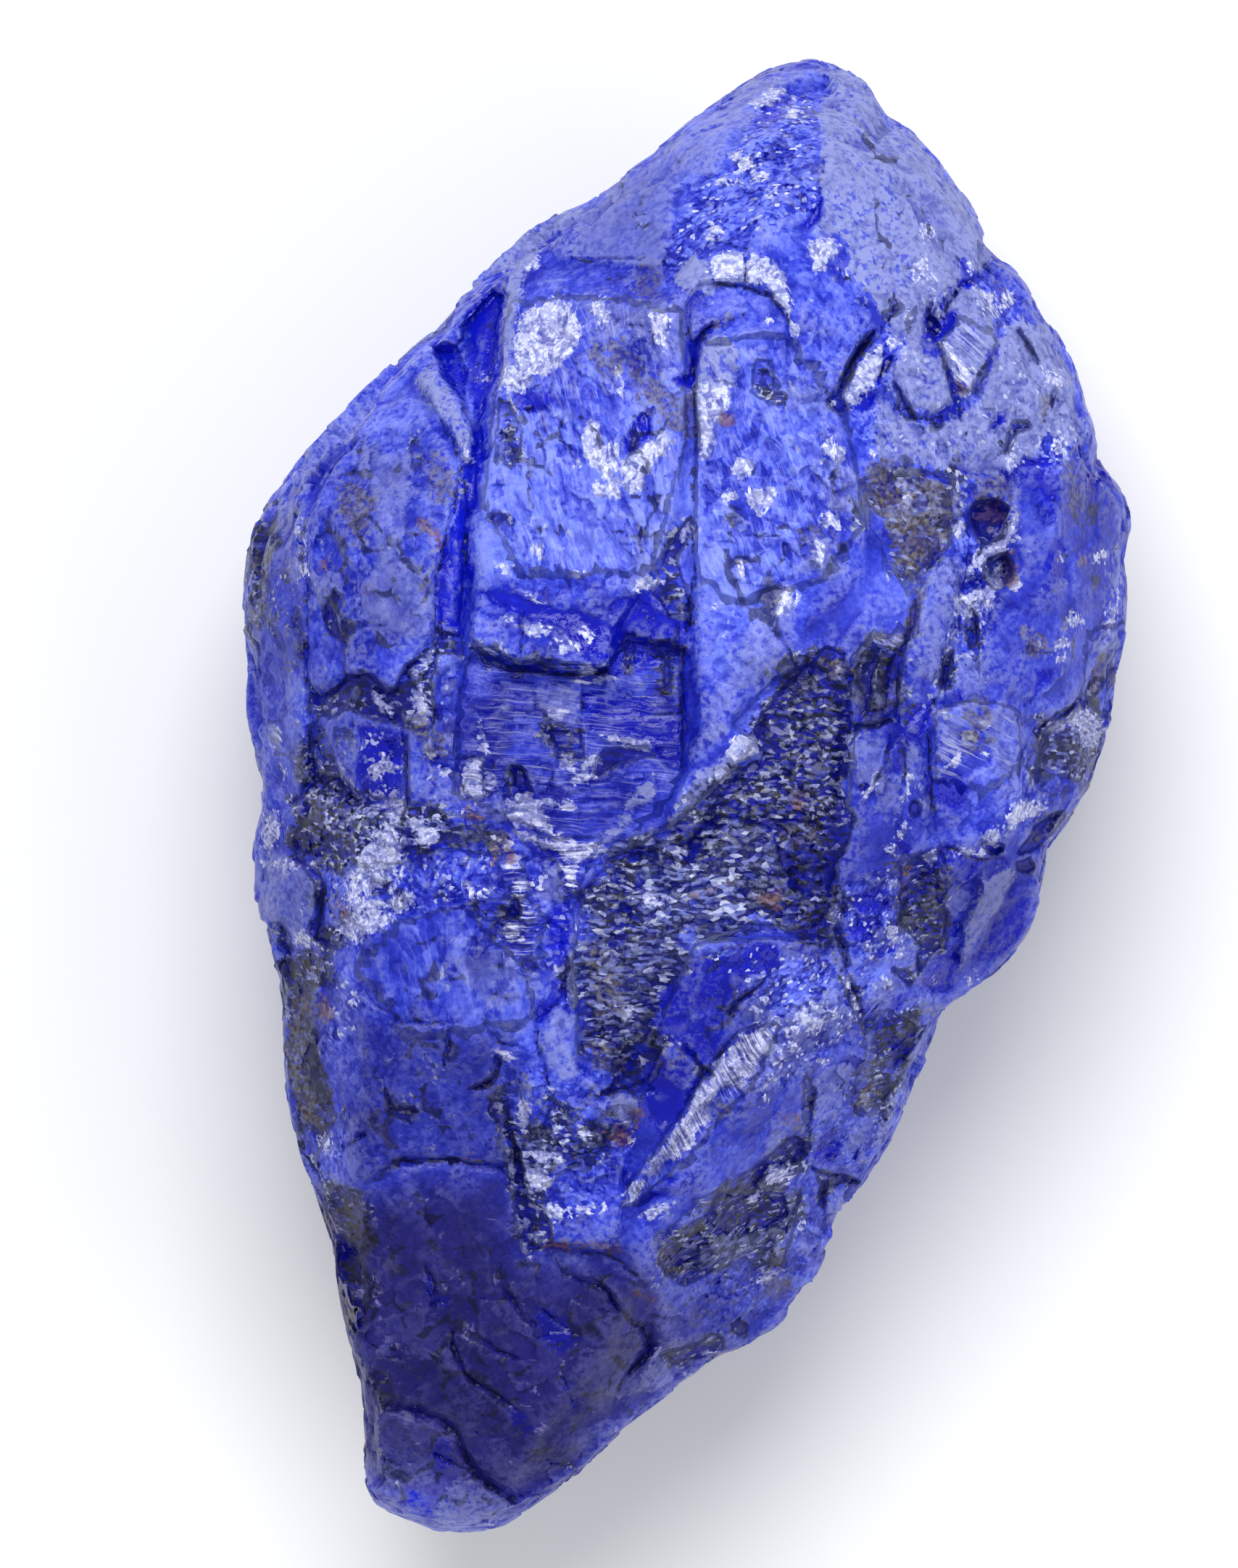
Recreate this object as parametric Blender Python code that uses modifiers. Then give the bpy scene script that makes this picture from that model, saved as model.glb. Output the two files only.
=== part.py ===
"""Rough sapphire crystal, about 90 mm long, lying on its back."""
import math

import bmesh
import bpy
import numpy as np
from mathutils import Vector

# The stone lies on its back with its photographed face up. Places on that face
# are given in photo pixels (u to the right, v downward), heights in millimetres.
PX_PER_MM = 22.5
CENTRE_U = 951.7
CENTRE_V = 1098.1
MM = 0.001
# Meshing rounds the outline off a little, so it is drawn this much larger.
OUTLINE_GROW = 0.15

# Heights of the body before its faces are cut, above the resting plane. Its widest
# line, the girdle, sways up and down on its way round the stone.
GIRDLE_HEIGHT = 17.0
GIRDLE_SWAY = 4.5
CROWN_RISE = 24.0
BACK_DROP = 20.5
# Powers that shape the side wall: small ones give a steep wall.
WALL_POWER_FRONT = 0.30
WALL_POWER_BACK = 0.60
RISE_POWER = 0.85
# How much of the outline's small notches is kept far above and below the girdle, and
# over how many degrees they are evened out there.
NOTCH_KEEP = 0.25
NOTCH_SPREAD = 14.0

# The outline of the stone as seen from above, clockwise from the upper tip.
OUTLINE = [
    (1112, 84), (1156, 91), (1183, 106), (1198, 122), (1221, 177), (1235, 179),
    (1243, 176), (1252, 181), (1272, 208), (1292, 227), (1300, 247), (1333, 284),
    (1363, 344), (1366, 356), (1374, 355), (1391, 365), (1418, 399), (1434, 439),
    (1447, 453), (1481, 520), (1489, 560), (1506, 600), (1512, 634), (1520, 648),
    (1532, 656), (1545, 675), (1554, 691), (1558, 729), (1554, 751), (1546, 770),
    (1551, 811), (1542, 890), (1532, 928), (1531, 955), (1520, 1020), (1502, 1077),
    (1440, 1169), (1414, 1279), (1384, 1324), (1364, 1343), (1315, 1377),
    (1295, 1399), (1248, 1505), (1234, 1548), (1177, 1640), (1160, 1692),
    (1136, 1728), (1122, 1761), (1091, 1798), (1079, 1821), (1017, 1855),
    (1000, 1858), (979, 1868), (921, 1916), (862, 1959), (792, 2032), (765, 2048),
    (751, 2062), (718, 2084), (707, 2097), (695, 2104), (654, 2109), (598, 2109),
    (576, 2095), (527, 2079), (509, 2057), (503, 2021), (506, 1969), (500, 1901),
    (477, 1820), (461, 1711), (438, 1635), (403, 1516), (394, 1370), (373, 1303),
    (358, 1238), (356, 1185), (358, 1162), (367, 1130), (368, 1097), (346, 912),
    (346, 765), (349, 736), (383, 683), (487, 563), (583, 468), (601, 460),
    (639, 416), (736, 322), (779, 289), (801, 289), (906, 215), (971, 161),
    (1049, 105), (1080, 91),
]

# Large flat faces of the front: a place on the face (u, v), its height there and
# how steeply the height rises to the right and toward the upper tip.
FRONT_FACES = [
    (880, 760, 37.2, 0.02, 0.02),
    (900, 330, 35.4, 0.30, -0.42),
    (620, 560, 34.6, 0.36, -0.24),
    (1150, 260, 35.2, -0.46, -0.14),
    (1330, 520, 33.6, -0.58, -0.22),
    (1300, 880, 34.6, -0.40, 0.02),
    (1480, 960, 29.0, -0.95, 0.22),
    (1230, 1230, 33.4, -0.44, 0.26),
    (1060, 1560, 31.8, -0.32, 0.34),
    (950, 1860, 25.6, -0.70, 0.95),
    (720, 1640, 32.2, 0.03, 0.30),
    (620, 1940, 27.6, 0.10, 0.55),
    (520, 1480, 33.4, 0.46, 0.10),
    (470, 1150, 34.2, 0.42, 0.02),
    (470, 760, 34.0, 0.40, -0.04),
    (380, 1000, 29.6, 1.00, 0.0),
    (1530, 740, 26.0, -1.70, 0.10),
    (1430, 440, 27.5, -1.20, -0.75),
    (1130, 110, 28.5, 0.05, -1.10),
    (690, 400, 29.0, 0.75, -0.85),
    (410, 1440, 26.5, 1.60, 0.15),
    (1380, 1290, 25.0, -1.10, 0.90),
]
# Large faces of the back, in the same manner: here the height is of the underside.
BACK_FACES = [
    (960, 960, 0.0, 0.0, 0.0),
    (1180, 640, 3.2, 0.34, 0.10),
    (1330, 1000, 4.2, 0.44, -0.05),
    (1120, 1420, 3.6, 0.30, -0.28),
    (760, 1560, 3.4, -0.12, -0.34),
    (640, 1860, 8.6, -0.20, -0.40),
    (620, 1180, 3.0, -0.38, -0.06),
    (560, 780, 4.6, -0.42, 0.12),
    (820, 480, 3.8, -0.10, 0.34),
    (1120, 260, 8.2, 0.18, 0.46),
    (1480, 800, 12.0, 1.15, 0.15),
    (1350, 1240, 11.0, 0.95, -0.50),
    (1090, 1640, 11.5, 0.75, -0.75),
    (690, 2000, 14.0, 0.15, -0.80),
    (480, 1600, 12.0, -1.20, -0.20),
    (420, 1080, 12.0, -1.10, 0.05),
    (450, 720, 12.0, -0.90, 0.50),
    (780, 400, 12.0, -0.55, 0.75),
    (1090, 190, 14.0, 0.10, 1.00),
    (1310, 400, 12.0, 0.85, 0.60),
]

# Fineness of the ball the body is drawn from, of the even skin (millimetres),
# and how many triangles are left at the end.
BALL_STEPS = 6
VOXEL = 0.6
TRIANGLES_WANTED = 9400
# The resting spot is cut this far above the lowest face, in millimetres.
REST_CUT = 0.12

# How far, in pixels, the borders of the forms waver, and over what width in
# millimetres.
EDGE_WAVER = 7.0
WAVER_WIDTH = 2.6
WAVER_SEEDS = (11, 12)
# Upward slopes between these belong more and more to the front and its forms.
FRONT_SLOPE = (0.10, 0.55)
# Half a step's width as a share of its border, the shares of a ledge's and of a
# crack's length over which their ends die out, and how fast a ledge climbs back.
STEP_SHARE = 0.5
LEDGE_ENDS = 0.12
CRACK_ENDS = 0.08
LEDGE_FALL = 1.5
# Broken faces over the sides and back: width, step and slope, in millimetres.
BROAD_CHIP = 11.0
BROAD_LIFT = 1.8
BROAD_TILT = 0.24
BROAD_SEED = 31
FINE_CHIP = 3.8
FINE_LIFT = 0.50
FINE_TILT = 0.16
FINE_SEED = 47
# How much of the broad and fine faces is left out on the front.
BROAD_CALM = 0.9
FINE_CALM = 0.55
# Faces are chipped inward: outward they stand out no further than this.
CHIP_OUT = 0.20
# Within this band of the girdle they fade to a small share, which keeps the outline.
GIRDLE_BAND = 6.0
GIRDLE_SHARE = 0.1
# They also fade out toward the resting spot, between these heights.
REST_BAND = (0.2, 2.5)

STONE_COLOUR = (0.035, 0.045, 0.50)
STONE_ROUGHNESS = 0.42

# Flat faces raised above (or sunk below) the ones round them:
# (lift, rise to the right, rise downward, width of the border in pixels, corners).
PLATES = [
    # the tall block left of the middle, its lower end overhanging
    (0.60, -0.01, 0.035, 13, [
        (702, 402), (760, 380), (870, 430), (925, 400), (948, 470), (944, 620),
        (938, 705), (905, 790), (872, 832), (846, 868), (838, 925), (760, 918),
        (712, 915), (690, 905), (655, 888), (650, 780), (664, 640), (676, 560),
        (690, 480)]),
    # the smooth face by the upper left edge
    (0.55, 0.0, 0.0, 12, [
        (762, 342), (800, 292), (900, 222), (1000, 146), (1045, 112), (1075, 130),
        (1010, 190), (985, 240), (925, 270), (930, 330), (905, 375), (780, 362)]),
    # the frosted face at the upper right and the narrower one below it
    (0.50, 0.02, 0.0, 15, [
        (1130, 80), (1165, 80), (1210, 116), (1222, 150), (1232, 172), (1262, 186),
        (1312, 240), (1352, 296), (1374, 345), (1352, 372), (1325, 398), (1290, 420),
        (1272, 440), (1262, 470), (1240, 470), (1215, 440), (1180, 400), (1150, 340),
        (1122, 318), (1128, 270), (1133, 225), (1126, 190), (1130, 150)]),
    (0.40, 0.0, 0.0, 14, [
        (1366, 350), (1405, 370), (1434, 410), (1470, 475), (1500, 552), (1450, 552),
        (1415, 480), (1390, 440), (1345, 395)]),
    (0.60, 0.04, 0.05, 12, [
        (1296, 430), (1322, 396), (1350, 402), (1375, 440), (1368, 480), (1345, 520),
        (1335, 555), (1310, 530), (1288, 474)]),
    (0.45, 0.0, 0.0, 12, [
        (1214, 520), (1240, 480), (1290, 472), (1304, 520), (1312, 560), (1284, 590),
        (1240, 575)]),
    (0.35, 0.0, 0.04, 12, [
        (1100, 430), (1150, 380), (1170, 370), (1185, 420), (1200, 440), (1180, 480),
        (1150, 540), (1100, 560), (1085, 500)]),
    # the column right of the long upright crack
    (0.30, 0.0, 0.0, 30, [
        (966, 470), (1080, 455), (1100, 560), (1150, 585), (1200, 700), (1180, 800),
        (1090, 905), (1050, 930), (1000, 1012), (960, 1060), (956, 900), (958, 700)]),
    # the left face and the narrow strip beside the left edge
    (0.70, -0.05, 0.0, 12, [
        (424, 680), (440, 640), (500, 570), (560, 545), (585, 560), (620, 620),
        (636, 660), (640, 700), (622, 740), (606, 800), (600, 868), (560, 925),
        (548, 958), (520, 935), (482, 925), (478, 880), (466, 850), (424, 800),
        (424, 740)]),
    (0.45, 0.0, 0.0, 10, [
        (346, 722), (392, 664), (420, 690), (422, 800), (420, 920), (424, 1010),
        (430, 1075), (398, 1112), (358, 1110), (340, 960), (336, 800)]),
    # the deep glassy recess with the pale blade standing in it
    (-1.80, 0.0, 0.0, 14, [
        (700, 412), (672, 402), (640, 425), (604, 462), (596, 492), (640, 560),
        (655, 610), (672, 560), (688, 480)]),
    (0.90, 0.0, 0.0, 8, [
        (572, 522), (604, 517), (640, 560), (658, 600), (655, 640), (640, 632),
        (612, 580)]),
    # the dark block under the left face
    (-0.60, 0.0, 0.0, 12, [
        (430, 960), (480, 925), (520, 935), (560, 960), (566, 1100), (560, 1125),
        (500, 1110), (430, 1075)]),
    # the dark mineral band running down to the left
    (-0.75, 0.0, 0.0, 34, [
        (1068, 940), (1110, 915), (1170, 960), (1178, 1060), (1150, 1180),
        (1140, 1290), (1060, 1290), (960, 1300), (890, 1440), (850, 1500),
        (800, 1470), (790, 1250), (850, 1180), (960, 1110), (1045, 1025),
        (1010, 1000)]),
    # the ribbed ground below the overhang
    (-0.75, 0.0, 0.02, 14, [
        (600, 930), (655, 900), (712, 925), (838, 930), (860, 870), (950, 900),
        (952, 1060), (900, 1180), (800, 1200), (740, 1180), (700, 1140),
        (690, 1080), (600, 1050)]),
    # leaning blades right of the band
    (0.75, 0.10, 0.0, 10, [
        (1268, 800), (1300, 770), (1325, 790), (1318, 850), (1300, 900), (1296, 950),
        (1285, 1000), (1262, 1022), (1240, 1010), (1238, 960), (1246, 900),
        (1258, 850)]),
    (0.55, 0.0, 0.0, 10, [
        (1285, 985), (1350, 965), (1400, 985), (1418, 1030), (1400, 1120),
        (1385, 1180), (1330, 1215), (1285, 1170), (1282, 1080)]),
    (0.50, 0.06, 0.0, 10, [
        (1180, 1110), (1235, 1020), (1262, 1030), (1280, 1100), (1275, 1170),
        (1235, 1200), (1170, 1235), (1152, 1220)]),
    # the broad face by the right edge and the chipped rim below it
    (0.55, 0.0, 0.0, 12, [
        (1400, 650), (1440, 640), (1520, 640), (1570, 700), (1560, 770), (1556, 860),
        (1500, 930), (1440, 1000), (1410, 995), (1350, 955), (1345, 900), (1365, 830),
        (1410, 780), (1385, 730)]),
    (-0.55, 0.0, 0.0, 12, [
        (1440, 1005), (1500, 935), (1560, 880), (1550, 950), (1538, 1030),
        (1500, 1108), (1450, 1178), (1385, 1175), (1410, 1110), (1425, 1060)]),
    (0.85, 0.0, 0.0, 8, [
        (1352, 1200), (1392, 1195), (1395, 1222), (1345, 1310), (1325, 1332),
        (1322, 1290), (1345, 1240)]),
    # smooth blue faces left of the lower middle
    (0.20, 0.0, 0.0, 24, [
        (470, 1290), (560, 1262), (660, 1240), (720, 1320), (740, 1400), (700, 1440),
        (640, 1490), (560, 1440), (520, 1400), (470, 1390)]),
    (0.15, 0.0, 0.0, 20, [
        (520, 1410), (640, 1405), (690, 1440), (690, 1500), (655, 1545), (548, 1545),
        (540, 1480)]),
    # the lower, darker end and the tip below its crack
    (-0.50, 0.0, 0.0, 18, [
        (430, 1640), (500, 1635), (560, 1600), (700, 1604), (716, 1660), (730, 1722),
        (860, 1722), (900, 1780), (905, 1860), (860, 1940), (800, 2030), (742, 2080),
        (690, 2050), (620, 1960), (490, 1930), (460, 1760)]),
    (-0.60, 0.0, 0.0, 12, [
        (490, 1932), (575, 1948), (620, 1962), (655, 2020), (690, 2052), (750, 2076),
        (710, 2125), (600, 2130), (490, 2070)]),
    # the ridge above the lower end, and the long bright spike
    (0.50, 0.05, 0.0, 14, [
        (720, 1480), (760, 1400), (830, 1500), (862, 1600), (850, 1720), (735, 1715),
        (722, 1640)]),
    (0.35, 0.28, 0.36, 8, [
        (858, 1664), (900, 1590), (960, 1500), (1020, 1430), (1062, 1398),
        (1060, 1445), (985, 1512), (930, 1572), (882, 1640)]),
    (0.45, 0.0, 0.0, 14, [
        (1010, 1500), (1100, 1470), (1200, 1420), (1260, 1400), (1272, 1470),
        (1210, 1600), (1130, 1620), (1110, 1560), (1060, 1590), (1000, 1640),
        (940, 1640), (900, 1640)]),
]

# Steps whose lower side lies right of the line as it runs on the photo:
# (drop, reach of the slope back up, width of the step, line).
LEDGES = [
    (1.00, 130, 12, [(646, 890), (690, 908), (712, 918), (760, 918), (800, 922),
                     (850, 930)]),
    (0.65, 80, 10, [(940, 450), (960, 402), (1000, 395), (1060, 410), (1082, 450),
                    (1086, 510)]),
    (0.60, 90, 12, [(735, 1740), (720, 1680), (713, 1600), (700, 1520), (690, 1450)]),
    (0.70, 70, 12, [(1200, 470), (1160, 540), (1110, 600)]),
    (0.60, 60, 10, [(1230, 860), (1200, 960), (1170, 1050), (1165, 1120)]),
    (0.55, 60, 10, [(560, 1130), (480, 1100), (420, 1090), (390, 1130)]),
]

# Open cracks with sloping sides: (depth, half width, line).
CRACKS = [
    (0.45, 12, [(946, 420), (950, 560), (944, 700), (948, 860), (954, 960),
                (956, 1075)]),
    (0.90, 18, [(694, 440), (676, 540), (662, 640), (650, 760), (642, 880),
                (640, 960)]),
    (0.60, 18, [(1330, 392), (1300, 430), (1284, 470)]),
    (0.60, 18, [(1338, 560), (1270, 590), (1230, 560), (1195, 545)]),
    (0.50, 14, [(505, 1925), (575, 1945), (625, 1965), (660, 2030), (690, 2052),
                (735, 2072)]),
    (0.45, 14, [(720, 1722), (800, 1724), (860, 1770), (890, 1820), (898, 1860),
                (845, 1925)]),
    (0.25, 12, [(490, 1636), (560, 1600), (640, 1600), (710, 1606)]),
    (0.60, 18, [(1335, 700), (1330, 800), (1305, 900), (1300, 960)]),
]

# Rounded dips, or lumps where the depth is negative:
# (u, v, half width, half height, turn in degrees, depth, edge power).
HOLLOWS = [
    (1358, 722, 30, 30, 0, 1.5, 0.5),
    (1372, 788, 22, 28, 20, 1.3, 0.5),
    (1262, 1235, 34, 70, 12, 0.7, 0.6),
    (402, 1238, 42, 62, 0, -0.9, 0.5),
    (480, 1220, 60, 90, 10, 0.5, 0.7),
    (1040, 1675, 60, 36, -25, 0.8, 0.6),
    (950, 1735, 40, 36, -20, 0.8, 0.6),
    (875, 1475, 44, 36, 0, 0.8, 0.6),
    (1094, 1585, 34, 24, 0, 0.6, 0.6),
    (490, 1760, 30, 90, -8, 0.6, 0.6),
    (1050, 240, 60, 110, 25, 0.5, 0.7),
    (860, 505, 44, 44, 0, 0.4, 0.7),
]


def hash01(ix, iy, iz, salt):
    """Repeatable number from 0 to 1 for each whole-number cell."""
    h = ix.astype(np.uint32) * np.uint32(374761393)
    h = h ^ (iy.astype(np.uint32) * np.uint32(668265263))
    h = h ^ (iz.astype(np.uint32) * np.uint32(2246822519))
    h = h ^ np.uint32(salt * 40503 + 977)
    h = (h ^ (h >> np.uint32(15))) * np.uint32(2654435761)
    h = (h ^ (h >> np.uint32(13))) * np.uint32(3266489917)
    h = h ^ (h >> np.uint32(16))
    return (h >> np.uint32(8)).astype(np.float64) / 16777216.0


def soft_noise(points, size, salt):
    """Smooth lumps from -1 to 1; size is the width of a lump in millimetres."""
    q = points / size
    cell = np.floor(q).astype(np.int64)
    part = q - cell
    part = part * part * (3.0 - 2.0 * part)
    total = np.zeros(len(points))
    for dx in (0, 1):
        wx = part[:, 0] if dx else 1.0 - part[:, 0]
        for dy in (0, 1):
            wy = part[:, 1] if dy else 1.0 - part[:, 1]
            for dz in (0, 1):
                wz = part[:, 2] if dz else 1.0 - part[:, 2]
                corner = hash01(cell[:, 0] + dx, cell[:, 1] + dy, cell[:, 2] + dz, salt)
                total += wx * wy * wz * corner
    return total * 2.0 - 1.0


def chips(points, size, salt, lift, tilt):
    """Broken flat faces: each point takes the tilted plane of its nearest seed.

    size is the width of a face, lift the difference between neighbours and
    tilt the slope of a face.
    """
    q = points / size
    cell = np.floor(q).astype(np.int64)
    first = np.full(len(points), 1e9)
    value = np.zeros(len(points))
    for dx in (-1, 0, 1):
        for dy in (-1, 0, 1):
            for dz in (-1, 0, 1):
                cx = cell[:, 0] + dx
                cy = cell[:, 1] + dy
                cz = cell[:, 2] + dz
                ox = q[:, 0] - cx - hash01(cx, cy, cz, salt)
                oy = q[:, 1] - cy - hash01(cx, cy, cz, salt + 1)
                oz = q[:, 2] - cz - hash01(cx, cy, cz, salt + 2)
                gap = ox * ox + oy * oy + oz * oz
                nearer = gap < first
                first = np.where(nearer, gap, first)
                tx = hash01(cx, cy, cz, salt + 3) - 0.5
                ty = hash01(cx, cy, cz, salt + 4) - 0.5
                tz = hash01(cx, cy, cz, salt + 5) - 0.5
                face = lift * (hash01(cx, cy, cz, salt + 6) - 0.5)
                face = face + 2.0 * tilt * size * (tx * ox + ty * oy + tz * oz)
                value = np.where(nearer, face, value)
    return value


def smooth_step(low, high, x):
    t = np.clip((x - low) / (high - low), 0.0, 1.0)
    return t * t * (3.0 - 2.0 * t)


def window(u, v, points, pad):
    """Which places lie within pad pixels of the box around a list of points."""
    us = [p[0] for p in points]
    vs = [p[1] for p in points]
    wide = (u > min(us) - pad) & (u < max(us) + pad)
    return wide & (v > min(vs) - pad) & (v < max(vs) + pad)


def depth_inside(u, v, polygon):
    """Pixels from a place to the border of a polygon, positive on its inside."""
    nearest = np.full(u.shape, 1e9)
    inside = np.zeros(u.shape, bool)
    for k in range(len(polygon)):
        ax, ay = polygon[k]
        bx, by = polygon[(k + 1) % len(polygon)]
        ex, ey = bx - ax, by - ay
        t = np.clip(((u - ax) * ex + (v - ay) * ey) / (ex * ex + ey * ey), 0.0, 1.0)
        nearest = np.minimum(nearest, np.hypot(u - ax - t * ex, v - ay - t * ey))
        if ay != by:
            crossing = ((ay > v) != (by > v)) & (u < ex * (v - ay) / ey + ax)
            inside = inside ^ crossing
    return np.where(inside, nearest, -nearest)


def along_line(u, v, line):
    """Distance to a bent line, the side of it (positive on its right as it runs
    on the photo) and how far along it the nearest place lies, from 0 to 1."""
    nearest = np.full(u.shape, 1e9)
    side = np.zeros(u.shape)
    place = np.zeros(u.shape)
    lengths = [math.dist(line[k], line[k + 1]) for k in range(len(line) - 1)]
    done = 0.0
    for k, length in enumerate(lengths):
        ax, ay = line[k]
        bx, by = line[k + 1]
        ex, ey = (bx - ax) / length, (by - ay) / length
        t = np.clip((u - ax) * ex + (v - ay) * ey, 0.0, length)
        gap = np.hypot(u - ax - t * ex, v - ay - t * ey)
        nearer = gap < nearest
        nearest = np.where(nearer, gap, nearest)
        side = np.where(nearer, ex * (v - ay) - ey * (u - ax), side)
        place = np.where(nearer, (done + t) / sum(lengths), place)
        done += length
    return nearest, np.sign(side), place


def add_plates(height, u, v, plates):
    """Raise or sink flat faces: (lift, rise to the right, rise downward, soft, corners)."""
    for lift, rise_u, rise_v, soft, corners in plates:
        near = window(u, v, corners, soft)
        pu, pv = u[near], v[near]
        edge = STEP_SHARE * soft
        cover = smooth_step(-edge, edge, depth_inside(pu, pv, corners))
        mid_u = sum(p[0] for p in corners) / len(corners)
        mid_v = sum(p[1] for p in corners) / len(corners)
        slope = rise_u * (pu - mid_u) + rise_v * (pv - mid_v)
        height[near] += cover * (lift + slope / PX_PER_MM)


def add_ledges(height, u, v, ledges):
    """Steps: the ground right of the line drops and climbs back over its reach."""
    for drop, reach, soft, line in ledges:
        near = window(u, v, line, reach)
        gap, side, place = along_line(u[near], v[near], line)
        ends = smooth_step(0.0, LEDGE_ENDS, place) * smooth_step(0.0, LEDGE_ENDS, 1.0 - place)
        fade = np.clip(1.0 - gap / reach, 0.0, 1.0) ** LEDGE_FALL
        edge = STEP_SHARE * soft
        over = smooth_step(-edge, edge, gap * side)
        height[near] -= drop * ends * fade * over


def add_cracks(height, u, v, cracks):
    """Grooves with sloping sides: (depth, half width, line)."""
    for depth, width, line in cracks:
        near = window(u, v, line, width)
        gap, side, place = along_line(u[near], v[near], line)
        ends = smooth_step(0.0, CRACK_ENDS, place) * smooth_step(0.0, CRACK_ENDS, 1.0 - place)
        height[near] -= depth * ends * np.clip(1.0 - gap / width, 0.0, 1.0)


def add_hollows(height, u, v, hollows):
    """Rounded dips, or lumps where the depth is negative:
    (u, v, half width, half height, turn in degrees, depth, edge power)."""
    for mu, mv, ru, rv, turn, depth, power in hollows:
        c, s = math.cos(math.radians(turn)), math.sin(math.radians(turn))
        du = ((u - mu) * c + (v - mv) * s) / ru
        dv = ((v - mv) * c - (u - mu) * s) / rv
        height -= depth * np.clip(1.0 - (du * du + dv * dv), 0.0, 1.0) ** power


def outline_reach():
    """Angle and distance in millimetres from the centre to every outline point."""
    spots = [((u - CENTRE_U) / PX_PER_MM, (CENTRE_V - v) / PX_PER_MM) for u, v in OUTLINE]
    pairs = sorted((math.atan2(y, x), math.hypot(x, y) + OUTLINE_GROW) for x, y in spots)
    return np.array([p[0] for p in pairs]), np.array([p[1] for p in pairs])


def girdle_height(turn):
    """Height of the stone's widest line in the direction turn from its centre."""
    wave = 0.6 * np.sin(2.0 * turn + 0.5) + 0.4 * np.sin(3.0 * turn + 2.2)
    return GIRDLE_HEIGHT + GIRDLE_SWAY * wave


def cushion():
    """A ball drawn out to the outline, steep-walled, in millimetres."""
    ball = bmesh.new()
    bmesh.ops.create_icosphere(ball, subdivisions=BALL_STEPS, radius=1.0)
    unit = np.array([vert.co.normalized() for vert in ball.verts])
    angle, reach = outline_reach()
    turn = np.arctan2(unit[:, 1], unit[:, 0])
    level = np.arcsin(np.clip(unit[:, 2], -1.0, 1.0))
    edge = np.interp(turn, angle, reach, period=2.0 * math.pi)
    shifts = np.radians(np.linspace(-NOTCH_SPREAD, NOTCH_SPREAD, 13))
    broad = np.zeros(len(turn))
    for shift in shifts:
        broad += np.interp(turn + shift, angle, reach, period=2.0 * math.pi) / len(shifts)
    away = smooth_step(0.0, 0.5, np.abs(level)) * (1.0 - NOTCH_KEEP)
    edge = edge - (edge - np.minimum(edge, broad)) * away
    wall = np.where(level > 0.0, WALL_POWER_FRONT, WALL_POWER_BACK)
    out = edge * np.cos(level) ** wall
    rise = np.abs(np.sin(level)) ** RISE_POWER
    # The sway dies out toward the middle of the front and back.
    height = GIRDLE_HEIGHT + (girdle_height(turn) - GIRDLE_HEIGHT) * np.cos(level) ** 2
    height += np.where(level > 0.0, CROWN_RISE * rise, -BACK_DROP * rise)
    for vert, r, a, z in zip(ball.verts, out, turn, height):
        vert.co = (r * math.cos(a), r * math.sin(a), z)
    return ball


def cut_flat(solid, spot, normal):
    """Cut away what lies beyond a plane and close the cut with a flat face."""
    everything = solid.verts[:] + solid.edges[:] + solid.faces[:]
    bmesh.ops.bisect_plane(
        solid, geom=everything, dist=1e-5, plane_co=spot, plane_no=normal,
        clear_outer=True)
    rim = [edge for edge in solid.edges if edge.is_boundary]
    if rim:
        bmesh.ops.holes_fill(solid, edges=rim, sides=0)


def cut_faces(solid):
    """Give the cushion the large flat faces of its front and back."""
    for faces, way in ((FRONT_FACES, 1.0), (BACK_FACES, -1.0)):
        for u, v, z, rise_x, rise_y in faces:
            spot = Vector(((u - CENTRE_U) / PX_PER_MM, (CENTRE_V - v) / PX_PER_MM, z))
            cut_flat(solid, spot, Vector((-rise_x, -rise_y, 1.0)) * way)


def even_skin(mesh, voxel):
    """Give a closed body an evenly meshed skin."""
    body = bpy.data.objects.new("body", mesh)
    bpy.context.scene.collection.objects.link(body)
    remesh = body.modifiers.new("even skin", "REMESH")
    remesh.mode = "VOXEL"
    remesh.voxel_size = voxel
    skin = bpy.data.meshes.new_from_object(
        body.evaluated_get(bpy.context.evaluated_depsgraph_get()))
    bpy.data.objects.remove(body)
    return skin


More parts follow.
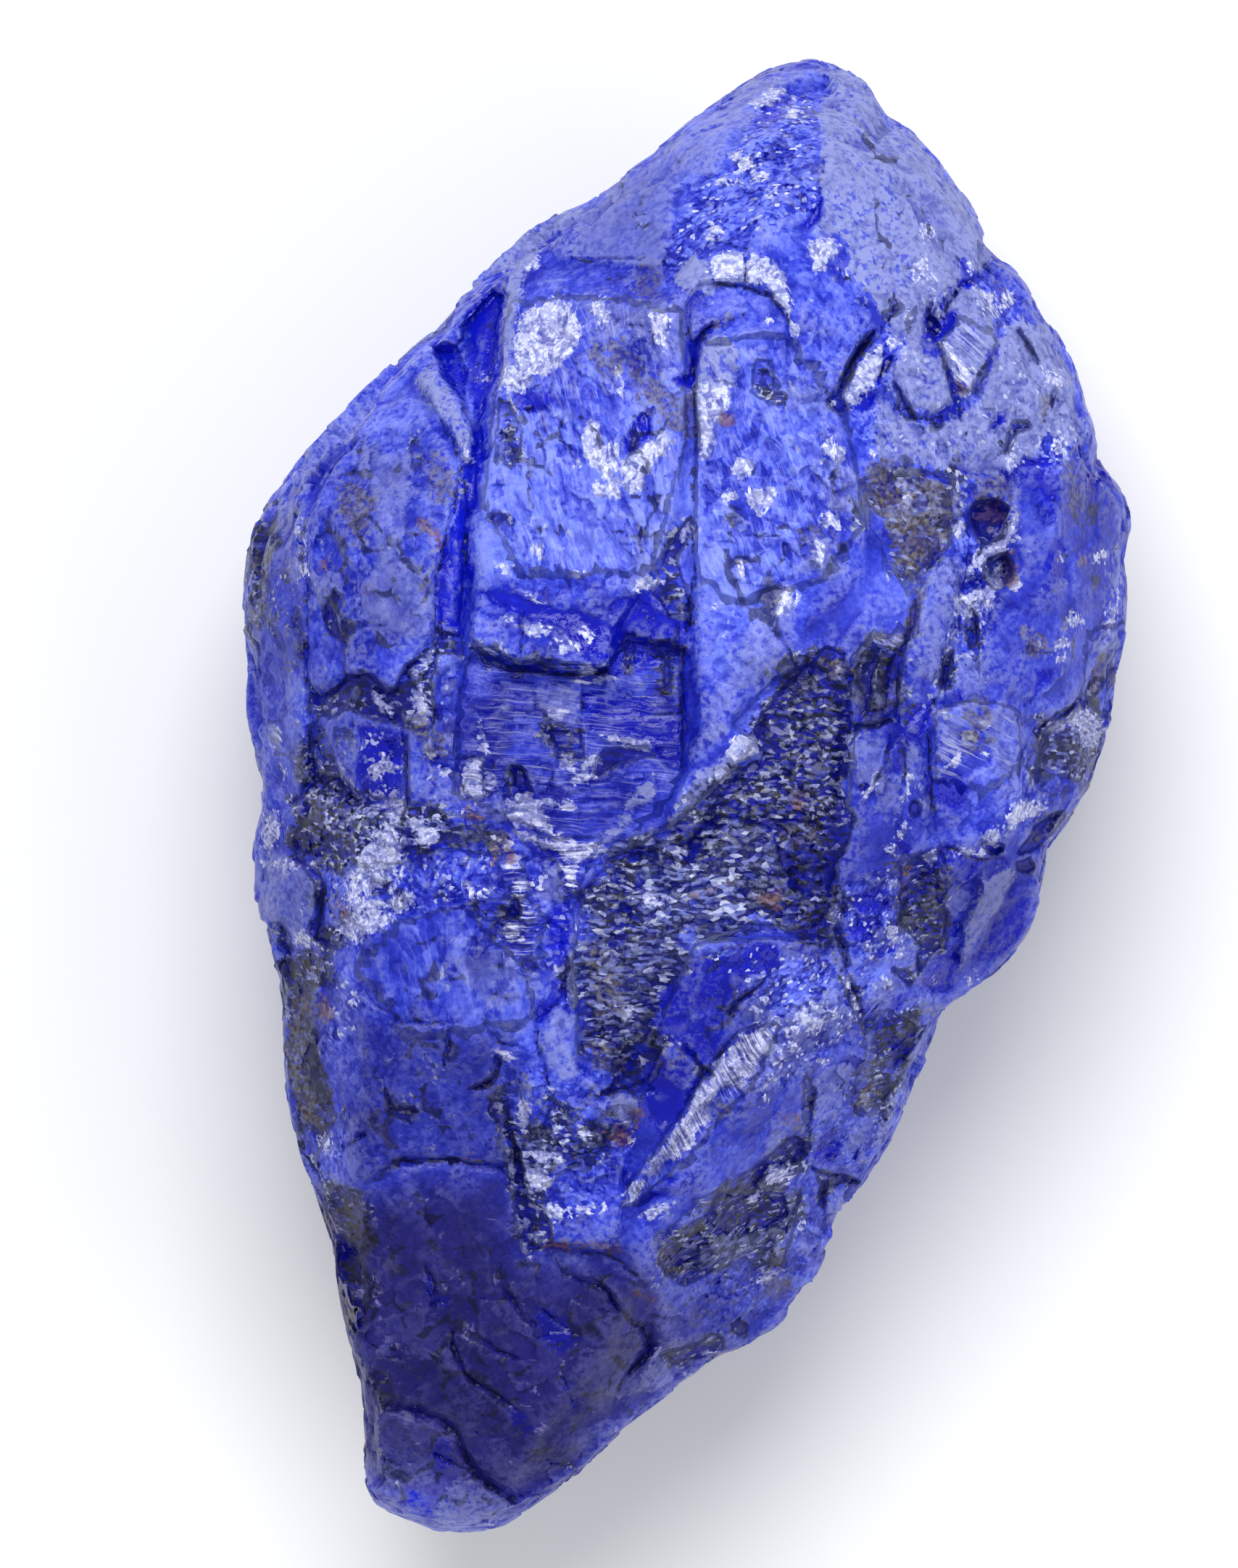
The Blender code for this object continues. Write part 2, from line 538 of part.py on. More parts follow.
def relief(points, normals):
    """Where each place of the even skin goes once the forms are worked in."""
    waver_u, waver_v = [soft_noise(points, WAVER_WIDTH, seed) for seed in WAVER_SEEDS]
    u = CENTRE_U + points[:, 0] * PX_PER_MM + EDGE_WAVER * waver_u
    v = CENTRE_V - points[:, 1] * PX_PER_MM + EDGE_WAVER * waver_v
    front = smooth_step(*FRONT_SLOPE, normals[:, 2])
    height = np.zeros(len(points))
    add_plates(height, u, v, PLATES)
    add_ledges(height, u, v, LEDGES)
    add_cracks(height, u, v, CRACKS)
    add_hollows(height, u, v, HOLLOWS)
    moved = points.copy()
    moved[:, 2] += height * front

    broad = chips(points, BROAD_CHIP, BROAD_SEED, BROAD_LIFT, BROAD_TILT)
    fine = chips(points, FINE_CHIP, FINE_SEED, FINE_LIFT, FINE_TILT)
    push = broad * (1.0 - BROAD_CALM * front) + fine * (1.0 - FINE_CALM * front)
    push = np.minimum(push, CHIP_OUT)
    turn = np.arctan2(points[:, 1], points[:, 0])
    off_girdle = smooth_step(0.0, GIRDLE_BAND, np.abs(points[:, 2] - girdle_height(turn)))
    off_girdle = np.maximum(off_girdle, front)
    share = np.where(push > 0.0, 0.0, GIRDLE_SHARE)
    push *= share + (1.0 - share) * off_girdle
    push *= smooth_step(*REST_BAND, points[:, 2])
    return moved + normals * push[:, None]


def clear_scene():
    for item in list(bpy.data.objects):
        bpy.data.objects.remove(item, do_unlink=True)
    for item in list(bpy.data.collections):
        bpy.data.collections.remove(item)


def stone_material():
    """Deep royal blue, waxy rather than glassy."""
    material = bpy.data.materials.new("sapphire")
    material.use_nodes = True
    shader = material.node_tree.nodes["Principled BSDF"]
    shader.inputs["Base Color"].default_value = (*STONE_COLOUR, 1.0)
    shader.inputs["Roughness"].default_value = STONE_ROUGHNESS
    shader.inputs["Metallic"].default_value = 0.0
    material.diffuse_color = (*STONE_COLOUR, 1.0)
    return material


def thin_out(mesh):
    """Fewer, larger triangles where the stone is flat."""
    stone = bpy.data.objects.new("thinning", mesh)
    bpy.context.scene.collection.objects.link(stone)
    decimate = stone.modifiers.new("thin out", "DECIMATE")
    decimate.ratio = TRIANGLES_WANTED / sum(len(face.vertices) - 2 for face in mesh.polygons)
    thin = bpy.data.meshes.new_from_object(
        stone.evaluated_get(bpy.context.evaluated_depsgraph_get()))
    bpy.data.objects.remove(stone)
    return thin


def build_stone():
    solid = cushion()
    cut_faces(solid)
    body = bpy.data.meshes.new("body")
    solid.to_mesh(body)
    solid.free()
    skin = even_skin(body, VOXEL)
    count = len(skin.vertices)
    points = np.empty(count * 3)
    skin.vertices.foreach_get("co", points)
    normals = np.empty(count * 3)
    skin.vertex_normals.foreach_get("vector", normals)
    moved = relief(points.reshape(-1, 3), normals.reshape(-1, 3))
    skin.vertices.foreach_set("co", moved.ravel())
    skin.update()
    thin = thin_out(even_skin(skin, VOXEL))

    stone = bmesh.new()
    stone.from_mesh(thin)
    cut_flat(stone, Vector((0.0, 0.0, REST_CUT)), Vector((0.0, 0.0, -1.0)))
    lowest = min(vert.co.z for vert in stone.verts)
    for vert in stone.verts:
        vert.co = (vert.co - Vector((0.0, 0.0, lowest))) * MM
    bmesh.ops.triangulate(stone, faces=stone.faces[:])
    bmesh.ops.recalc_face_normals(stone, faces=stone.faces[:])
    mesh = bpy.data.meshes.new("sapphire")
    stone.to_mesh(mesh)
    stone.free()
    return mesh


def main():
    clear_scene()
    home = bpy.data.collections.new("rough_sapphire")
    bpy.context.scene.collection.children.link(home)
    mesh = build_stone()
    mesh.materials.append(stone_material())
    home.objects.link(bpy.data.objects.new("sapphire", mesh))


main()
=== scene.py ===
"""Looks of the rough sapphire: its skin at full detail, its colours, floor, light and camera."""
import math

import bmesh
import bpy
import numpy as np
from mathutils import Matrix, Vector


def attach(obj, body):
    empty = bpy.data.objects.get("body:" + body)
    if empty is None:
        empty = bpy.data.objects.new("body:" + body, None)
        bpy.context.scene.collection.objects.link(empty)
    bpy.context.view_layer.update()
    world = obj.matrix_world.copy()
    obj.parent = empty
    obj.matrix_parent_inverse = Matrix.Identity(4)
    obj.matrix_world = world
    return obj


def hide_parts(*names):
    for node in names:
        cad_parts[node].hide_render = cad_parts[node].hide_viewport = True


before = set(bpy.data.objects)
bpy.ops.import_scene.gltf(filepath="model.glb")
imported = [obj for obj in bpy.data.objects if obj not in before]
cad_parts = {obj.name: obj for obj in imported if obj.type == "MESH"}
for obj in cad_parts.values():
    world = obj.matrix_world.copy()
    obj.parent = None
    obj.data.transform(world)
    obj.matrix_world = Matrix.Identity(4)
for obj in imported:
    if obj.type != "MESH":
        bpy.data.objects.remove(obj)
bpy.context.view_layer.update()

# The stone lies on its back with its photographed face up. Places on that face
# are given in photo pixels (u to the right, v downward), heights in millimetres.
PX_PER_MM = 22.5
CENTRE_U = 951.7
CENTRE_V = 1098.1
MM = 0.001
# Meshing rounds the outline off a little, so it is drawn this much larger.
OUTLINE_GROW = 0.15

# Heights of the body before its faces are cut, above the resting plane. Its widest
# line, the girdle, sways up and down on its way round the stone.
GIRDLE_HEIGHT = 17.0
GIRDLE_SWAY = 4.5
CROWN_RISE = 24.0
BACK_DROP = 20.5
# Powers that shape the side wall: small ones give a steep wall.
WALL_POWER_FRONT = 0.30
WALL_POWER_BACK = 0.60
RISE_POWER = 0.85
# How much of the outline's small notches is kept far above and below the girdle, and
# over how many degrees they are evened out there.
NOTCH_KEEP = 0.25
NOTCH_SPREAD = 14.0
NOTCH_STEPS = 13
# Radians above and below the girdle over which the notches are evened out.
NOTCH_FADE = 0.5
# Farther than anything measured.
FAR = 1e9


def path(*numbers):
    """Corners or bends on the photo, given as u, v, u, v and so on."""
    return list(zip(numbers[::2], numbers[1::2]))


# The outline of the stone as seen from above, clockwise from the upper tip.
OUTLINE = path(1112, 84, 1156, 91, 1183, 106, 1198, 122, 1221, 177, 1235, 179, 1243, 176, 1252, 181,
    1272, 208, 1292, 227, 1300, 247, 1333, 284, 1363, 344, 1366, 356, 1374, 355, 1391, 365, 1418, 399,
    1434, 439, 1447, 453, 1481, 520, 1489, 560, 1506, 600, 1512, 634, 1520, 648, 1532, 656, 1545, 675,
    1554, 691, 1558, 729, 1554, 751, 1546, 770, 1551, 811, 1542, 890, 1532, 928, 1531, 955, 1520, 1020,
    1502, 1077, 1440, 1169, 1414, 1279, 1384, 1324, 1364, 1343, 1315, 1377, 1295, 1399, 1248, 1505,
    1234, 1548, 1177, 1640, 1160, 1692, 1136, 1728, 1122, 1761, 1091, 1798, 1079, 1821, 1017, 1855,
    1000, 1858, 979, 1868, 921, 1916, 862, 1959, 792, 2032, 765, 2048, 751, 2062, 718, 2084, 707, 2097,
    695, 2104, 654, 2109, 598, 2109, 576, 2095, 527, 2079, 509, 2057, 503, 2021, 506, 1969, 500, 1901,
    477, 1820, 461, 1711, 438, 1635, 403, 1516, 394, 1370, 373, 1303, 358, 1238, 356, 1185, 358, 1162,
    367, 1130, 368, 1097, 346, 912, 346, 765, 349, 736, 383, 683, 487, 563, 583, 468, 601, 460,
    639, 416, 736, 322, 779, 289, 801, 289, 906, 215, 971, 161, 1049, 105, 1080, 91)

# Places that several lists share.
SMOOTH_FACE = path(762, 342, 800, 292, 900, 222, 1000, 146, 1045, 112, 1075, 130, 1010, 190, 985, 240,
    925, 270, 930, 330, 905, 375, 780, 362)
MINERAL_BAND = path(1068, 940, 1110, 915, 1170, 960, 1178, 1060, 1150, 1180, 1140, 1290, 1060, 1290,
    960, 1300, 890, 1440, 850, 1500, 800, 1470, 790, 1250, 850, 1180, 960, 1110, 1045, 1025, 1010, 1000)
SUGAR_HEAP = path(950, 262, 1000, 240, 1020, 180, 1060, 130, 1130, 130, 1130, 300, 1090, 330, 1000, 345,
    930, 400, 900, 380, 925, 330)
BLOCK_TOP = path(700, 420, 860, 420, 945, 440, 950, 620, 900, 800, 700, 850, 660, 700, 680, 540)
MIDDLE_RIGHT = path(960, 480, 1080, 470, 1150, 560, 1180, 640, 1190, 720, 1130, 800, 1010, 830,
    962, 800)
CHIPPED_RIM = path(1500, 860, 1560, 860, 1540, 1040, 1460, 1160, 1400, 1180, 1420, 1020, 1490, 960)
LEANING_BLADE = path(1285, 985, 1330, 970, 1400, 980, 1404, 1060, 1350, 1090, 1288, 1080)
RIGHT_FACE = path(1340, 640, 1570, 640, 1560, 960, 1340, 980)

# Large flat faces of the front: a place on the face (u, v), its height there and
# how steeply the height rises to the right and toward the upper tip.
FRONT_FACES = [
    (880, 760, 37.2, 0.02, 0.02),
    (900, 330, 35.4, 0.30, -0.42),
    (620, 560, 34.6, 0.36, -0.24),
    (1150, 260, 35.2, -0.46, -0.14),
    (1330, 520, 33.6, -0.58, -0.22),
    (1300, 880, 34.6, -0.40, 0.02),
    (1480, 960, 29.0, -0.95, 0.22),
    (1230, 1230, 33.4, -0.44, 0.26),
    (1060, 1560, 31.8, -0.32, 0.34),
    (950, 1860, 25.6, -0.70, 0.95),
    (720, 1640, 32.2, 0.03, 0.30),
    (620, 1940, 27.6, 0.10, 0.55),
    (520, 1480, 33.4, 0.46, 0.10),
    (470, 1150, 34.2, 0.42, 0.02),
    (470, 760, 34.0, 0.40, -0.04),
    (380, 1000, 29.6, 1.00, 0.0),
    (1530, 740, 26.0, -1.70, 0.10),
    (1430, 440, 27.5, -1.20, -0.75),
    (1130, 110, 28.5, 0.05, -1.10),
    (690, 400, 29.0, 0.75, -0.85),
    (410, 1440, 26.5, 1.60, 0.15),
    (1380, 1290, 25.0, -1.10, 0.90),
]
# Large faces of the back, in the same manner: here the height is of the underside.
BACK_FACES = [
    (960, 960, 0.0, 0.0, 0.0),
    (1180, 640, 3.2, 0.34, 0.10),
    (1330, 1000, 4.2, 0.44, -0.05),
    (1120, 1420, 3.6, 0.30, -0.28),
    (760, 1560, 3.4, -0.12, -0.34),
    (640, 1860, 8.6, -0.20, -0.40),
    (620, 1180, 3.0, -0.38, -0.06),
    (560, 780, 4.6, -0.42, 0.12),
    (820, 480, 3.8, -0.10, 0.34),
    (1120, 260, 8.2, 0.18, 0.46),
    (1480, 800, 12.0, 1.15, 0.15),
    (1350, 1240, 11.0, 0.95, -0.50),
    (1090, 1640, 11.5, 0.75, -0.75),
    (690, 2000, 14.0, 0.15, -0.80),
    (480, 1600, 12.0, -1.20, -0.20),
    (420, 1080, 12.0, -1.10, 0.05),
    (450, 720, 12.0, -0.90, 0.50),
    (780, 400, 12.0, -0.55, 0.75),
    (1090, 190, 14.0, 0.10, 1.00),
    (1310, 400, 12.0, 0.85, 0.60),
]

# Meshing: sizes in millimetres. The stone rests on a cut made this far up.
BALL_STEPS = 6
COARSE_VOXEL = 0.3
FINE_VOXEL = 0.18
TRIANGLES_WANTED = 194000
REST_CUT = 0.12

# Chips and slopes as in the solid that this skin stands for.
EDGE_WAVER = 7.0
WAVER_WIDTH = 2.6
WAVER_SEEDS = (11, 12)
FINE_WAVER = 0.45
FINE_WAVER_WIDTH = 0.7
FINE_WAVER_SEEDS = (13, 14)
FRONT_SLOPE = (0.10, 0.55)
BROAD_CHIP = 11.0
BROAD_LIFT = 1.8
BROAD_TILT = 0.24
BROAD_SEED = 31
FINE_CHIP = 3.8
FINE_LIFT = 0.50
FINE_TILT = 0.16
FINE_SEED = 47
BROAD_CALM = 0.9
FINE_CALM = 0.55
CHIP_OUT = 0.20
GIRDLE_BAND = 6.0
GIRDLE_SHARE = 0.1
REST_BAND = (0.2, 2.5)
SMALL_CHIP = 1.3
SMALL_LIFT = 0.22
SMALL_TILT = 0.12
SMALL_SEED = 71
SMALL_OUT = 0.1
FINE_ROUGH = 0.03
FINE_ROUGH_WIDTH = 0.55
FINE_ROUGH_SEED = 61
# The share of the edge waver that small forms and colours take.
SKIN_WAVER = 0.6
SCALE_BORDER = 14.0
# Half a step's width as a share of its border, and the shares of a ledge's and of a
# crack's length over which their ends die out.
STEP_SHARE = 0.25
LEDGE_ENDS = 0.12
CRACK_ENDS = 0.08
LEDGE_FALL = 1.5
# Ribs: the length of a broken piece, how much they sway and over what size, and by how
# many pieces neighbouring ribs are shifted, all in millimetres but the last.
RIB_LENGTH = 1.6
RIB_SWAY = 0.25
RIB_SWAY_LENGTH = 3.0
RIB_SWAY_WIDTH = 0.8
RIB_SHIFT = 7.0
RIB_SEED = 400
SCALE_SEED = 300
# Depths in marked ground are counted up to this many pixels, and the box round a marked
# ellipse is this many times its longer half.
FIELD_REACH = 30.0
ELLIPSE_ROOM = 1.5
# Half the width of a small facet's step, in pixels.
FACET_EDGE = 3.0
# Crack lines are slimmer than their grooves, run out toward their ends, and are widest
# from this depth in millimetres.
CRACK_SLIM = 0.34
CRACK_TAPER = 0.30
DARK_DEPTH = 0.50
# The net of fine cracks: the width of its cells and of its widest lines in pixels.
NET_CELL = 46.0
NET_LINE = 9.0
# How far crack lines shake, in pixels, and over what width in millimetres.
CRACK_JIG = 6.0
CRACK_JIG_WIDTH = 0.45
# Half the width of the seam in pixels where the flakes change direction.
SEAM = 12.0
# How far flakes and streaks waver, in flakes, and over what width in millimetres.
FLAKE_WAVER = 0.14
FLAKE_WAVER_WIDTHS = (1.1, 0.5)
# How much of the streaks is left on gritty ground.
GRIT_STREAK = 0.3
# Grit and dark mineral lie level: their flakes are longer and lower than elsewhere.
GRIT_STRETCH = (0.55, 1.15)
# The grooves of the fine cracks, as a share of the size written with them.
FINE_CRACK_SHARE = 0.75
# Triangles left for the side away from the photo.
BACK_TRIANGLES = 34000
BACK_BELOW = 13.0

# Colours of the look, in linear light.
ABYSS = (0.003, 0.006, 0.30)
GREY_BLUE = (0.13, 0.155, 0.42)
ROYAL = (0.022, 0.040, 0.56)
LIGHT_BLUE = (0.175, 0.235, 0.92)
VIOLET_SHADE_DARK = (0.006, 0.004, 0.12)
VIOLET_SHADE_LIGHT = (0.070, 0.056, 0.38)
FROST_DARK = (0.14, 0.168, 0.45)
FROST_LIGHT = (0.255, 0.285, 0.58)
DEEP_DARK = (0.002, 0.004, 0.34)
DEEP_LIGHT = (0.006, 0.014, 0.66)
WHITE_AND_SHEEN = (0.70, 0.73, 0.94)
NAVY = (0.003, 0.004, 0.060)
BLACK = (0.004, 0.005, 0.014)
# Pale grains, partly painted glints.
PALE_GRAIN_AND_GLINT = (0.44, 0.48, 0.64)
UMBER = (0.055, 0.036, 0.035)
OLIVE = (0.16, 0.15, 0.11)
RUST_DARK = (0.05, 0.016, 0.014)
RUST_LIGHT = (0.22, 0.10, 0.07)
# How much painted shade takes from red, green and blue.
PAINTED_SHADE_TINT = (0.96, 1.0, 0.76)
# The sharpness of each tone's border in the look and how ragged the grain makes it.
BORDERS = {
    "pale": (0.10, 1.0), "white_and_sheen": (0.06, 1.0), "deep": (0.10, 1.0), "dark": (0.08, 1.4),
    "brown": (0.15, 1.6), "rust": (0.12, 1.0), "grit": (0.20, 1.8), "haze": (0.20, 1.4),
    "crack": (0.04, 0.38), "net": (0.05, 0.26)}
# How strongly each layer of the look covers what lies under it.
COVER = {
    "violet_shade": 0.85, "haze": 0.45, "pale": 0.88, "dents": 0.7, "hair": 0.45, "fibre_dark": 0.75,
    "fibre_white_and_glint": 0.8, "coal_grain_and_glint": 0.8, "dust": 0.70, "rust": 0.75, "net": 0.9, "painted_hollow_shade": 0.50,
    "painted_pit_shade": 0.6, "cut": 0.88, "ridge_wear_and_highlight": 0.40}
# How dull each kind of surface is, and how much that swings.
ROUGHNESS = {"body": 0.36, "pale": 0.55, "deep": 0.16, "dark": 0.34}
ROUGHNESS_SWING = 0.25
# The scales of the two noises per millimetre, of the chips per flake, and the stretch of
# the fibres.
GRAIN_SCALE = 2.4
FINE_SCALE = 3.6
CHIP_SCALE = 3.3
FIBRE_STRETCH = (0.6, 4.5, 1.0)
BUMP_STRENGTH = 0.8
# How strongly flakes and the chips on them lean their own way.
FLAKE_LEAN = 5.0
CHIP_LEAN = 4.0
BUMP_DEPTH = 0.10
SAPPHIRE_IOR = 1.77
SHINE_LEVEL = 0.12
FLAKE_SIZE = 0.9
SIDE_RADIUS = 32.0
# Millimetres from the middle between which the flakes start to unroll down the sides.
UNROLL_RADII = (4.0, 16.0)
UNROLL_ROUNDS = 60

# Smoothing keeps this share of a vertex's own place in every round.
SMOOTH_KEEP = 0.3
# Rounds of smoothing that show narrow and wide hollows and ridges, how much the narrow
# ones count, and the millimetres between which they start and are full.
BULGE_ROUNDS = (3, 16)
NARROW_BULGE = 2.0
# Hollows get painted shade; ridges go paler, partly wear and partly a painted highlight.
HOLLOW_SHADE_RANGE = (0.05, 0.30)
RIDGE_RANGE = (0.06, 0.30)
# Half the height in millimetres of the band where the photographed side goes over into
# the side away from the photo.
UPPER_BAND = 1.5
# Borders of marked ground fray over these widths in millimetres, the second time half
# as much, and patches of the far side are this crisp.
FRAY_WIDTHS = (1.5, 0.6)
FRAY_SECOND = 0.5
BACK_SECOND = 0.4
BACK_CRISP = 3.0
# How broken up the far side is: where its noise starts and ends, its width and seed.
HIDDEN_RANGE = (-0.1, 0.5)
HIDDEN_WIDTH = 9.0
HIDDEN_SEED = 83
HIDDEN_SCALY = 0.7
# Pixels from the border between which some grounds set in.
SCALY_BORDER = (-4.0, 14.0)
VIOLET_SHADE_BORDER = (-50.0, 90.0)
NET_BORDER = (-10.0, 20.0)
STREAK_BORDER = (0.0, 16.0)
SEAM_CORE = 0.4
# Streaks come and go round this level, over this width in millimetres.
STREAK_LEVEL = 0.75
STREAK_WIDTH = 1.5
STREAK_SEED = 93
# Strong streaks waver less by this share, and the finer waver counts for this much.
STREAK_CALM = 0.7
SECOND_WAVER = 0.7
FLAKE_WAVER_SEED = 101
# How light the body is: its level and swing, and the widths and seeds of two noises.
TONE_LEVEL = 0.46
TONE_SWING = 0.20
TONE_WIDTHS = (4.0, 1.3)
TONE_SEEDS = (91, 92)
# How much crack lines and the net come and go, over what widths, and their seeds.
BREAK_SWING = 0.5
BREAK_WIDTH = 1.1
BREAK_SEED = 94
CRACK_JIG_SEEDS = (95, 96)
NET_SEED = 97
NET_LEVEL = 0.36
NET_SWING = 0.70
NET_WIDTH = 2.2
NET_WIDTH_SEED = 98
NET_CLOSE = 4.0

# How ragged each tone's border is on the front, and what the tone is on the side away
# from the photo: (name, raggedness, width of a patch, seed, threshold).
TONES = [
    ("pale", 0.20, 7.0, 201, 0.25),
    ("white_and_sheen", 0.15, 3.0, 211, 0.75),
    ("deep", 0.30, 4.5, 221, 0.55),
    ("dark", 0.35, 5.0, 231, 0.60),
    ("brown", 0.22, 4.0, 241, 0.72),
    ("rust", 0.25, 2.5, 251, 0.90),
    ("grit", 0.90, 6.0, 261, 0.60),
    ("haze", 0.60, 4.0, 271, 0.40),
]
SHARP_ANGLE = 32.0

# The photo's frame, and a camera far enough away to see the stone without bending it.
PHOTO_WIDTH = 1708
PHOTO_HEIGHT = 2164
SENSOR_HEIGHT = 24.0
CAMERA_HEIGHT = 2000.0
CAMERA_CLIP = (0.1, 10.0)

# Soft light, strongest from beyond the stone's upper end:
# (name, place, aim, width, power), in metres and watts.
LAMPS = [
    ("window", (-0.06, 0.36, 0.66), (0.0, 0.0, 0.02), 0.50, 4.6),
    ("bounce", (0.45, -0.25, 0.50), (0.0, 0.0, 0.02), 0.55, 1.3),
]
SKY_COLOUR = (0.95, 0.97, 1.0)
SKY_STRENGTH = 0.60
FLOOR_COLOUR = (0.86, 0.86, 0.87)
FLOOR_SIZE = 1.5
FLOOR_ROUGHNESS = 0.9

# Flat faces raised above (or sunk below) the ones round them:
# (lift, rise to the right, rise downward, width of the border in pixels, corners).
PLATES = [
    # the tall block left of the middle, its lower end overhanging
    (0.60, -0.01, 0.035, 13, path(702, 402, 760, 380, 870, 430, 925, 400, 948, 470, 944, 620, 938, 705,
        905, 790, 872, 832, 846, 868, 838, 925, 760, 918, 712, 915, 690, 905, 655, 888, 650, 780,
        664, 640, 676, 560, 690, 480)),
    # the smooth face by the upper left edge
    (0.55, 0.0, 0.0, 12, SMOOTH_FACE),
    # the frosted face at the upper right and the narrower one below it
    (0.50, 0.02, 0.0, 15, path(1130, 80, 1165, 80, 1210, 116, 1222, 150, 1232, 172, 1262, 186,
        1312, 240, 1352, 296, 1374, 345, 1352, 372, 1325, 398, 1290, 420, 1272, 440, 1262, 470,
        1240, 470, 1215, 440, 1180, 400, 1150, 340, 1122, 318, 1128, 270, 1133, 225, 1126, 190,
        1130, 150)),
    (0.40, 0.0, 0.0, 14, path(1366, 350, 1405, 370, 1434, 410, 1470, 475, 1500, 552, 1450, 552,
        1415, 480, 1390, 440, 1345, 395)),
    (0.60, 0.04, 0.05, 12, path(1296, 430, 1322, 396, 1350, 402, 1375, 440, 1368, 480, 1345, 520,
        1335, 555, 1310, 530, 1288, 474)),
    (0.45, 0.0, 0.0, 12, path(1214, 520, 1240, 480, 1290, 472, 1304, 520, 1312, 560, 1284, 590,
        1240, 575)),
    (0.35, 0.0, 0.04, 12, path(1100, 430, 1150, 380, 1170, 370, 1185, 420, 1200, 440, 1180, 480,
        1150, 540, 1100, 560, 1085, 500)),
    # the column right of the long upright crack
    (0.30, 0.0, 0.0, 30, path(966, 470, 1080, 455, 1100, 560, 1150, 585, 1200, 700, 1180, 800,
        1090, 905, 1050, 930, 1000, 1012, 960, 1060, 956, 900, 958, 700)),
    # the left face and the narrow strip beside the left edge
    (0.70, -0.05, 0.0, 12, path(424, 680, 440, 640, 500, 570, 560, 545, 585, 560, 620, 620, 636, 660,
        640, 700, 622, 740, 606, 800, 600, 868, 560, 925, 548, 958, 520, 935, 482, 925, 478, 880,
        466, 850, 424, 800, 424, 740)),
    (0.45, 0.0, 0.0, 10, path(346, 722, 392, 664, 420, 690, 422, 800, 420, 920, 424, 1010, 430, 1075,
        398, 1112, 358, 1110, 340, 960, 336, 800)),
    # the deep glassy recess with the pale blade standing in it
    (-1.80, 0.0, 0.0, 14, path(700, 412, 672, 402, 640, 425, 604, 462, 596, 492, 640, 560, 655, 610,
        672, 560, 688, 480)),
    (0.90, 0.0, 0.0, 8, path(572, 522, 604, 517, 640, 560, 658, 600, 655, 640, 640, 632, 612, 580)),
    # the dark block under the left face
    (-0.60, 0.0, 0.0, 12, path(430, 960, 480, 925, 520, 935, 560, 960, 566, 1100, 560, 1125, 500, 1110,
        430, 1075)),
    # the dark mineral band running down to the left
    (-0.75, 0.0, 0.0, 34, MINERAL_BAND),
    # the ribbed ground below the overhang
    (-0.75, 0.0, 0.02, 14, path(600, 930, 655, 900, 712, 925, 838, 930, 860, 870, 950, 900, 952, 1060,
        900, 1180, 800, 1200, 740, 1180, 700, 1140, 690, 1080, 600, 1050)),
    # leaning blades right of the band
    (0.75, 0.10, 0.0, 10, path(1268, 800, 1300, 770, 1325, 790, 1318, 850, 1300, 900, 1296, 950,
        1285, 1000, 1262, 1022, 1240, 1010, 1238, 960, 1246, 900, 1258, 850)),
    (0.55, 0.0, 0.0, 10, path(1285, 985, 1350, 965, 1400, 985, 1418, 1030, 1400, 1120, 1385, 1180,
        1330, 1215, 1285, 1170, 1282, 1080)),
    (0.50, 0.06, 0.0, 10, path(1180, 1110, 1235, 1020, 1262, 1030, 1280, 1100, 1275, 1170, 1235, 1200,
        1170, 1235, 1152, 1220)),
    # the broad face by the right edge and the chipped rim below it
    (0.55, 0.0, 0.0, 12, path(1400, 650, 1440, 640, 1520, 640, 1570, 700, 1560, 770, 1556, 860,
        1500, 930, 1440, 1000, 1410, 995, 1350, 955, 1345, 900, 1365, 830, 1410, 780, 1385, 730)),
    (-0.55, 0.0, 0.0, 12, path(1440, 1005, 1500, 935, 1560, 880, 1550, 950, 1538, 1030, 1500, 1108,
        1450, 1178, 1385, 1175, 1410, 1110, 1425, 1060)),
    (0.85, 0.0, 0.0, 8, path(1352, 1200, 1392, 1195, 1395, 1222, 1345, 1310, 1325, 1332, 1322, 1290,
        1345, 1240)),
    # smooth blue faces left of the lower middle
    (0.20, 0.0, 0.0, 24, path(470, 1290, 560, 1262, 660, 1240, 720, 1320, 740, 1400, 700, 1440,
        640, 1490, 560, 1440, 520, 1400, 470, 1390)),
    (0.15, 0.0, 0.0, 20, path(520, 1410, 640, 1405, 690, 1440, 690, 1500, 655, 1545, 548, 1545,
        540, 1480)),
    # the lower, darker end and the tip below its crack
    (-0.50, 0.0, 0.0, 18, path(430, 1640, 500, 1635, 560, 1600, 700, 1604, 716, 1660, 730, 1722,
        860, 1722, 900, 1780, 905, 1860, 860, 1940, 800, 2030, 742, 2080, 690, 2050, 620, 1960,
        490, 1930, 460, 1760)),
    (-0.60, 0.0, 0.0, 12, path(490, 1932, 575, 1948, 620, 1962, 655, 2020, 690, 2052, 750, 2076,
        710, 2125, 600, 2130, 490, 2070)),
    # the ridge above the lower end, and the long bright spike
    (0.50, 0.05, 0.0, 14, path(720, 1480, 760, 1400, 830, 1500, 862, 1600, 850, 1720, 735, 1715,
        722, 1640)),
    (0.35, 0.28, 0.36, 8, path(858, 1664, 900, 1590, 960, 1500, 1020, 1430, 1062, 1398, 1060, 1445,
        985, 1512, 930, 1572, 882, 1640)),
    (0.45, 0.0, 0.0, 14, path(1010, 1500, 1100, 1470, 1200, 1420, 1260, 1400, 1272, 1470, 1210, 1600,
        1130, 1620, 1110, 1560, 1060, 1590, 1000, 1640, 940, 1640, 900, 1640)),
]

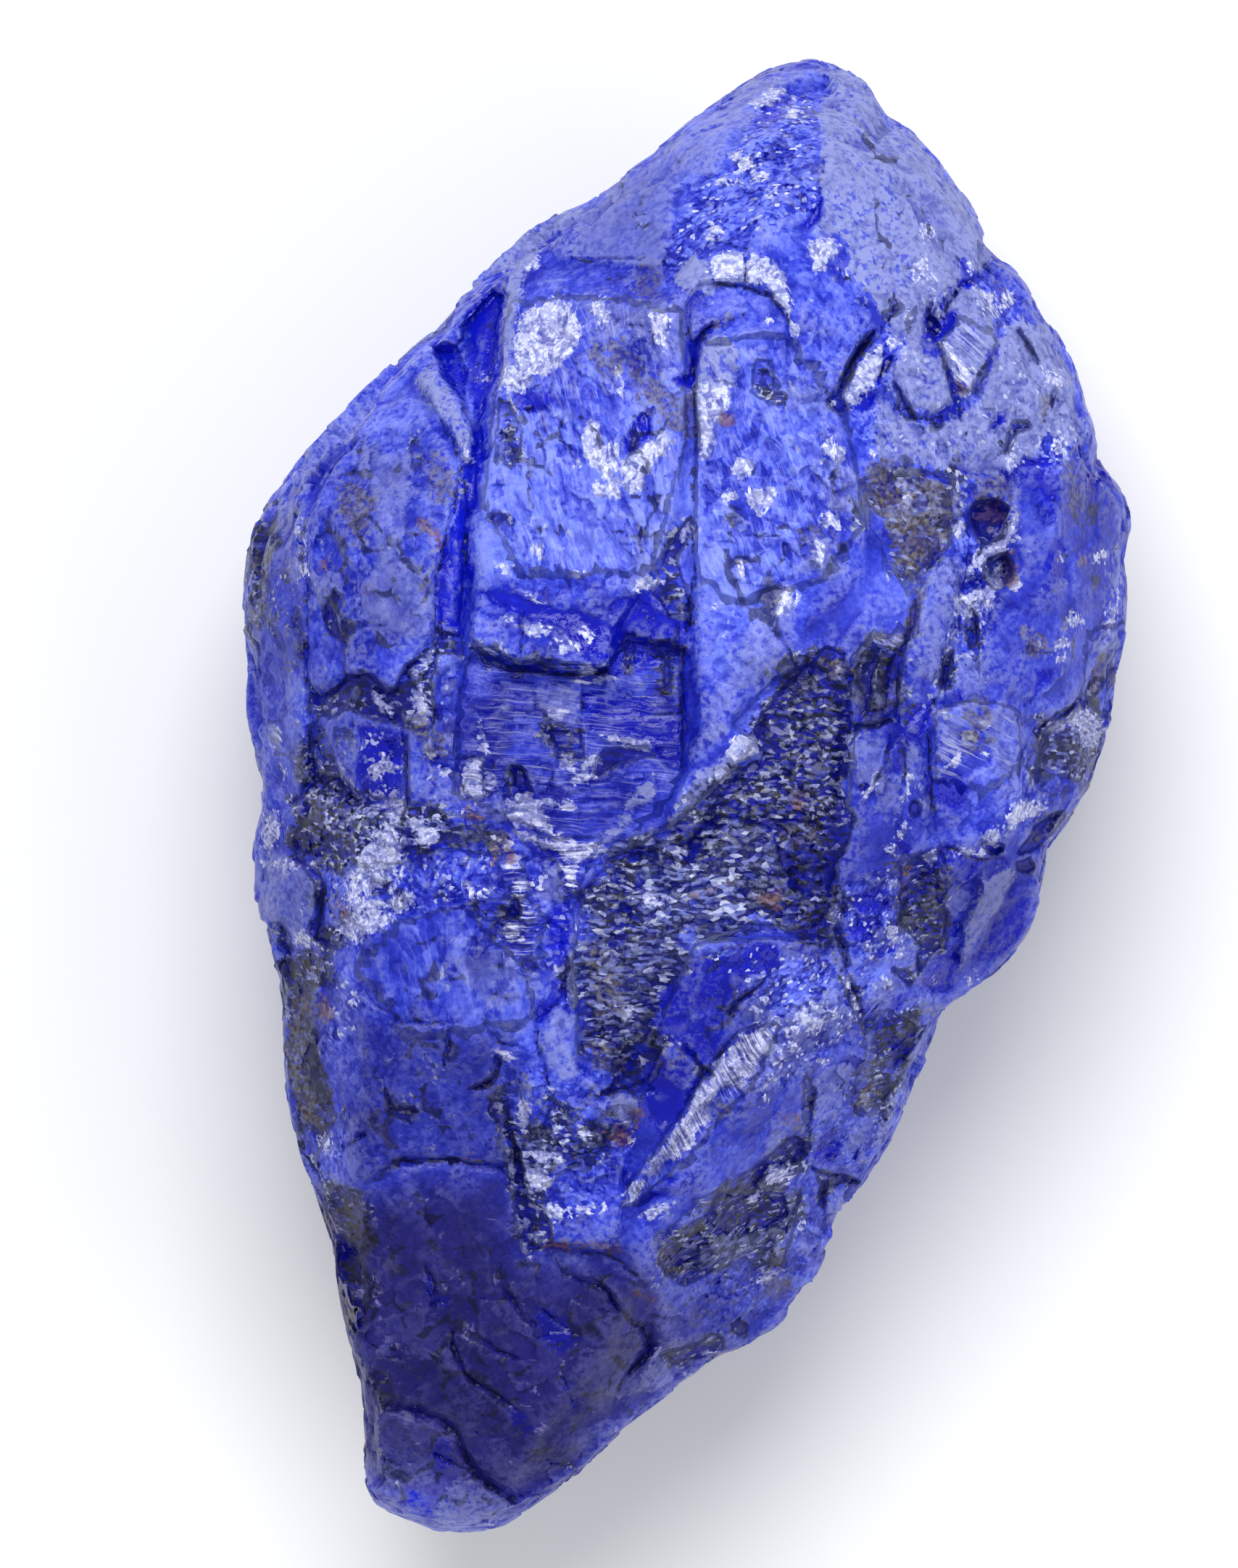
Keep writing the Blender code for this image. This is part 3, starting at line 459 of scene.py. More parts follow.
# Steps whose lower side lies right of the line as it runs on the photo:
# (drop, reach of the slope back up, width of the step, line).
LEDGES = [
    (1.00, 130, 12, path(646, 890, 690, 908, 712, 918, 760, 918, 800, 922, 850, 930)),
    (0.65, 80, 10, path(940, 450, 960, 402, 1000, 395, 1060, 410, 1082, 450, 1086, 510)),
    (0.60, 90, 12, path(735, 1740, 720, 1680, 713, 1600, 700, 1520, 690, 1450)),
    (0.70, 70, 12, path(1200, 470, 1160, 540, 1110, 600)),
    (0.60, 60, 10, path(1230, 860, 1200, 960, 1170, 1050, 1165, 1120)),
    (0.55, 60, 10, path(560, 1130, 480, 1100, 420, 1090, 390, 1130)),
]

# Open cracks with sloping sides: (depth, half width, line).
CRACKS = [
    (0.45, 12, path(946, 420, 950, 560, 944, 700, 948, 860, 954, 960, 956, 1075)),
    (0.90, 18, path(694, 440, 676, 540, 662, 640, 650, 760, 642, 880, 640, 960)),
    (0.60, 18, path(1330, 392, 1300, 430, 1284, 470)),
    (0.60, 18, path(1338, 560, 1270, 590, 1230, 560, 1195, 545)),
    (0.50, 14, path(505, 1925, 575, 1945, 625, 1965, 660, 2030, 690, 2052, 735, 2072)),
    (0.45, 14, path(720, 1722, 800, 1724, 860, 1770, 890, 1820, 898, 1860, 845, 1925)),
    (0.25, 12, path(490, 1636, 560, 1600, 640, 1600, 710, 1606)),
    (0.60, 18, path(1335, 700, 1330, 800, 1305, 900, 1300, 960)),
]

# Rounded dips, or lumps where the depth is negative:
# (u, v, half width, half height, turn in degrees, depth, edge power).
HOLLOWS = [
    (1358, 722, 30, 30, 0, 1.5, 0.5),
    (1372, 788, 22, 28, 20, 1.3, 0.5),
    (1262, 1235, 34, 70, 12, 0.7, 0.6),
    (402, 1238, 42, 62, 0, -0.9, 0.5),
    (480, 1220, 60, 90, 10, 0.5, 0.7),
    (1040, 1675, 60, 36, -25, 0.8, 0.6),
    (950, 1735, 40, 36, -20, 0.8, 0.6),
    (875, 1475, 44, 36, 0, 0.8, 0.6),
    (1094, 1585, 34, 24, 0, 0.6, 0.6),
    (490, 1760, 30, 90, -8, 0.6, 0.6),
    (1050, 240, 60, 110, 25, 0.5, 0.7),
    (860, 505, 44, 44, 0, 0.4, 0.7),
]

# Small facets of the front, by tone and lift: (tone, lift in millimetres, shapes). A shape
# is a path of corners on the photo or an ellipse: (u, v, half width, half height, turn).
FACETS = [
    # worn, frosty faces
    ("pale", 0.0, [path(1145, 92, 1165, 90, 1190, 106, 1202, 125, 1220, 165, 1224, 176, 1240, 174,
        1260, 185, 1292, 225, 1302, 245, 1335, 284, 1347, 310, 1366, 345, 1364, 358, 1350, 378,
        1330, 388, 1310, 400, 1290, 420, 1275, 440, 1262, 470, 1230, 470, 1215, 440, 1200, 410,
        1180, 395, 1172, 370, 1158, 345, 1125, 330, 1128, 300, 1125, 260, 1132, 235, 1130, 200,
        1125, 165, 1135, 140, 1143, 120), path(1198, 540, 1230, 560, 1262, 586, 1300, 592, 1336, 562,
        1360, 530, 1376, 470, 1400, 440, 1440, 450, 1478, 520, 1500, 600, 1470, 620, 1440, 600,
        1420, 655, 1340, 662, 1290, 650, 1210, 640, 1203, 590), path(1300, 412, 1322, 398, 1345, 402,
        1372, 440, 1368, 470, 1345, 460, 1325, 470, 1305, 455), (1534, 800, 8, 40, 4)]),
    ("pale", 0.1, [path(1030, 160, 1042, 158, 1038, 172, 1020, 182), path(1506, 895, 1520, 870,
        1536, 868, 1541, 890, 1528, 915, 1510, 918)]),
    ("pale", 0.12, [path(520, 1860, 534, 1842, 540, 1840, 556, 1854, 546, 1866, 526, 1874)]),
    ("pale", 0.15, [path(779, 289, 800, 290, 770, 318, 745, 345, 726, 380, 714, 420, 706, 460, 698, 500,
        684, 500, 690, 440, 697, 400, 700, 372, 668, 382, 640, 405, 606, 450, 596, 462, 640, 405,
        700, 350, 740, 313), path(700, 400, 725, 400, 716, 440, 710, 480, 700, 520, 690, 540, 688, 500,
        694, 450), path(1222, 500, 1240, 510, 1256, 532, 1266, 560, 1250, 566, 1235, 540, 1218, 520),
        path(1290, 476, 1330, 440, 1356, 430, 1372, 480, 1346, 526, 1336, 548, 1318, 537, 1300, 512),
        path(840, 1516, 862, 1508, 878, 1518, 880, 1540, 870, 1552, 846, 1550, 836, 1536),
        path(1228, 1484, 1242, 1472, 1250, 1484, 1240, 1506, 1234, 1534, 1222, 1562, 1208, 1580,
        1200, 1586, 1204, 1568, 1220, 1536, 1226, 1508)]),
    ("pale", 0.18, [path(890, 1080, 904, 1066, 909, 1100, 880, 1112, 852, 1150, 835, 1172, 818, 1182,
        830, 1155, 860, 1120)]),
    ("pale", 0.2, [path(572, 522, 590, 515, 606, 520, 625, 548, 645, 578, 658, 605, 655, 625, 650, 640,
        640, 630, 632, 610, 615, 585, 598, 565, 585, 545), path(1002, 1036, 1024, 1020, 1040, 1042,
        1016, 1056, 1010, 1072, 960, 1085, 953, 1064, 985, 1052), path(1245, 450, 1275, 455, 1286, 470,
        1301, 520, 1305, 562, 1290, 576, 1255, 562, 1240, 522, 1232, 505, 1246, 482), path(1280, 1414,
        1284, 1424, 1270, 1446, 1250, 1474, 1240, 1480, 1246, 1462, 1264, 1438)]),
    ("pale", 0.22, [path(970, 480, 985, 470, 1000, 470, 1015, 490, 1016, 540, 1000, 560, 985, 600,
        975, 642, 964, 622, 960, 560, 950, 545, 955, 522, 965, 500)]),
    ("pale", 0.25, [path(932, 390, 945, 372, 960, 362, 975, 372, 985, 395, 975, 415, 950, 415,
        930, 402), path(1414, 1070, 1420, 1068, 1426, 1080, 1440, 1100, 1430, 1102, 1418, 1092,
        1411, 1080), path(543, 1104, 559, 1104, 558, 1122, 546, 1122)]),
    ("pale", 0.3, [path(1374, 1202, 1390, 1196, 1396, 1206, 1392, 1224, 1376, 1248, 1362, 1272,
        1346, 1296, 1334, 1322, 1324, 1336, 1320, 1322, 1328, 1300, 1326, 1280, 1340, 1262, 1350, 1240,
        1356, 1214), path(508, 1186, 524, 1160, 536, 1150, 544, 1158, 550, 1180, 546, 1196, 534, 1202,
        514, 1200)]),
    # faces with a little frost
    ("haze", -0.05, [path(528, 1822, 560, 1806, 592, 1800, 594, 1816, 612, 1828, 604, 1856, 584, 1866,
        560, 1850, 545, 1838)]),
    ("haze", 0.0, [path(392, 668, 440, 608, 500, 558, 524, 570, 505, 600, 470, 620, 440, 660, 418, 684),
        path(660, 1300, 700, 1310, 716, 1340, 714, 1380, 690, 1392, 664, 1380, 652, 1340),
        path(1122, 1470, 1150, 1466, 1168, 1484, 1160, 1530, 1140, 1560, 1120, 1550, 1112, 1510),
        path(604, 1084, 636, 1092, 660, 1104, 690, 1110, 696, 1130, 660, 1134, 630, 1116, 604, 1106),
        SMOOTH_FACE]),
    ("haze", 0.05, [path(765, 410, 850, 415, 900, 420, 950, 440, 955, 480, 925, 520, 880, 470, 820, 470,
        800, 440), path(1190, 890, 1225, 892, 1230, 912, 1200, 920, 1178, 912), path(1420, 1022,
        1450, 1016, 1490, 1030, 1496, 1050, 1470, 1072, 1436, 1070, 1416, 1050), path(1360, 985,
        1395, 975, 1412, 1000, 1404, 1050, 1386, 1078, 1360, 1070, 1352, 1040, 1368, 1016),
        path(748, 1178, 770, 1180, 776, 1210, 790, 1232, 776, 1250, 752, 1254, 744, 1236, 752, 1210),
        path(1062, 1640, 1080, 1632, 1086, 1650, 1070, 1664, 1060, 1656), path(1206, 1312, 1240, 1296,
        1262, 1300, 1272, 1318, 1258, 1336, 1232, 1330, 1210, 1334), path(1188, 1464, 1204, 1454,
        1222, 1462, 1222, 1486, 1200, 1490, 1186, 1480), path(1172, 1540, 1210, 1530, 1204, 1562,
        1184, 1590, 1164, 1580), path(1052, 1548, 1076, 1544, 1084, 1560, 1076, 1580, 1058, 1592,
        1046, 1576), path(1108, 1706, 1130, 1700, 1136, 1720, 1122, 1744, 1104, 1740, 1100, 1722),
        path(496, 1540, 504, 1536, 498, 1562, 484, 1560, 478, 1548)]),
    ("haze", 0.06, [path(978, 1020, 1010, 985, 1065, 930, 1078, 860, 1085, 830, 1066, 820, 1040, 860,
        1000, 905, 975, 960), path(1120, 640, 1150, 638, 1182, 660, 1197, 702, 1182, 722, 1152, 704,
        1136, 670), path(680, 1990, 720, 2010, 736, 2020, 720, 2036, 690, 2034, 676, 2012)]),
    ("haze", 0.08, [path(430, 790, 470, 780, 475, 815, 450, 840, 428, 850), path(500, 800, 560, 780,
        600, 790, 604, 850, 570, 890, 520, 870, 500, 840), path(735, 945, 790, 948, 800, 975, 792, 1000,
        745, 1002, 738, 980), path(1204, 1342, 1222, 1336, 1246, 1352, 1252, 1372, 1236, 1388,
        1210, 1392, 1190, 1386, 1188, 1366), path(1140, 1650, 1150, 1644, 1166, 1650, 1164, 1672,
        1150, 1686, 1138, 1680), path(820, 1822, 850, 1808, 872, 1822, 886, 1846, 870, 1860, 836, 1850),
        path(850, 1914, 880, 1888, 900, 1876, 920, 1890, 900, 1912, 870, 1926, 848, 1944)]),
    ("haze", 0.1, [path(383, 700, 400, 690, 418, 700, 413, 740, 418, 785, 405, 806, 395, 800, 385, 760),
        path(895, 700, 915, 690, 932, 694, 926, 720, 913, 760, 905, 790, 885, 800, 868, 812, 880, 780,
        890, 740), path(1300, 985, 1328, 974, 1336, 1000, 1322, 1030, 1300, 1062, 1288, 1040,
        1285, 1000), (736, 1348, 8, 10, 0), path(752, 1410, 768, 1396, 786, 1406, 800, 1440, 796, 1470,
        780, 1490, 766, 1470, 756, 1440), path(1010, 1390, 1040, 1368, 1052, 1382, 1060, 1400,
        1040, 1412, 1010, 1420, 1000, 1408), path(1322, 1224, 1340, 1232, 1338, 1250, 1322, 1262,
        1306, 1256, 1302, 1244), path(1440, 1112, 1446, 1116, 1430, 1140, 1412, 1156, 1400, 1164,
        1412, 1146), path(1148, 1284, 1154, 1290, 1158, 1320, 1152, 1332, 1142, 1316, 1144, 1296),
        path(1246, 1384, 1268, 1376, 1284, 1390, 1276, 1406, 1256, 1400), path(508, 1930, 540, 1944,
        570, 1944, 600, 1956, 616, 1978, 600, 1998, 596, 2028, 560, 2034, 520, 2030, 506, 2010,
        506, 1970), path(640, 2040, 664, 2044, 690, 2068, 716, 2080, 700, 2100, 660, 2106, 620, 2106,
        602, 2084, 616, 2056), path(1050, 1404, 1076, 1396, 1100, 1384, 1130, 1372, 1160, 1386,
        1176, 1404, 1160, 1432, 1130, 1446, 1110, 1474, 1080, 1488, 1050, 1494, 1030, 1496, 1044, 1460,
        1060, 1430)]),
    ("haze", 0.12, [path(500, 650, 508, 625, 530, 616, 560, 622, 578, 640, 560, 700, 548, 770, 530, 790,
        520, 720, 518, 680), path(1119, 750, 1130, 744, 1141, 760, 1147, 780, 1162, 790, 1140, 802,
        1115, 796, 1103, 781, 1118, 770), path(1304, 945, 1330, 905, 1346, 914, 1346, 958, 1322, 968,
        1300, 970), path(800, 1862, 840, 1856, 880, 1858, 884, 1872, 858, 1900, 846, 1922, 836, 1946,
        820, 1944, 806, 1920, 796, 1890), path(788, 1976, 820, 1966, 840, 1950, 836, 1970, 818, 1992,
        802, 2000, 792, 1990), path(892, 1862, 906, 1856, 950, 1838, 970, 1836, 950, 1850, 920, 1862)]),
    ("haze", 0.15, [path(1078, 543, 1096, 534, 1130, 549, 1150, 573, 1156, 590, 1140, 578, 1110, 562),
        (1209, 965, 11, 8, 0), path(1185, 1005, 1216, 1008, 1226, 1040, 1225, 1062, 1215, 1092,
        1195, 1096, 1172, 1062, 1165, 1040), path(1210, 1070, 1240, 1064, 1246, 1100, 1230, 1132,
        1205, 1112, 1199, 1090), path(1278, 800, 1300, 776, 1318, 790, 1313, 850, 1298, 900, 1292, 940,
        1262, 930, 1258, 880, 1266, 832)]),
    ("haze", 0.2, [path(1239, 1030, 1262, 1024, 1271, 1060, 1262, 1082, 1245, 1086, 1237, 1060),
        path(1270, 1100, 1283, 1100, 1280, 1131, 1268, 1136)]),
    ("haze", 0.25, [path(362, 1186, 384, 1178, 410, 1200, 432, 1212, 440, 1236, 438, 1262, 428, 1282,
        410, 1288, 394, 1272, 378, 1262, 364, 1240, 356, 1210)]),
    # crushed white, and a painted sheen: faces painted white where they would catch the light
    ("white_and_sheen", 0.0, [path(500, 1180, 515, 1148, 542, 1138, 560, 1158, 556, 1192, 538, 1218, 515, 1244,
        492, 1236, 488, 1205), path(538, 1108, 562, 1098, 568, 1130, 558, 1148, 542, 1142),
        path(370, 1125, 388, 1116, 386, 1150, 374, 1178, 366, 1160), path(408, 1284, 434, 1276,
        438, 1296, 424, 1304, 410, 1298), path(638, 1048, 670, 1043, 666, 1097, 638, 1100),
        path(703, 1112, 735, 1098, 754, 1103, 764, 1140, 740, 1150, 714, 1142, 702, 1128)]),
    ("white_and_sheen", 0.05, [(744, 766, 11, 9, 0), (691, 786, 6, 6, 0), (950, 740, 7, 12, 35),
        (802, 793, 7, 3, 0), (796, 648, 6, 6, 0), (1019, 782, 4, 7, 0), (988, 840, 6, 4, 0),
        (1250, 690, 11, 7, -25), (1239, 705, 5, 4, 0), (1232, 670, 6, 4, 0), (1203, 628, 6, 5, 0),
        path(1035, 680, 1060, 677, 1063, 695, 1046, 716, 1030, 711), (1212, 878, 14, 6, 10),
        (1458, 622, 8, 14, 10), (1462, 770, 5, 3, 0), (1514, 769, 6, 4, -30), (1458, 908, 6, 4, 0),
        (691, 1423, 5, 3, 0), (684, 1398, 7, 4, 20), (1345, 1344, 5, 4, 0), (1333, 1353, 4, 4, 0),
        path(464, 1270, 490, 1264, 530, 1262, 556, 1266, 540, 1278, 516, 1282, 504, 1298, 486, 1296,
        470, 1284), (392, 1196, 20, 7, 15), (415, 1252, 4, 4, 0), (738, 1915, 4, 4, 0),
        (746, 1748, 2, 2, 0), (686, 1760, 2, 2, 0), (646, 1825, 4, 6, 20), (702, 2020, 4, 4, 0),
        (985, 1863, 5, 2, -20), (952, 1888, 4, 2, -20)]),
    ("white_and_sheen", 0.06, [(1354, 842, 5, 22, 14), (1308, 895, 3, 14, 20), (1465, 888, 6, 4, 0),
        (1479, 858, 12, 10, 0)]),
    ("white_and_sheen", 0.08, [path(820, 671, 850, 668, 882, 660, 885, 681, 850, 690, 820, 685), path(757, 1165,
        830, 1159, 842, 1170, 820, 1180, 802, 1196, 780, 1192, 772, 1178), path(900, 1072, 905, 1066,
        909, 1098, 899, 1098), (1026, 648, 12, 10, 0), (1263, 372, 7, 9, 0), (1276, 327, 12, 9, 0),
        (1388, 418, 8, 14, 0), path(1316, 826, 1346, 818, 1352, 832, 1330, 842, 1316, 850),
        (1428, 893, 6, 6, 0), (800, 1666, 20, 4, -10), (1104, 1690, 7, 9, 0), (1068, 1756, 12, 6, 0),
        (442, 1060, 6, 8, 0), (516, 1074, 9, 2, 0), (452, 1572, 10, 14, 20), (456, 1644, 4, 5, 0)]),
    ("white_and_sheen", 0.1, [(1003, 259, 8, 4, 0), (639, 658, 3, 17, 4), (728, 828, 12, 5, 10),
        (740, 873, 15, 7, 8), (703, 857, 7, 3, 0), path(956, 542, 985, 535, 1008, 548, 1008, 562,
        986, 598, 976, 636, 966, 636, 964, 590), path(846, 508, 862, 500, 864, 540, 858, 560, 850, 540),
        (726, 872, 10, 6, 25), (752, 874, 8, 4, 0), (805, 876, 5, 4, 0), (776, 898, 8, 4, 0),
        (716, 907, 4, 5, 0), (797, 892, 5, 5, 0), (816, 880, 5, 3, 0), (766, 986, 13, 6, 8),
        path(1130, 619, 1160, 622, 1159, 641, 1133, 643), (1139, 612, 9, 4, 0), (1006, 686, 6, 5, 0),
        path(1325, 825, 1350, 820, 1345, 850, 1324, 861, 1316, 851), (1354, 1003, 9, 8, -30),
        (1333, 1018, 9, 7, 0), (1334, 375, 6, 7, 0), (1274, 388, 5, 5, 0), path(1345, 402, 1360, 406,
        1382, 428, 1372, 440, 1358, 422), path(1430, 500, 1440, 512, 1446, 520, 1440, 522, 1430, 512),
        (1452, 528, 14, 9, 25), path(1392, 612, 1400, 608, 1402, 640, 1392, 656, 1384, 640),
        (1532, 838, 3, 12, 25), (1352, 1047, 5, 5, 0), path(722, 1272, 750, 1274, 752, 1278, 722, 1278),
        (854, 1395, 20, 10, 20), (896, 1246, 18, 10, 15), (842, 1228, 5, 10, 0), (950, 1196, 8, 5, 0),
        (930, 1436, 7, 4, 20), (1056, 1514, 4, 7, -10), path(798, 1550, 812, 1552, 818, 1570, 810, 1580,
        796, 1570), (750, 1592, 18, 5, 0), path(728, 1608, 752, 1604, 764, 1622, 758, 1640, 738, 1642,
        728, 1628), path(740, 1660, 770, 1656, 782, 1672, 778, 1682, 756, 1674, 742, 1668),
        path(936, 1702, 952, 1712, 962, 1718, 950, 1716, 938, 1710), (1062, 1760, 12, 10, 0),
        (1282, 1182, 8, 8, 0), (1128, 1234, 8, 5, 0), (1166, 1352, 5, 8, 0), (1176, 1378, 7, 8, 20),
        (1076, 1618, 16, 10, 10), (394, 1066, 3, 7, -20), (476, 1062, 8, 6, 30), path(530, 1040,
        536, 1044, 542, 1058, 538, 1058), (530, 1096, 8, 2, -10), path(534, 1092, 538, 1104, 542, 1114,
        536, 1112, 532, 1100), (528, 1116, 8, 2, 0), path(606, 1066, 622, 1060, 624, 1064, 610, 1070),
        path(664, 996, 670, 1000, 676, 1030, 672, 1034, 666, 1014), path(640, 1090, 664, 1092,
        676, 1098, 650, 1100, 640, 1094), (642, 1126, 9, 4, -10), (622, 1130, 8, 3, 0), path(710, 1146,
        730, 1150, 760, 1156, 760, 1162, 724, 1158), (432, 1094, 5, 5, 0), (458, 1108, 6, 6, 0),
        (456, 1132, 5, 5, 0), (408, 1150, 7, 8, 0), (434, 1190, 6, 6, 0), (484, 1419, 5, 2, 20),
        (480, 1662, 4, 3, 0), (476, 1690, 7, 3, -20), (747, 1965, 4, 3, 0)]),
    ("white_and_sheen", 0.12, [path(722, 440, 745, 425, 765, 420, 800, 440, 801, 470, 790, 495, 770, 520,
        740, 530, 735, 545, 712, 546, 700, 560, 690, 540, 695, 515, 706, 510, 712, 490, 716, 465),
        path(812, 590, 823, 590, 821, 636, 806, 636, 801, 620, 808, 600), path(822, 620, 853, 614,
        851, 650, 838, 666, 822, 652, 809, 643), path(790, 1073, 816, 1072, 812, 1079, 794, 1079),
        path(1289, 478, 1300, 474, 1322, 500, 1342, 520, 1346, 532, 1330, 546, 1310, 532, 1297, 502),
        path(1134, 711, 1145, 715, 1156, 736, 1140, 731, 1129, 725), (1124, 772, 6, 16, 0),
        path(1064, 820, 1085, 814, 1097, 830, 1080, 846, 1060, 852), (1249, 443, 6, 6, 0),
        (830, 1432, 8, 10, 0), (866, 1550, 5, 6, 0), path(894, 1670, 906, 1660, 924, 1656, 920, 1666,
        900, 1678, 890, 1676), path(568, 1130, 584, 1132, 606, 1150, 600, 1166, 586, 1168, 572, 1156),
        (700, 1168, 7, 6, 20), (630, 1221, 6, 3, -20), (668, 1232, 9, 3, 0), (494, 1780, 5, 4, 0),
        (516, 1794, 6, 4, 0)]),
    ("white_and_sheen", 0.15, [path(748, 348, 744, 375, 733, 378, 722, 372, 736, 360), path(816, 422, 836, 422,
        842, 440, 832, 456, 824, 440), path(893, 432, 915, 436, 925, 450, 918, 462, 930, 500, 905, 490,
        897, 460), path(1083, 168, 1090, 155, 1100, 157, 1108, 170, 1096, 166), path(1003, 222,
        1018, 218, 1030, 225, 1038, 240, 1020, 240, 1008, 232), (1046, 252, 11, 9, 0), path(1048, 275,
        1062, 272, 1076, 275, 1068, 286, 1055, 282), (1268, 372, 6, 10, 0), (1278, 386, 8, 5, 30),
        (645, 637, 8, 6, 0), (419, 751, 6, 17, 0), (424, 787, 6, 8, -20), (583, 975, 8, 20, -15),
        (905, 545, 5, 10, 0), path(880, 796, 926, 795, 916, 811, 890, 823, 867, 819, 875, 805),
        (806, 940, 15, 2, 0), path(663, 995, 668, 995, 672, 1015, 676, 1040, 671, 1045, 668, 1020),
        path(800, 1051, 826, 1044, 831, 1059, 804, 1060), path(775, 1051, 800, 1051, 798, 1059,
        776, 1058), path(770, 1100, 792, 1102, 793, 1113, 772, 1114), path(672, 1064, 683, 1063,
        686, 1084, 668, 1085), (952, 1198, 9, 5, -30), (1232, 481, 9, 7, 0), (1326, 545, 6, 8, 30),
        (1155, 930, 8, 13, 20), (1270, 1085, 4, 8, 15), (1225, 1170, 8, 9, 0), (1287, 424, 6, 14, -12),
        path(1366, 776, 1378, 778, 1378, 812, 1366, 816, 1358, 808), (1334, 904, 6, 6, 0),
        (1296, 988, 7, 6, 0), path(1290, 1062, 1308, 1052, 1320, 1044, 1312, 1056, 1296, 1070),
        path(776, 1196, 800, 1196, 796, 1206, 792, 1228, 780, 1226, 776, 1208), path(724, 1216,
        742, 1220, 742, 1224, 724, 1221), (662, 1231, 9, 4, 0), path(728, 1250, 742, 1252, 742, 1262,
        730, 1260), (700, 1454, 8, 5, 20), (928, 1170, 12, 7, 20), (870, 1574, 4, 9, -20),
        (766, 1540, 5, 6, 0), (770, 1552, 4, 6, 0), (784, 1574, 5, 7, 20), (714, 1570, 4, 12, 0),
        path(1026, 1664, 1038, 1652, 1048, 1642, 1042, 1656, 1030, 1668), (1325, 1173, 7, 4, 0),
        (1351, 1175, 5, 5, 0), path(1218, 1216, 1232, 1214, 1240, 1224, 1224, 1226),
        (1212, 1235, 7, 5, 0), (1228, 1286, 9, 10, 0), (1236, 1316, 5, 3, -20), (1254, 1290, 4, 3, 0),
        (1261, 1345, 6, 5, 0), (1192, 1514, 6, 5, 0), path(374, 1004, 380, 999, 388, 1002, 392, 1020,
        397, 1034, 390, 1040, 382, 1030, 376, 1016), path(506, 1018, 530, 1014, 556, 1012, 556, 1015,
        530, 1018, 508, 1022), path(512, 1060, 536, 1056, 562, 1054, 562, 1058, 538, 1060, 514, 1062),
        (594, 1028, 6, 5, 0), path(638, 1052, 662, 1048, 668, 1062, 664, 1082, 638, 1082, 640, 1066),
        (674, 1188, 4, 4, 0), path(372, 1152, 380, 1130, 388, 1124, 386, 1142, 376, 1166, 370, 1172),
        (372, 1121, 4, 3, 20), path(476, 1136, 492, 1122, 494, 1126, 478, 1140), path(484, 1232,
        510, 1236, 540, 1242, 540, 1258, 516, 1262, 496, 1266, 486, 1252), path(440, 1302, 452, 1304,
        450, 1314, 438, 1308), (446, 1332, 7, 3, 0), (434, 1346, 5, 4, 0), path(468, 1360, 484, 1354,
        484, 1358, 470, 1364), (464, 1396, 7, 5, 20), path(464, 1420, 476, 1424, 476, 1428, 462, 1426),
        (905, 1865, 6, 3, -30), (1130, 1461, 6, 4, 0), (1094, 1444, 6, 6, 0)]),
    ("white_and_sheen", 0.2, [path(982, 320, 991, 318, 994, 338, 984, 342, 978, 334), (1092, 463, 5, 5, 0),
        (1060, 450, 5, 6, 0), (447, 980, 12, 5, -25), path(862, 640, 890, 622, 910, 600, 923, 597,
        925, 612, 905, 636, 880, 666, 860, 666, 854, 652), (808, 926, 6, 5, 0), path(832, 1018,
        896, 1023, 895, 1029, 850, 1026, 833, 1024), path(703, 1129, 724, 1108, 745, 1099, 762, 1097,
        766, 1110, 757, 1114, 763, 1130, 765, 1150, 744, 1149, 729, 1136, 715, 1130), path(1309, 746,
        1317, 722, 1329, 721, 1322, 746), (1341, 797, 7, 5, 0), (1392, 810, 6, 9, 10),
        (1332, 838, 4, 8, 10), (1294, 1063, 6, 5, 0), (1241, 1145, 4, 9, 25), path(1430, 1008,
        1448, 996, 1470, 982, 1486, 975, 1510, 988, 1518, 1010, 1508, 1034, 1490, 1030, 1494, 1010,
        1470, 1000, 1450, 1010), (1482, 1072, 9, 5, -10), path(1384, 1130, 1396, 1112, 1420, 1098,
        1440, 1108, 1430, 1124, 1410, 1134, 1392, 1142), path(742, 1160, 768, 1155, 820, 1162,
        826, 1172, 812, 1186, 798, 1192, 782, 1180, 762, 1172, 748, 1170), path(702, 1196, 714, 1186,
        724, 1190, 722, 1198, 704, 1202), path(704, 1214, 722, 1212, 722, 1232, 716, 1236, 710, 1226),
        path(700, 1272, 716, 1270, 720, 1280, 722, 1296, 694, 1294, 696, 1284), (722, 1688, 5, 6, 0),
        path(722, 1712, 730, 1718, 732, 1728, 726, 1724), path(704, 1530, 716, 1520, 730, 1512,
        732, 1536, 722, 1556, 716, 1552), path(1222, 1164, 1230, 1166, 1232, 1178, 1222, 1180,
        1218, 1172), (391, 1046, 4, 3, 0), path(560, 1100, 566, 1102, 564, 1116, 558, 1118),
        path(704, 1126, 716, 1112, 738, 1104, 752, 1104, 760, 1124, 756, 1148, 744, 1148, 728, 1136,
        716, 1130), path(520, 1182, 530, 1174, 532, 1178, 524, 1186), path(516, 1206, 536, 1196,
        548, 1206, 540, 1216, 528, 1214), path(546, 1236, 560, 1222, 576, 1230, 572, 1252, 556, 1262,
        542, 1254), (488, 1382, 5, 4, 0), (678, 2102, 4, 3, 0), (1068, 1464, 10, 6, -20),
        (1062, 1486, 9, 4, 0), (1090, 1424, 8, 7, 0), (1146, 1400, 8, 5, 0)]),
    ("white_and_sheen", 0.25, [path(1112, 342, 1128, 337, 1140, 342, 1150, 338, 1158, 352, 1146, 360, 1130, 378,
        1118, 382, 1112, 362), path(1077, 120, 1085, 132, 1070, 140, 1060, 148, 1052, 158, 1040, 155,
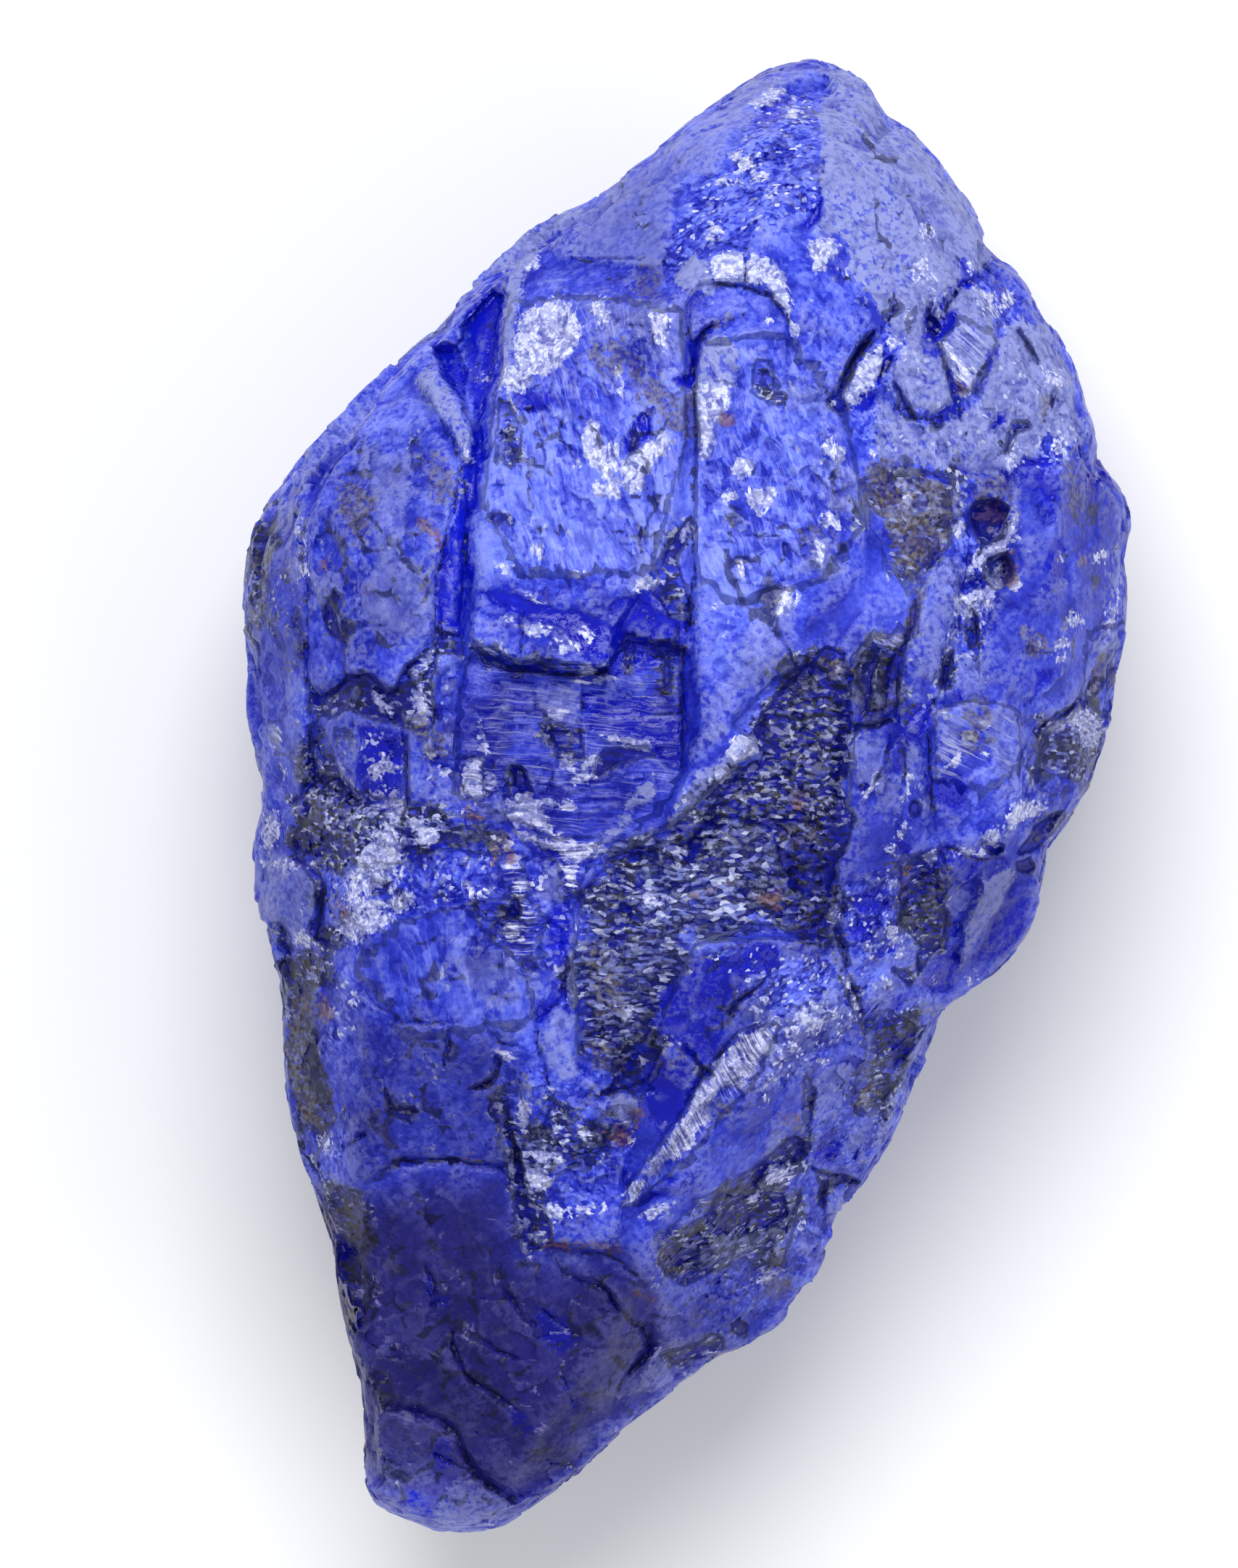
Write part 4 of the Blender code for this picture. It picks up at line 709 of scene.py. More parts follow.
        1038, 145, 1055, 130), path(1014, 1018, 1040, 1013, 1046, 1036, 1022, 1046, 1018, 1055,
        1010, 1060, 1003, 1048, 1002, 1035), path(984, 1052, 1001, 1053, 1012, 1072, 994, 1079,
        982, 1066), path(1194, 491, 1212, 485, 1216, 500, 1208, 526, 1190, 540, 1166, 563, 1160, 550,
        1166, 530, 1180, 505), path(1334, 766, 1346, 754, 1352, 775, 1340, 796, 1329, 791),
        path(1205, 1064, 1211, 1064, 1203, 1088, 1192, 1102, 1191, 1094), path(1163, 1028, 1172, 1010,
        1177, 1012, 1170, 1030), path(1243, 1070, 1251, 1072, 1246, 1100, 1238, 1099), path(1174, 1298,
        1198, 1296, 1204, 1302, 1196, 1306, 1180, 1306), path(592, 1038, 604, 1032, 606, 1044,
        598, 1048), path(666, 1082, 672, 1064, 680, 1066, 684, 1084), path(494, 1166, 508, 1156,
        530, 1144, 538, 1146, 520, 1158, 504, 1168, 498, 1172), path(482, 1210, 490, 1198, 502, 1200,
        506, 1210, 500, 1222, 504, 1230, 494, 1236, 486, 1226), (560, 1180, 4, 3, 0), path(534, 1456,
        548, 1454, 548, 1458, 536, 1460), (597, 1582, 3, 3, 0), path(858, 1659, 870, 1644, 884, 1622,
        900, 1600, 916, 1574, 932, 1552, 948, 1532, 962, 1508, 976, 1490, 990, 1466, 1010, 1440,
        1022, 1424, 1050, 1420, 1066, 1424, 1060, 1440, 1044, 1462, 1040, 1480, 1022, 1498, 1000, 1496,
        992, 1510, 976, 1526, 978, 1544, 962, 1560, 948, 1576, 934, 1596, 914, 1606, 900, 1626,
        884, 1644, 866, 1660), (1060, 1446, 8, 9, 20), (1121, 1391, 8, 6, 0), (1168, 1398, 5, 4, 0),
        (1160, 1414, 5, 8, 15)]),
    ("white_and_sheen", 0.3, [path(985, 357, 1005, 352, 1022, 360, 1025, 378, 1018, 398, 985, 397, 978, 380,
        977, 368), path(1028, 362, 1050, 360, 1075, 378, 1085, 400, 1090, 430, 1082, 445, 1070, 425,
        1055, 400, 1030, 398, 1026, 380), path(566, 926, 583, 906, 597, 901, 599, 911, 586, 930,
        581, 952, 572, 938), (1042, 1398, 4, 11, -10), (1052, 1379, 7, 5, 20), path(1232, 1148,
        1240, 1138, 1250, 1136, 1242, 1150, 1234, 1156), path(1144, 1246, 1150, 1250, 1148, 1266,
        1142, 1262), (1218, 1350, 6, 4, 0), path(540, 1138, 552, 1126, 560, 1124, 558, 1146, 552, 1144,
        544, 1140), path(500, 1192, 508, 1172, 526, 1160, 530, 1166, 514, 1180, 504, 1196),
        path(548, 1204, 556, 1198, 556, 1212, 546, 1232, 538, 1240, 542, 1222), (1070, 1406, 9, 6, 0),
        (1105, 1402, 7, 8, 0), (1120, 1412, 10, 7, 10)]),
    ("white_and_sheen", 0.35, [path(1396, 702, 1402, 712, 1398, 738, 1372, 770, 1356, 768, 1346, 762,
        1370, 736)]),
    ("white_and_sheen", 0.4, [path(516, 951, 530, 962, 545, 982, 549, 993, 535, 986, 521, 972),
        (1365, 1150, 9, 12, 0), path(408, 1288, 418, 1284, 428, 1280, 434, 1292, 424, 1300,
        414, 1298)]),
    ("white_and_sheen", 0.5, [path(1354, 1142, 1362, 1139, 1372, 1144, 1375, 1154, 1368, 1164, 1358, 1160,
        1353, 1150)]),
    # deep glassy blue
    ("deep", -0.6, [(1281, 448, 7, 26, 0)]),
    ("deep", -0.5, [path(596, 480, 610, 472, 630, 480, 646, 520, 640, 560, 612, 520),
        (1304, 446, 7, 14, 30)]),
    ("deep", -0.45, [path(1092, 136, 1085, 150, 1080, 168, 1060, 175, 1040, 174, 1055, 152, 1070, 142),
        path(985, 452, 975, 468, 964, 482, 962, 505, 952, 535, 935, 540, 932, 531, 948, 525, 955, 480,
        968, 462), path(1232, 497, 1222, 516, 1208, 527, 1213, 508, 1222, 498)]),
    ("deep", -0.4, [path(655, 415, 672, 402, 692, 400, 696, 430, 700, 450, 692, 500, 676, 560, 660, 600,
        652, 560, 636, 520, 645, 490, 642, 470, 645, 440), (1345, 806, 11, 11, 0)]),
    ("deep", -0.35, [path(1322, 366, 1340, 378, 1345, 386, 1362, 372, 1360, 388, 1342, 394, 1326, 400,
        1316, 410, 1312, 404, 1326, 390), path(1278, 410, 1286, 412, 1280, 440, 1292, 456, 1286, 468,
        1278, 450, 1273, 430), path(1496, 655, 1520, 652, 1528, 660, 1510, 674, 1496, 668)]),
    ("deep", -0.3, [path(1128, 285, 1126, 312, 1112, 332, 1085, 328, 1100, 318, 1118, 300),
        path(640, 640, 655, 600, 672, 560, 676, 600, 668, 650, 655, 720, 648, 800, 645, 885, 612, 880,
        608, 800, 615, 750, 626, 700), path(854, 620, 870, 598, 880, 580, 905, 570, 896, 600, 870, 626,
        857, 636), path(898, 1030, 935, 1025, 950, 1062, 925, 1058, 906, 1046), path(1178, 548,
        1198, 543, 1203, 556, 1190, 572, 1172, 572), (1346, 806, 13, 9, 0)]),
    ("deep", -0.25, [path(660, 815, 700, 818, 740, 834, 790, 845, 830, 850, 850, 828, 870, 824,
        920, 850, 945, 862, 936, 905, 890, 905, 850, 940, 820, 930, 800, 892, 780, 870, 700, 848),
        path(1290, 1166, 1312, 1172, 1334, 1184, 1346, 1196, 1330, 1222, 1310, 1208, 1298, 1190)]),
    ("deep", -0.2, [(1333, 688, 13, 12, 0), path(1030, 1050, 1060, 1044, 1091, 1055, 1086, 1082,
        1060, 1092, 1034, 1076), path(1290, 1160, 1330, 1170, 1351, 1184, 1337, 1211, 1312, 1202,
        1290, 1181), path(1368, 594, 1372, 580, 1384, 574, 1376, 588), path(1285, 965, 1320, 956,
        1322, 970, 1296, 978, 1286, 985), path(1284, 1078, 1320, 1072, 1332, 1092, 1318, 1116,
        1290, 1108), path(764, 1348, 776, 1340, 780, 1368, 764, 1390, 748, 1400, 738, 1412, 740, 1386,
        756, 1372), path(770, 1290, 782, 1310, 790, 1350, 784, 1400, 774, 1390, 776, 1340),
        path(1233, 1162, 1250, 1160, 1254, 1172, 1240, 1176), path(1296, 1306, 1320, 1302, 1322, 1322,
        1312, 1340, 1308, 1368, 1284, 1372, 1270, 1352, 1276, 1332), path(1204, 1302, 1232, 1300,
        1226, 1312, 1208, 1316), path(1096, 1672, 1116, 1670, 1120, 1684, 1104, 1694, 1090, 1690),
        path(536, 1022, 562, 1020, 560, 1042, 538, 1044)]),
    ("deep", -0.15, [path(712, 550, 735, 541, 756, 536, 763, 560, 755, 570, 735, 575, 715, 566),
        path(800, 955, 940, 960, 944, 1000, 950, 1058, 925, 1058, 900, 1030, 840, 1015, 806, 1000),
        path(1172, 925, 1222, 912, 1228, 960, 1215, 992, 1176, 1000, 1172, 965), path(1240, 971,
        1285, 964, 1291, 990, 1262, 1022, 1244, 1010), (1440, 715, 18, 12, 30), path(1424, 925,
        1450, 928, 1452, 938, 1440, 950, 1428, 975, 1408, 978, 1424, 950), (1466, 1015, 14, 8, 0),
        path(762, 1240, 790, 1256, 796, 1300, 776, 1330, 756, 1300), path(900, 1340, 930, 1346,
        950, 1376, 954, 1420, 930, 1440, 905, 1440, 912, 1400, 902, 1370), path(950, 1400, 996, 1398,
        998, 1420, 984, 1450, 966, 1468, 940, 1452, 936, 1430), path(882, 1644, 900, 1632, 924, 1618,
        936, 1620, 926, 1636, 912, 1650, 896, 1660, 886, 1680, 876, 1676), path(1302, 1262, 1324, 1266,
        1326, 1290, 1304, 1288), path(1164, 1266, 1200, 1262, 1210, 1280, 1190, 1296, 1170, 1294),
        (1234, 1386, 8, 9, 0), path(1120, 1590, 1136, 1576, 1160, 1568, 1158, 1590, 1140, 1606),
        path(500, 1002, 560, 1010, 562, 1050, 560, 1100, 540, 1110, 506, 1104, 494, 1070, 498, 1030),
        path(600, 1984, 616, 1996, 624, 2012, 612, 2018, 598, 2004), path(776, 1900, 796, 1902,
        800, 1930, 796, 1946, 786, 1930, 772, 1908)]),
    ("deep", -0.12, [path(1400, 648, 1446, 632, 1458, 652, 1458, 700, 1440, 690, 1420, 655, 1402, 660),
        path(596, 1750, 606, 1780, 628, 1784, 616, 1796, 598, 1796, 586, 1776)]),
    ("deep", -0.1, [(1452, 780, 14, 34, 12), path(950, 1320, 1040, 1300, 1070, 1300, 1072, 1334,
        1040, 1350, 1020, 1366, 1000, 1390, 960, 1392, 946, 1360), path(1374, 1262, 1398, 1240,
        1416, 1240, 1412, 1276, 1396, 1300, 1376, 1320, 1350, 1340, 1340, 1330, 1352, 1304),
        path(1160, 1220, 1210, 1226, 1232, 1238, 1236, 1260, 1210, 1262, 1170, 1250), path(740, 1800,
        770, 1810, 800, 1830, 806, 1850, 776, 1870, 760, 1850, 744, 1830), path(702, 1936, 724, 1946,
        736, 1966, 722, 1980, 706, 1966)]),
    ("deep", -0.05, [path(890, 1470, 920, 1462, 956, 1470, 970, 1486, 964, 1510, 944, 1540, 912, 1560,
        896, 1540, 880, 1520), path(560, 2050, 590, 2068, 602, 2090, 584, 2094, 556, 2078)]),
    ("deep", 0.0, [path(838, 828, 880, 816, 926, 828, 932, 880, 902, 922, 860, 942, 838, 900),
        path(800, 850, 842, 850, 842, 892, 805, 892)]),
    # dark mineral, and painted shadows under steps
    ("dark", -0.6, [path(1338, 700, 1376, 694, 1389, 705, 1376, 736, 1356, 749, 1342, 741, 1334, 720),
        path(1360, 770, 1381, 764, 1391, 790, 1376, 812, 1358, 817, 1350, 804, 1350, 785)]),
    ("dark", -0.55, [path(1203, 460, 1192, 482, 1174, 506, 1162, 528, 1158, 556, 1166, 568, 1158, 578,
        1142, 572, 1138, 560, 1150, 548, 1155, 526, 1172, 495, 1188, 470)]),
    ("dark", -0.5, [path(655, 892, 682, 896, 702, 912, 722, 915, 762, 912, 800, 919, 840, 925, 840, 933,
        790, 932, 700, 926, 668, 914), path(1136, 896, 1162, 905, 1166, 924, 1177, 935, 1169, 960,
        1174, 1000, 1160, 1040, 1160, 1062, 1148, 1082, 1165, 1110, 1180, 1132, 1170, 1162, 1152, 1192,
        1144, 1232, 1120, 1242, 1085, 1220, 1070, 1180, 1062, 1148, 1010, 1130, 985, 1150, 960, 1172,
        945, 1160, 975, 1118, 1003, 1085, 1022, 1060, 1046, 1040, 1036, 1010, 1052, 988, 1076, 955,
        1102, 928), path(1352, 1158, 1362, 1166, 1374, 1164, 1380, 1172, 1372, 1178, 1358, 1172,
        1350, 1164)]),
    ("dark", -0.45, [path(424, 940, 450, 962, 480, 940, 505, 928, 540, 958, 556, 940, 562, 918,
        585, 905, 605, 900, 596, 940, 600, 1000, 585, 1010, 556, 1000, 520, 995, 490, 985, 460, 995,
        434, 985), path(752, 1008, 800, 1012, 806, 1032, 812, 1052, 788, 1053, 770, 1046, 766, 1020),
        path(826, 1508, 840, 1504, 848, 1490, 856, 1478, 848, 1466, 862, 1462, 872, 1452, 890, 1446,
        912, 1448, 904, 1466, 892, 1490, 880, 1500, 858, 1502, 842, 1512), path(714, 1640, 726, 1648,
        740, 1660, 752, 1672, 760, 1690, 762, 1712, 744, 1720, 732, 1722, 722, 1704, 718, 1680,
        708, 1660), path(990, 1640, 1020, 1650, 1050, 1640, 1080, 1640, 1084, 1670, 1060, 1690,
        1024, 1702, 1000, 1704, 970, 1700, 956, 1706, 934, 1706, 940, 1690, 970, 1670), path(1084, 1572,
        1096, 1566, 1108, 1576, 1116, 1592, 1106, 1600, 1092, 1600, 1076, 1606, 1060, 1606, 1052, 1618,
        1044, 1640, 1030, 1652, 1014, 1652, 1030, 1630, 1040, 1614, 1056, 1596, 1070, 1584)]),
    ("dark", -0.4, [path(604, 868, 640, 880, 642, 905, 605, 905, 598, 888), path(952, 1152, 974, 1131,
        992, 1124, 986, 1142, 970, 1166, 958, 1184, 944, 1182), (1371, 1168, 12, 7, 0), path(920, 1716,
        948, 1706, 964, 1716, 966, 1730, 944, 1744, 924, 1744, 908, 1738, 910, 1726)]),
    ("dark", -0.35, [path(955, 720, 963, 735, 946, 756, 931, 777, 938, 800, 944, 822, 957, 840,
        940, 851, 920, 849, 912, 832, 898, 820, 908, 805, 903, 782, 925, 755, 940, 735), path(836, 1036,
        892, 1030, 902, 1043, 862, 1050, 848, 1062, 820, 1072, 828, 1050), path(709, 1057, 722, 1057,
        737, 1095, 728, 1107, 712, 1102, 708, 1080), path(686, 1452, 692, 1456, 690, 1480, 680, 1498,
        664, 1502, 650, 1502, 668, 1492, 682, 1482), (955, 1172, 20, 20, 0), path(1250, 1286,
        1270, 1292, 1292, 1290, 1294, 1304, 1284, 1312, 1276, 1330, 1264, 1342, 1262, 1320, 1268, 1304),
        path(712, 1064, 722, 1058, 728, 1076, 730, 1096, 720, 1098, 712, 1084), path(464, 1700,
        480, 1704, 494, 1720, 500, 1760, 498, 1772, 504, 1800, 500, 1830, 490, 1836, 476, 1810,
        470, 1780, 466, 1740)]),
    ("dark", -0.3, [path(352, 728, 362, 714, 376, 722, 373, 750, 380, 780, 368, 800, 361, 862, 350, 862,
        350, 800, 344, 765), path(1230, 534, 1246, 554, 1264, 579, 1250, 583, 1238, 566),
        path(1284, 582, 1301, 580, 1292, 600, 1281, 597), (1230, 928, 6, 32, 4), (1203, 999, 24, 4, -8),
        (1260, 1114, 8, 11, 0), path(1484, 962, 1490, 965, 1466, 985, 1446, 1000, 1428, 1018,
        1420, 1012, 1440, 996), path(700, 1518, 706, 1530, 704, 1546, 714, 1566, 724, 1600, 726, 1636,
        716, 1640, 714, 1600, 704, 1566, 690, 1546, 676, 1530, 680, 1518), path(934, 1764, 944, 1752,
        976, 1744, 986, 1752, 960, 1764, 944, 1770), path(1290, 1212, 1306, 1226, 1300, 1250,
        1290, 1238), path(1206, 1402, 1228, 1392, 1236, 1404, 1256, 1408, 1262, 1418, 1276, 1416,
        1262, 1440, 1246, 1460, 1234, 1474, 1226, 1462, 1210, 1460, 1194, 1450, 1198, 1426),
        path(466, 1008, 490, 1012, 486, 1022, 462, 1020), path(376, 1268, 396, 1274, 404, 1290,
        404, 1312, 394, 1316, 384, 1300, 378, 1284), path(434, 1264, 444, 1272, 444, 1290, 454, 1296,
        440, 1294, 432, 1280), path(534, 1500, 542, 1510, 548, 1528, 574, 1526, 580, 1534, 566, 1542,
        568, 1548, 552, 1544, 542, 1532)]),
    ("dark", -0.25, [path(462, 815, 476, 825, 470, 845, 478, 860, 492, 870, 480, 888, 468, 880,
        454, 870, 448, 850, 454, 835), (912, 892, 14, 8, 0), path(1332, 840, 1344, 848, 1346, 880,
        1334, 900, 1328, 872), path(1426, 1140, 1446, 1126, 1470, 1120, 1460, 1134, 1436, 1150),
        path(860, 1186, 880, 1194, 886, 1220, 882, 1240, 860, 1232, 846, 1210), (850, 1300, 16, 12, 20),
        path(758, 1514, 776, 1520, 782, 1544, 792, 1570, 790, 1592, 772, 1586, 764, 1560, 756, 1540),
        path(1398, 1190, 1416, 1184, 1426, 1196, 1416, 1204, 1400, 1202), path(1430, 1136, 1452, 1120,
        1466, 1118, 1460, 1138, 1440, 1160, 1416, 1176, 1400, 1180, 1412, 1160), path(434, 1000,
        450, 1010, 460, 1040, 478, 1070, 496, 1090, 500, 1110, 480, 1112, 470, 1080, 448, 1062,
        438, 1040, 432, 1020), path(560, 1010, 568, 1040, 572, 1080, 566, 1104, 562, 1080),
        path(400, 1180, 432, 1196, 446, 1216, 450, 1240, 446, 1262, 440, 1246, 434, 1216, 420, 1200),
        path(442, 1526, 462, 1522, 470, 1536, 456, 1546, 444, 1540)]),
    ("dark", -0.2, [(384, 880, 6, 20, -22), (412, 868, 5, 26, -8), (866, 910, 6, 22, 5),
        (917, 925, 5, 24, 0), path(1040, 500, 1062, 500, 1066, 538, 1082, 550, 1072, 562, 1045, 552,
        1035, 545), path(1392, 586, 1414, 582, 1418, 592, 1400, 600, 1388, 630, 1380, 628, 1384, 604),
        path(1306, 900, 1314, 898, 1310, 925, 1298, 950, 1292, 940), (1508, 952, 8, 16, 40),
        (712, 1252, 7, 12, 0), (856, 1262, 10, 14, 0), path(962, 1466, 980, 1474, 986, 1482, 972, 1486,
        960, 1478), path(722, 1580, 760, 1584, 792, 1590, 800, 1580, 840, 1578, 840, 1584, 800, 1592,
        770, 1602, 730, 1600), path(958, 1850, 990, 1846, 1000, 1860, 980, 1866, 950, 1870, 940, 1862),
        path(1152, 1266, 1160, 1290, 1168, 1318, 1162, 1336, 1156, 1310, 1148, 1286), path(1226, 1332,
        1250, 1336, 1262, 1346, 1256, 1356, 1244, 1350), path(1160, 1344, 1168, 1342, 1176, 1366,
        1186, 1390, 1176, 1392, 1164, 1370), (1188, 1530, 8, 8, 0), path(1124, 1612, 1142, 1620,
        1172, 1622, 1184, 1634, 1162, 1632, 1142, 1640, 1134, 1668, 1128, 1660, 1134, 1632),
        path(568, 1110, 590, 1108, 612, 1120, 626, 1136, 620, 1140, 596, 1128, 572, 1122),
        (712, 1254, 8, 12, 0), path(554, 1226, 562, 1240, 560, 1254, 552, 1250), path(548, 1160,
        560, 1170, 562, 1182, 554, 1192, 552, 1176), (470, 1272, 10, 6, 40)]),
    ("dark", -0.15, [path(690, 556, 704, 562, 716, 590, 722, 612, 710, 650, 700, 642, 692, 625,
        686, 645, 684, 610, 691, 590), (685, 718, 12, 6, 0), (730, 1330, 12, 10, 30), path(664, 1240,
        690, 1246, 714, 1250, 712, 1262, 690, 1258, 668, 1254), path(420, 1080, 450, 1070, 480, 1078,
        500, 1100, 504, 1116, 486, 1126, 470, 1130, 462, 1150, 480, 1166, 470, 1190, 450, 1200,
        440, 1186, 410, 1170, 402, 1150, 406, 1120, 414, 1100), path(516, 1216, 538, 1218, 536, 1232,
        518, 1234), path(912, 1866, 950, 1852, 980, 1838, 996, 1842, 1000, 1858, 970, 1862,
        930, 1876)]),
    ("dark", -0.12, [(1228, 436, 12, 5, -30), (1252, 446, 5, 10, 20), path(1398, 456, 1404, 458,
        1418, 482, 1432, 506, 1426, 504), (1448, 552, 4, 13, 25), (1416, 896, 6, 6, 0), path(1262, 1184,
        1280, 1178, 1292, 1190, 1296, 1215, 1304, 1236, 1298, 1262, 1294, 1284, 1280, 1288, 1256, 1284,
        1238, 1270, 1240, 1240, 1248, 1214), path(1112, 1480, 1122, 1500, 1118, 1530, 1110, 1556,
        1104, 1540, 1108, 1506), (1020, 1828, 12, 9, 10)]),
    ("dark", -0.1, [(577, 632, 9, 20, -10), (1232, 758, 15, 18, 0), (1240, 786, 7, 14, 0),
        (1253, 848, 5, 16, 12), path(868, 1762, 884, 1762, 898, 1766, 884, 1772, 872, 1770),
        (584, 1012, 9, 8, 30), path(398, 1316, 430, 1308, 462, 1320, 470, 1340, 450, 1352, 430, 1344,
        412, 1360, 400, 1400, 394, 1380, 392, 1340), path(450, 1640, 480, 1632, 500, 1640, 508, 1668,
        500, 1684, 480, 1680, 468, 1668, 456, 1660), (545, 1859, 3, 3, 0), path(520, 1886, 540, 1890,
        548, 1920, 540, 1936, 526, 1924, 518, 1904)]),
    ("dark", -0.05, [(1213, 655, 5, 9, -10), (1246, 643, 6, 7, 0)]),
    ("dark", 0.0, [path(930, 1128, 990, 1106, 1004, 1150, 962, 1200, 930, 1186), path(1048, 1126,
        1114, 1130, 1112, 1178, 1056, 1172), path(1056, 1198, 1108, 1194, 1106, 1262, 1062, 1258),
        path(1100, 948, 1170, 962, 1170, 1002, 1108, 992), path(1100, 1038, 1160, 1034, 1152, 1090,
        1110, 1082), path(828, 1178, 882, 1174, 886, 1232, 842, 1238), path(836, 1240, 882, 1240,
        886, 1298, 848, 1302), path(1114, 1204, 1152, 1198, 1148, 1264, 1118, 1252), path(1096, 1260,
        1152, 1268, 1142, 1302, 1102, 1298), path(1092, 912, 1132, 902, 1142, 952, 1098, 954),
        path(848, 1462, 892, 1452, 908, 1480, 880, 1508, 848, 1492), path(902, 1698, 962, 1688,
        978, 1720, 950, 1762, 918, 1752), path(958, 1680, 1040, 1648, 1084, 1658, 1072, 1694,
        1000, 1704), path(710, 1618, 748, 1638, 754, 1702, 724, 1724, 708, 1680), path(464, 1640,
        502, 1648, 502, 1764, 480, 1804, 462, 1700), path(752, 1520, 792, 1528, 786, 1590, 758, 1582),
        path(400, 1040, 430, 1018, 442, 1058, 474, 1070, 450, 1094, 412, 1084), path(446, 1158,
        480, 1148, 496, 1106, 502, 1180, 470, 1204, 448, 1194), path(552, 1118, 572, 1096, 580, 1150,
        574, 1194, 556, 1184), path(436, 1278, 472, 1268, 484, 1300, 450, 1324, 432, 1302),
        path(698, 1056, 724, 1056, 734, 1090, 716, 1112, 700, 1094), path(752, 996, 792, 1006,
        804, 1030, 770, 1044, 752, 1020)]),
    # dark and pale grains
    ("grit", 0.0, [path(1160, 900, 1182, 960, 1178, 1060, 1160, 1130, 1152, 1240, 1112, 1290,
        1040, 1270, 960, 1300, 930, 1360, 900, 1440, 870, 1480, 840, 1470, 800, 1440, 790, 1340,
        800, 1240, 850, 1180, 900, 1150, 950, 1120, 990, 1080, 1040, 1020, 1060, 980, 1100, 920),
        path(404, 1110, 440, 1070, 500, 1090, 560, 1110, 640, 1130, 700, 1150, 690, 1180, 640, 1176,
        580, 1170, 560, 1190, 480, 1200, 440, 1190, 400, 1160), path(690, 1500, 716, 1500, 740, 1560,
        800, 1560, 860, 1520, 880, 1540, 800, 1600, 740, 1640, 720, 1700, 704, 1620, 690, 1540),
        path(1190, 1410, 1262, 1400, 1244, 1480, 1200, 1540, 1170, 1520, 1190, 1450), path(910, 1710,
        960, 1650, 1060, 1600, 1110, 1570, 1100, 1640, 1090, 1700, 1080, 1750, 1040, 1730, 960, 1760,
        914, 1750), path(1440, 1010, 1500, 965, 1530, 1000, 1500, 1080, 1430, 1066), path(394, 1310,
        440, 1306, 470, 1350, 440, 1400, 440, 1480, 470, 1540, 440, 1600, 410, 1540, 392, 1400),
        path(340, 730, 370, 700, 384, 760, 372, 860, 346, 870), path(1236, 1190, 1296, 1176, 1306, 1240,
        1294, 1300, 1240, 1280), path(1190, 660, 1310, 660, 1300, 760, 1240, 810, 1200, 740),
        path(1195, 880, 1246, 870, 1236, 980, 1180, 1000, 1170, 930), path(660, 1240, 716, 1240,
        720, 1262, 664, 1262), path(450, 1640, 508, 1640, 506, 1700, 506, 1840, 480, 1830, 462, 1720)]),
    # brown and olive dust
    ("brown", -0.15, [(888, 400, 20, 22, 0)]),
    ("brown", -0.12, [path(462, 672, 478, 668, 500, 664, 512, 672, 519, 690, 516, 720, 516, 745,
        508, 758, 490, 754, 482, 725, 475, 705, 465, 692), path(878, 535, 905, 528, 925, 543, 955, 558,
        963, 600, 956, 622, 940, 600, 915, 590, 893, 570, 879, 556)]),
    ("brown", -0.1, [(993, 450, 9, 6, 0), path(820, 478, 845, 471, 870, 480, 888, 500, 884, 530,
        872, 542, 861, 512, 850, 517, 832, 522, 816, 510), path(1264, 788, 1281, 800, 1263, 850,
        1250, 882, 1239, 876, 1249, 835), path(1062, 1722, 1080, 1716, 1092, 1730, 1090, 1748,
        1072, 1756, 1054, 1746)]),
    ("brown", -0.05, [path(1198, 640, 1260, 650, 1290, 660, 1313, 690, 1302, 760, 1272, 790, 1240, 800,
        1225, 760, 1200, 705, 1183, 680), (1080, 1774, 18, 12, 0), path(1186, 1500, 1200, 1492,
        1210, 1500, 1204, 1516, 1196, 1532, 1184, 1536, 1182, 1518), path(400, 1380, 420, 1372,
        440, 1380, 456, 1400, 446, 1412, 424, 1404, 420, 1440, 424, 1480, 440, 1520, 452, 1546,
        430, 1552, 414, 1520, 402, 1480, 398, 1430), path(660, 1496, 680, 1494, 690, 1500, 676, 1506,
        662, 1504)]),
    ("brown", 0.0, [(590, 808, 7, 22, 0), path(604, 634, 628, 650, 632, 682, 618, 700, 604, 695,
        598, 665), (862, 722, 12, 7, 15), (1285, 742, 13, 12, 0), (1102, 1152, 15, 10, 0),
        (1473, 658, 10, 14, 0), path(1462, 685, 1482, 672, 1492, 700, 1480, 722, 1468, 705),
        path(1500, 925, 1516, 900, 1530, 905, 1528, 945, 1508, 962, 1494, 950), path(1304, 1206,
        1318, 1212, 1324, 1222, 1310, 1222, 1302, 1216), (1276, 1394, 9, 9, 0), (1096, 1552, 9, 10, 0),
        path(818, 1328, 852, 1318, 858, 1402, 824, 1402), path(812, 1438, 850, 1428, 852, 1470,
        822, 1472), (1148, 925, 20, 13, 0)]),
    ("brown", 0.05, [path(1345, 664, 1380, 654, 1396, 668, 1392, 694, 1368, 694, 1343, 694),
        path(1432, 548, 1446, 541, 1450, 552, 1440, 578, 1430, 588, 1426, 570), path(1345, 890,
        1362, 905, 1352, 918, 1338, 912), (838, 1372, 8, 16, 10), (822, 1320, 10, 16, 10),
        path(924, 1448, 938, 1450, 936, 1462, 924, 1466), (918, 1726, 14, 16, 10), path(1348, 1226,
        1354, 1236, 1342, 1258, 1330, 1272, 1336, 1250)]),
    ("brown", 0.08, [(1415, 877, 11, 13, 0), (1431, 897, 14, 13, 0)]),
    ("brown", 0.1, [path(990, 1510, 1008, 1520, 1004, 1540, 984, 1544, 974, 1530),
        (726, 1500, 7, 16, -10), path(566, 990, 580, 985, 592, 1005, 606, 1004, 620, 1014, 622, 1036,
        606, 1044, 596, 1050, 584, 1040, 576, 1020)]),
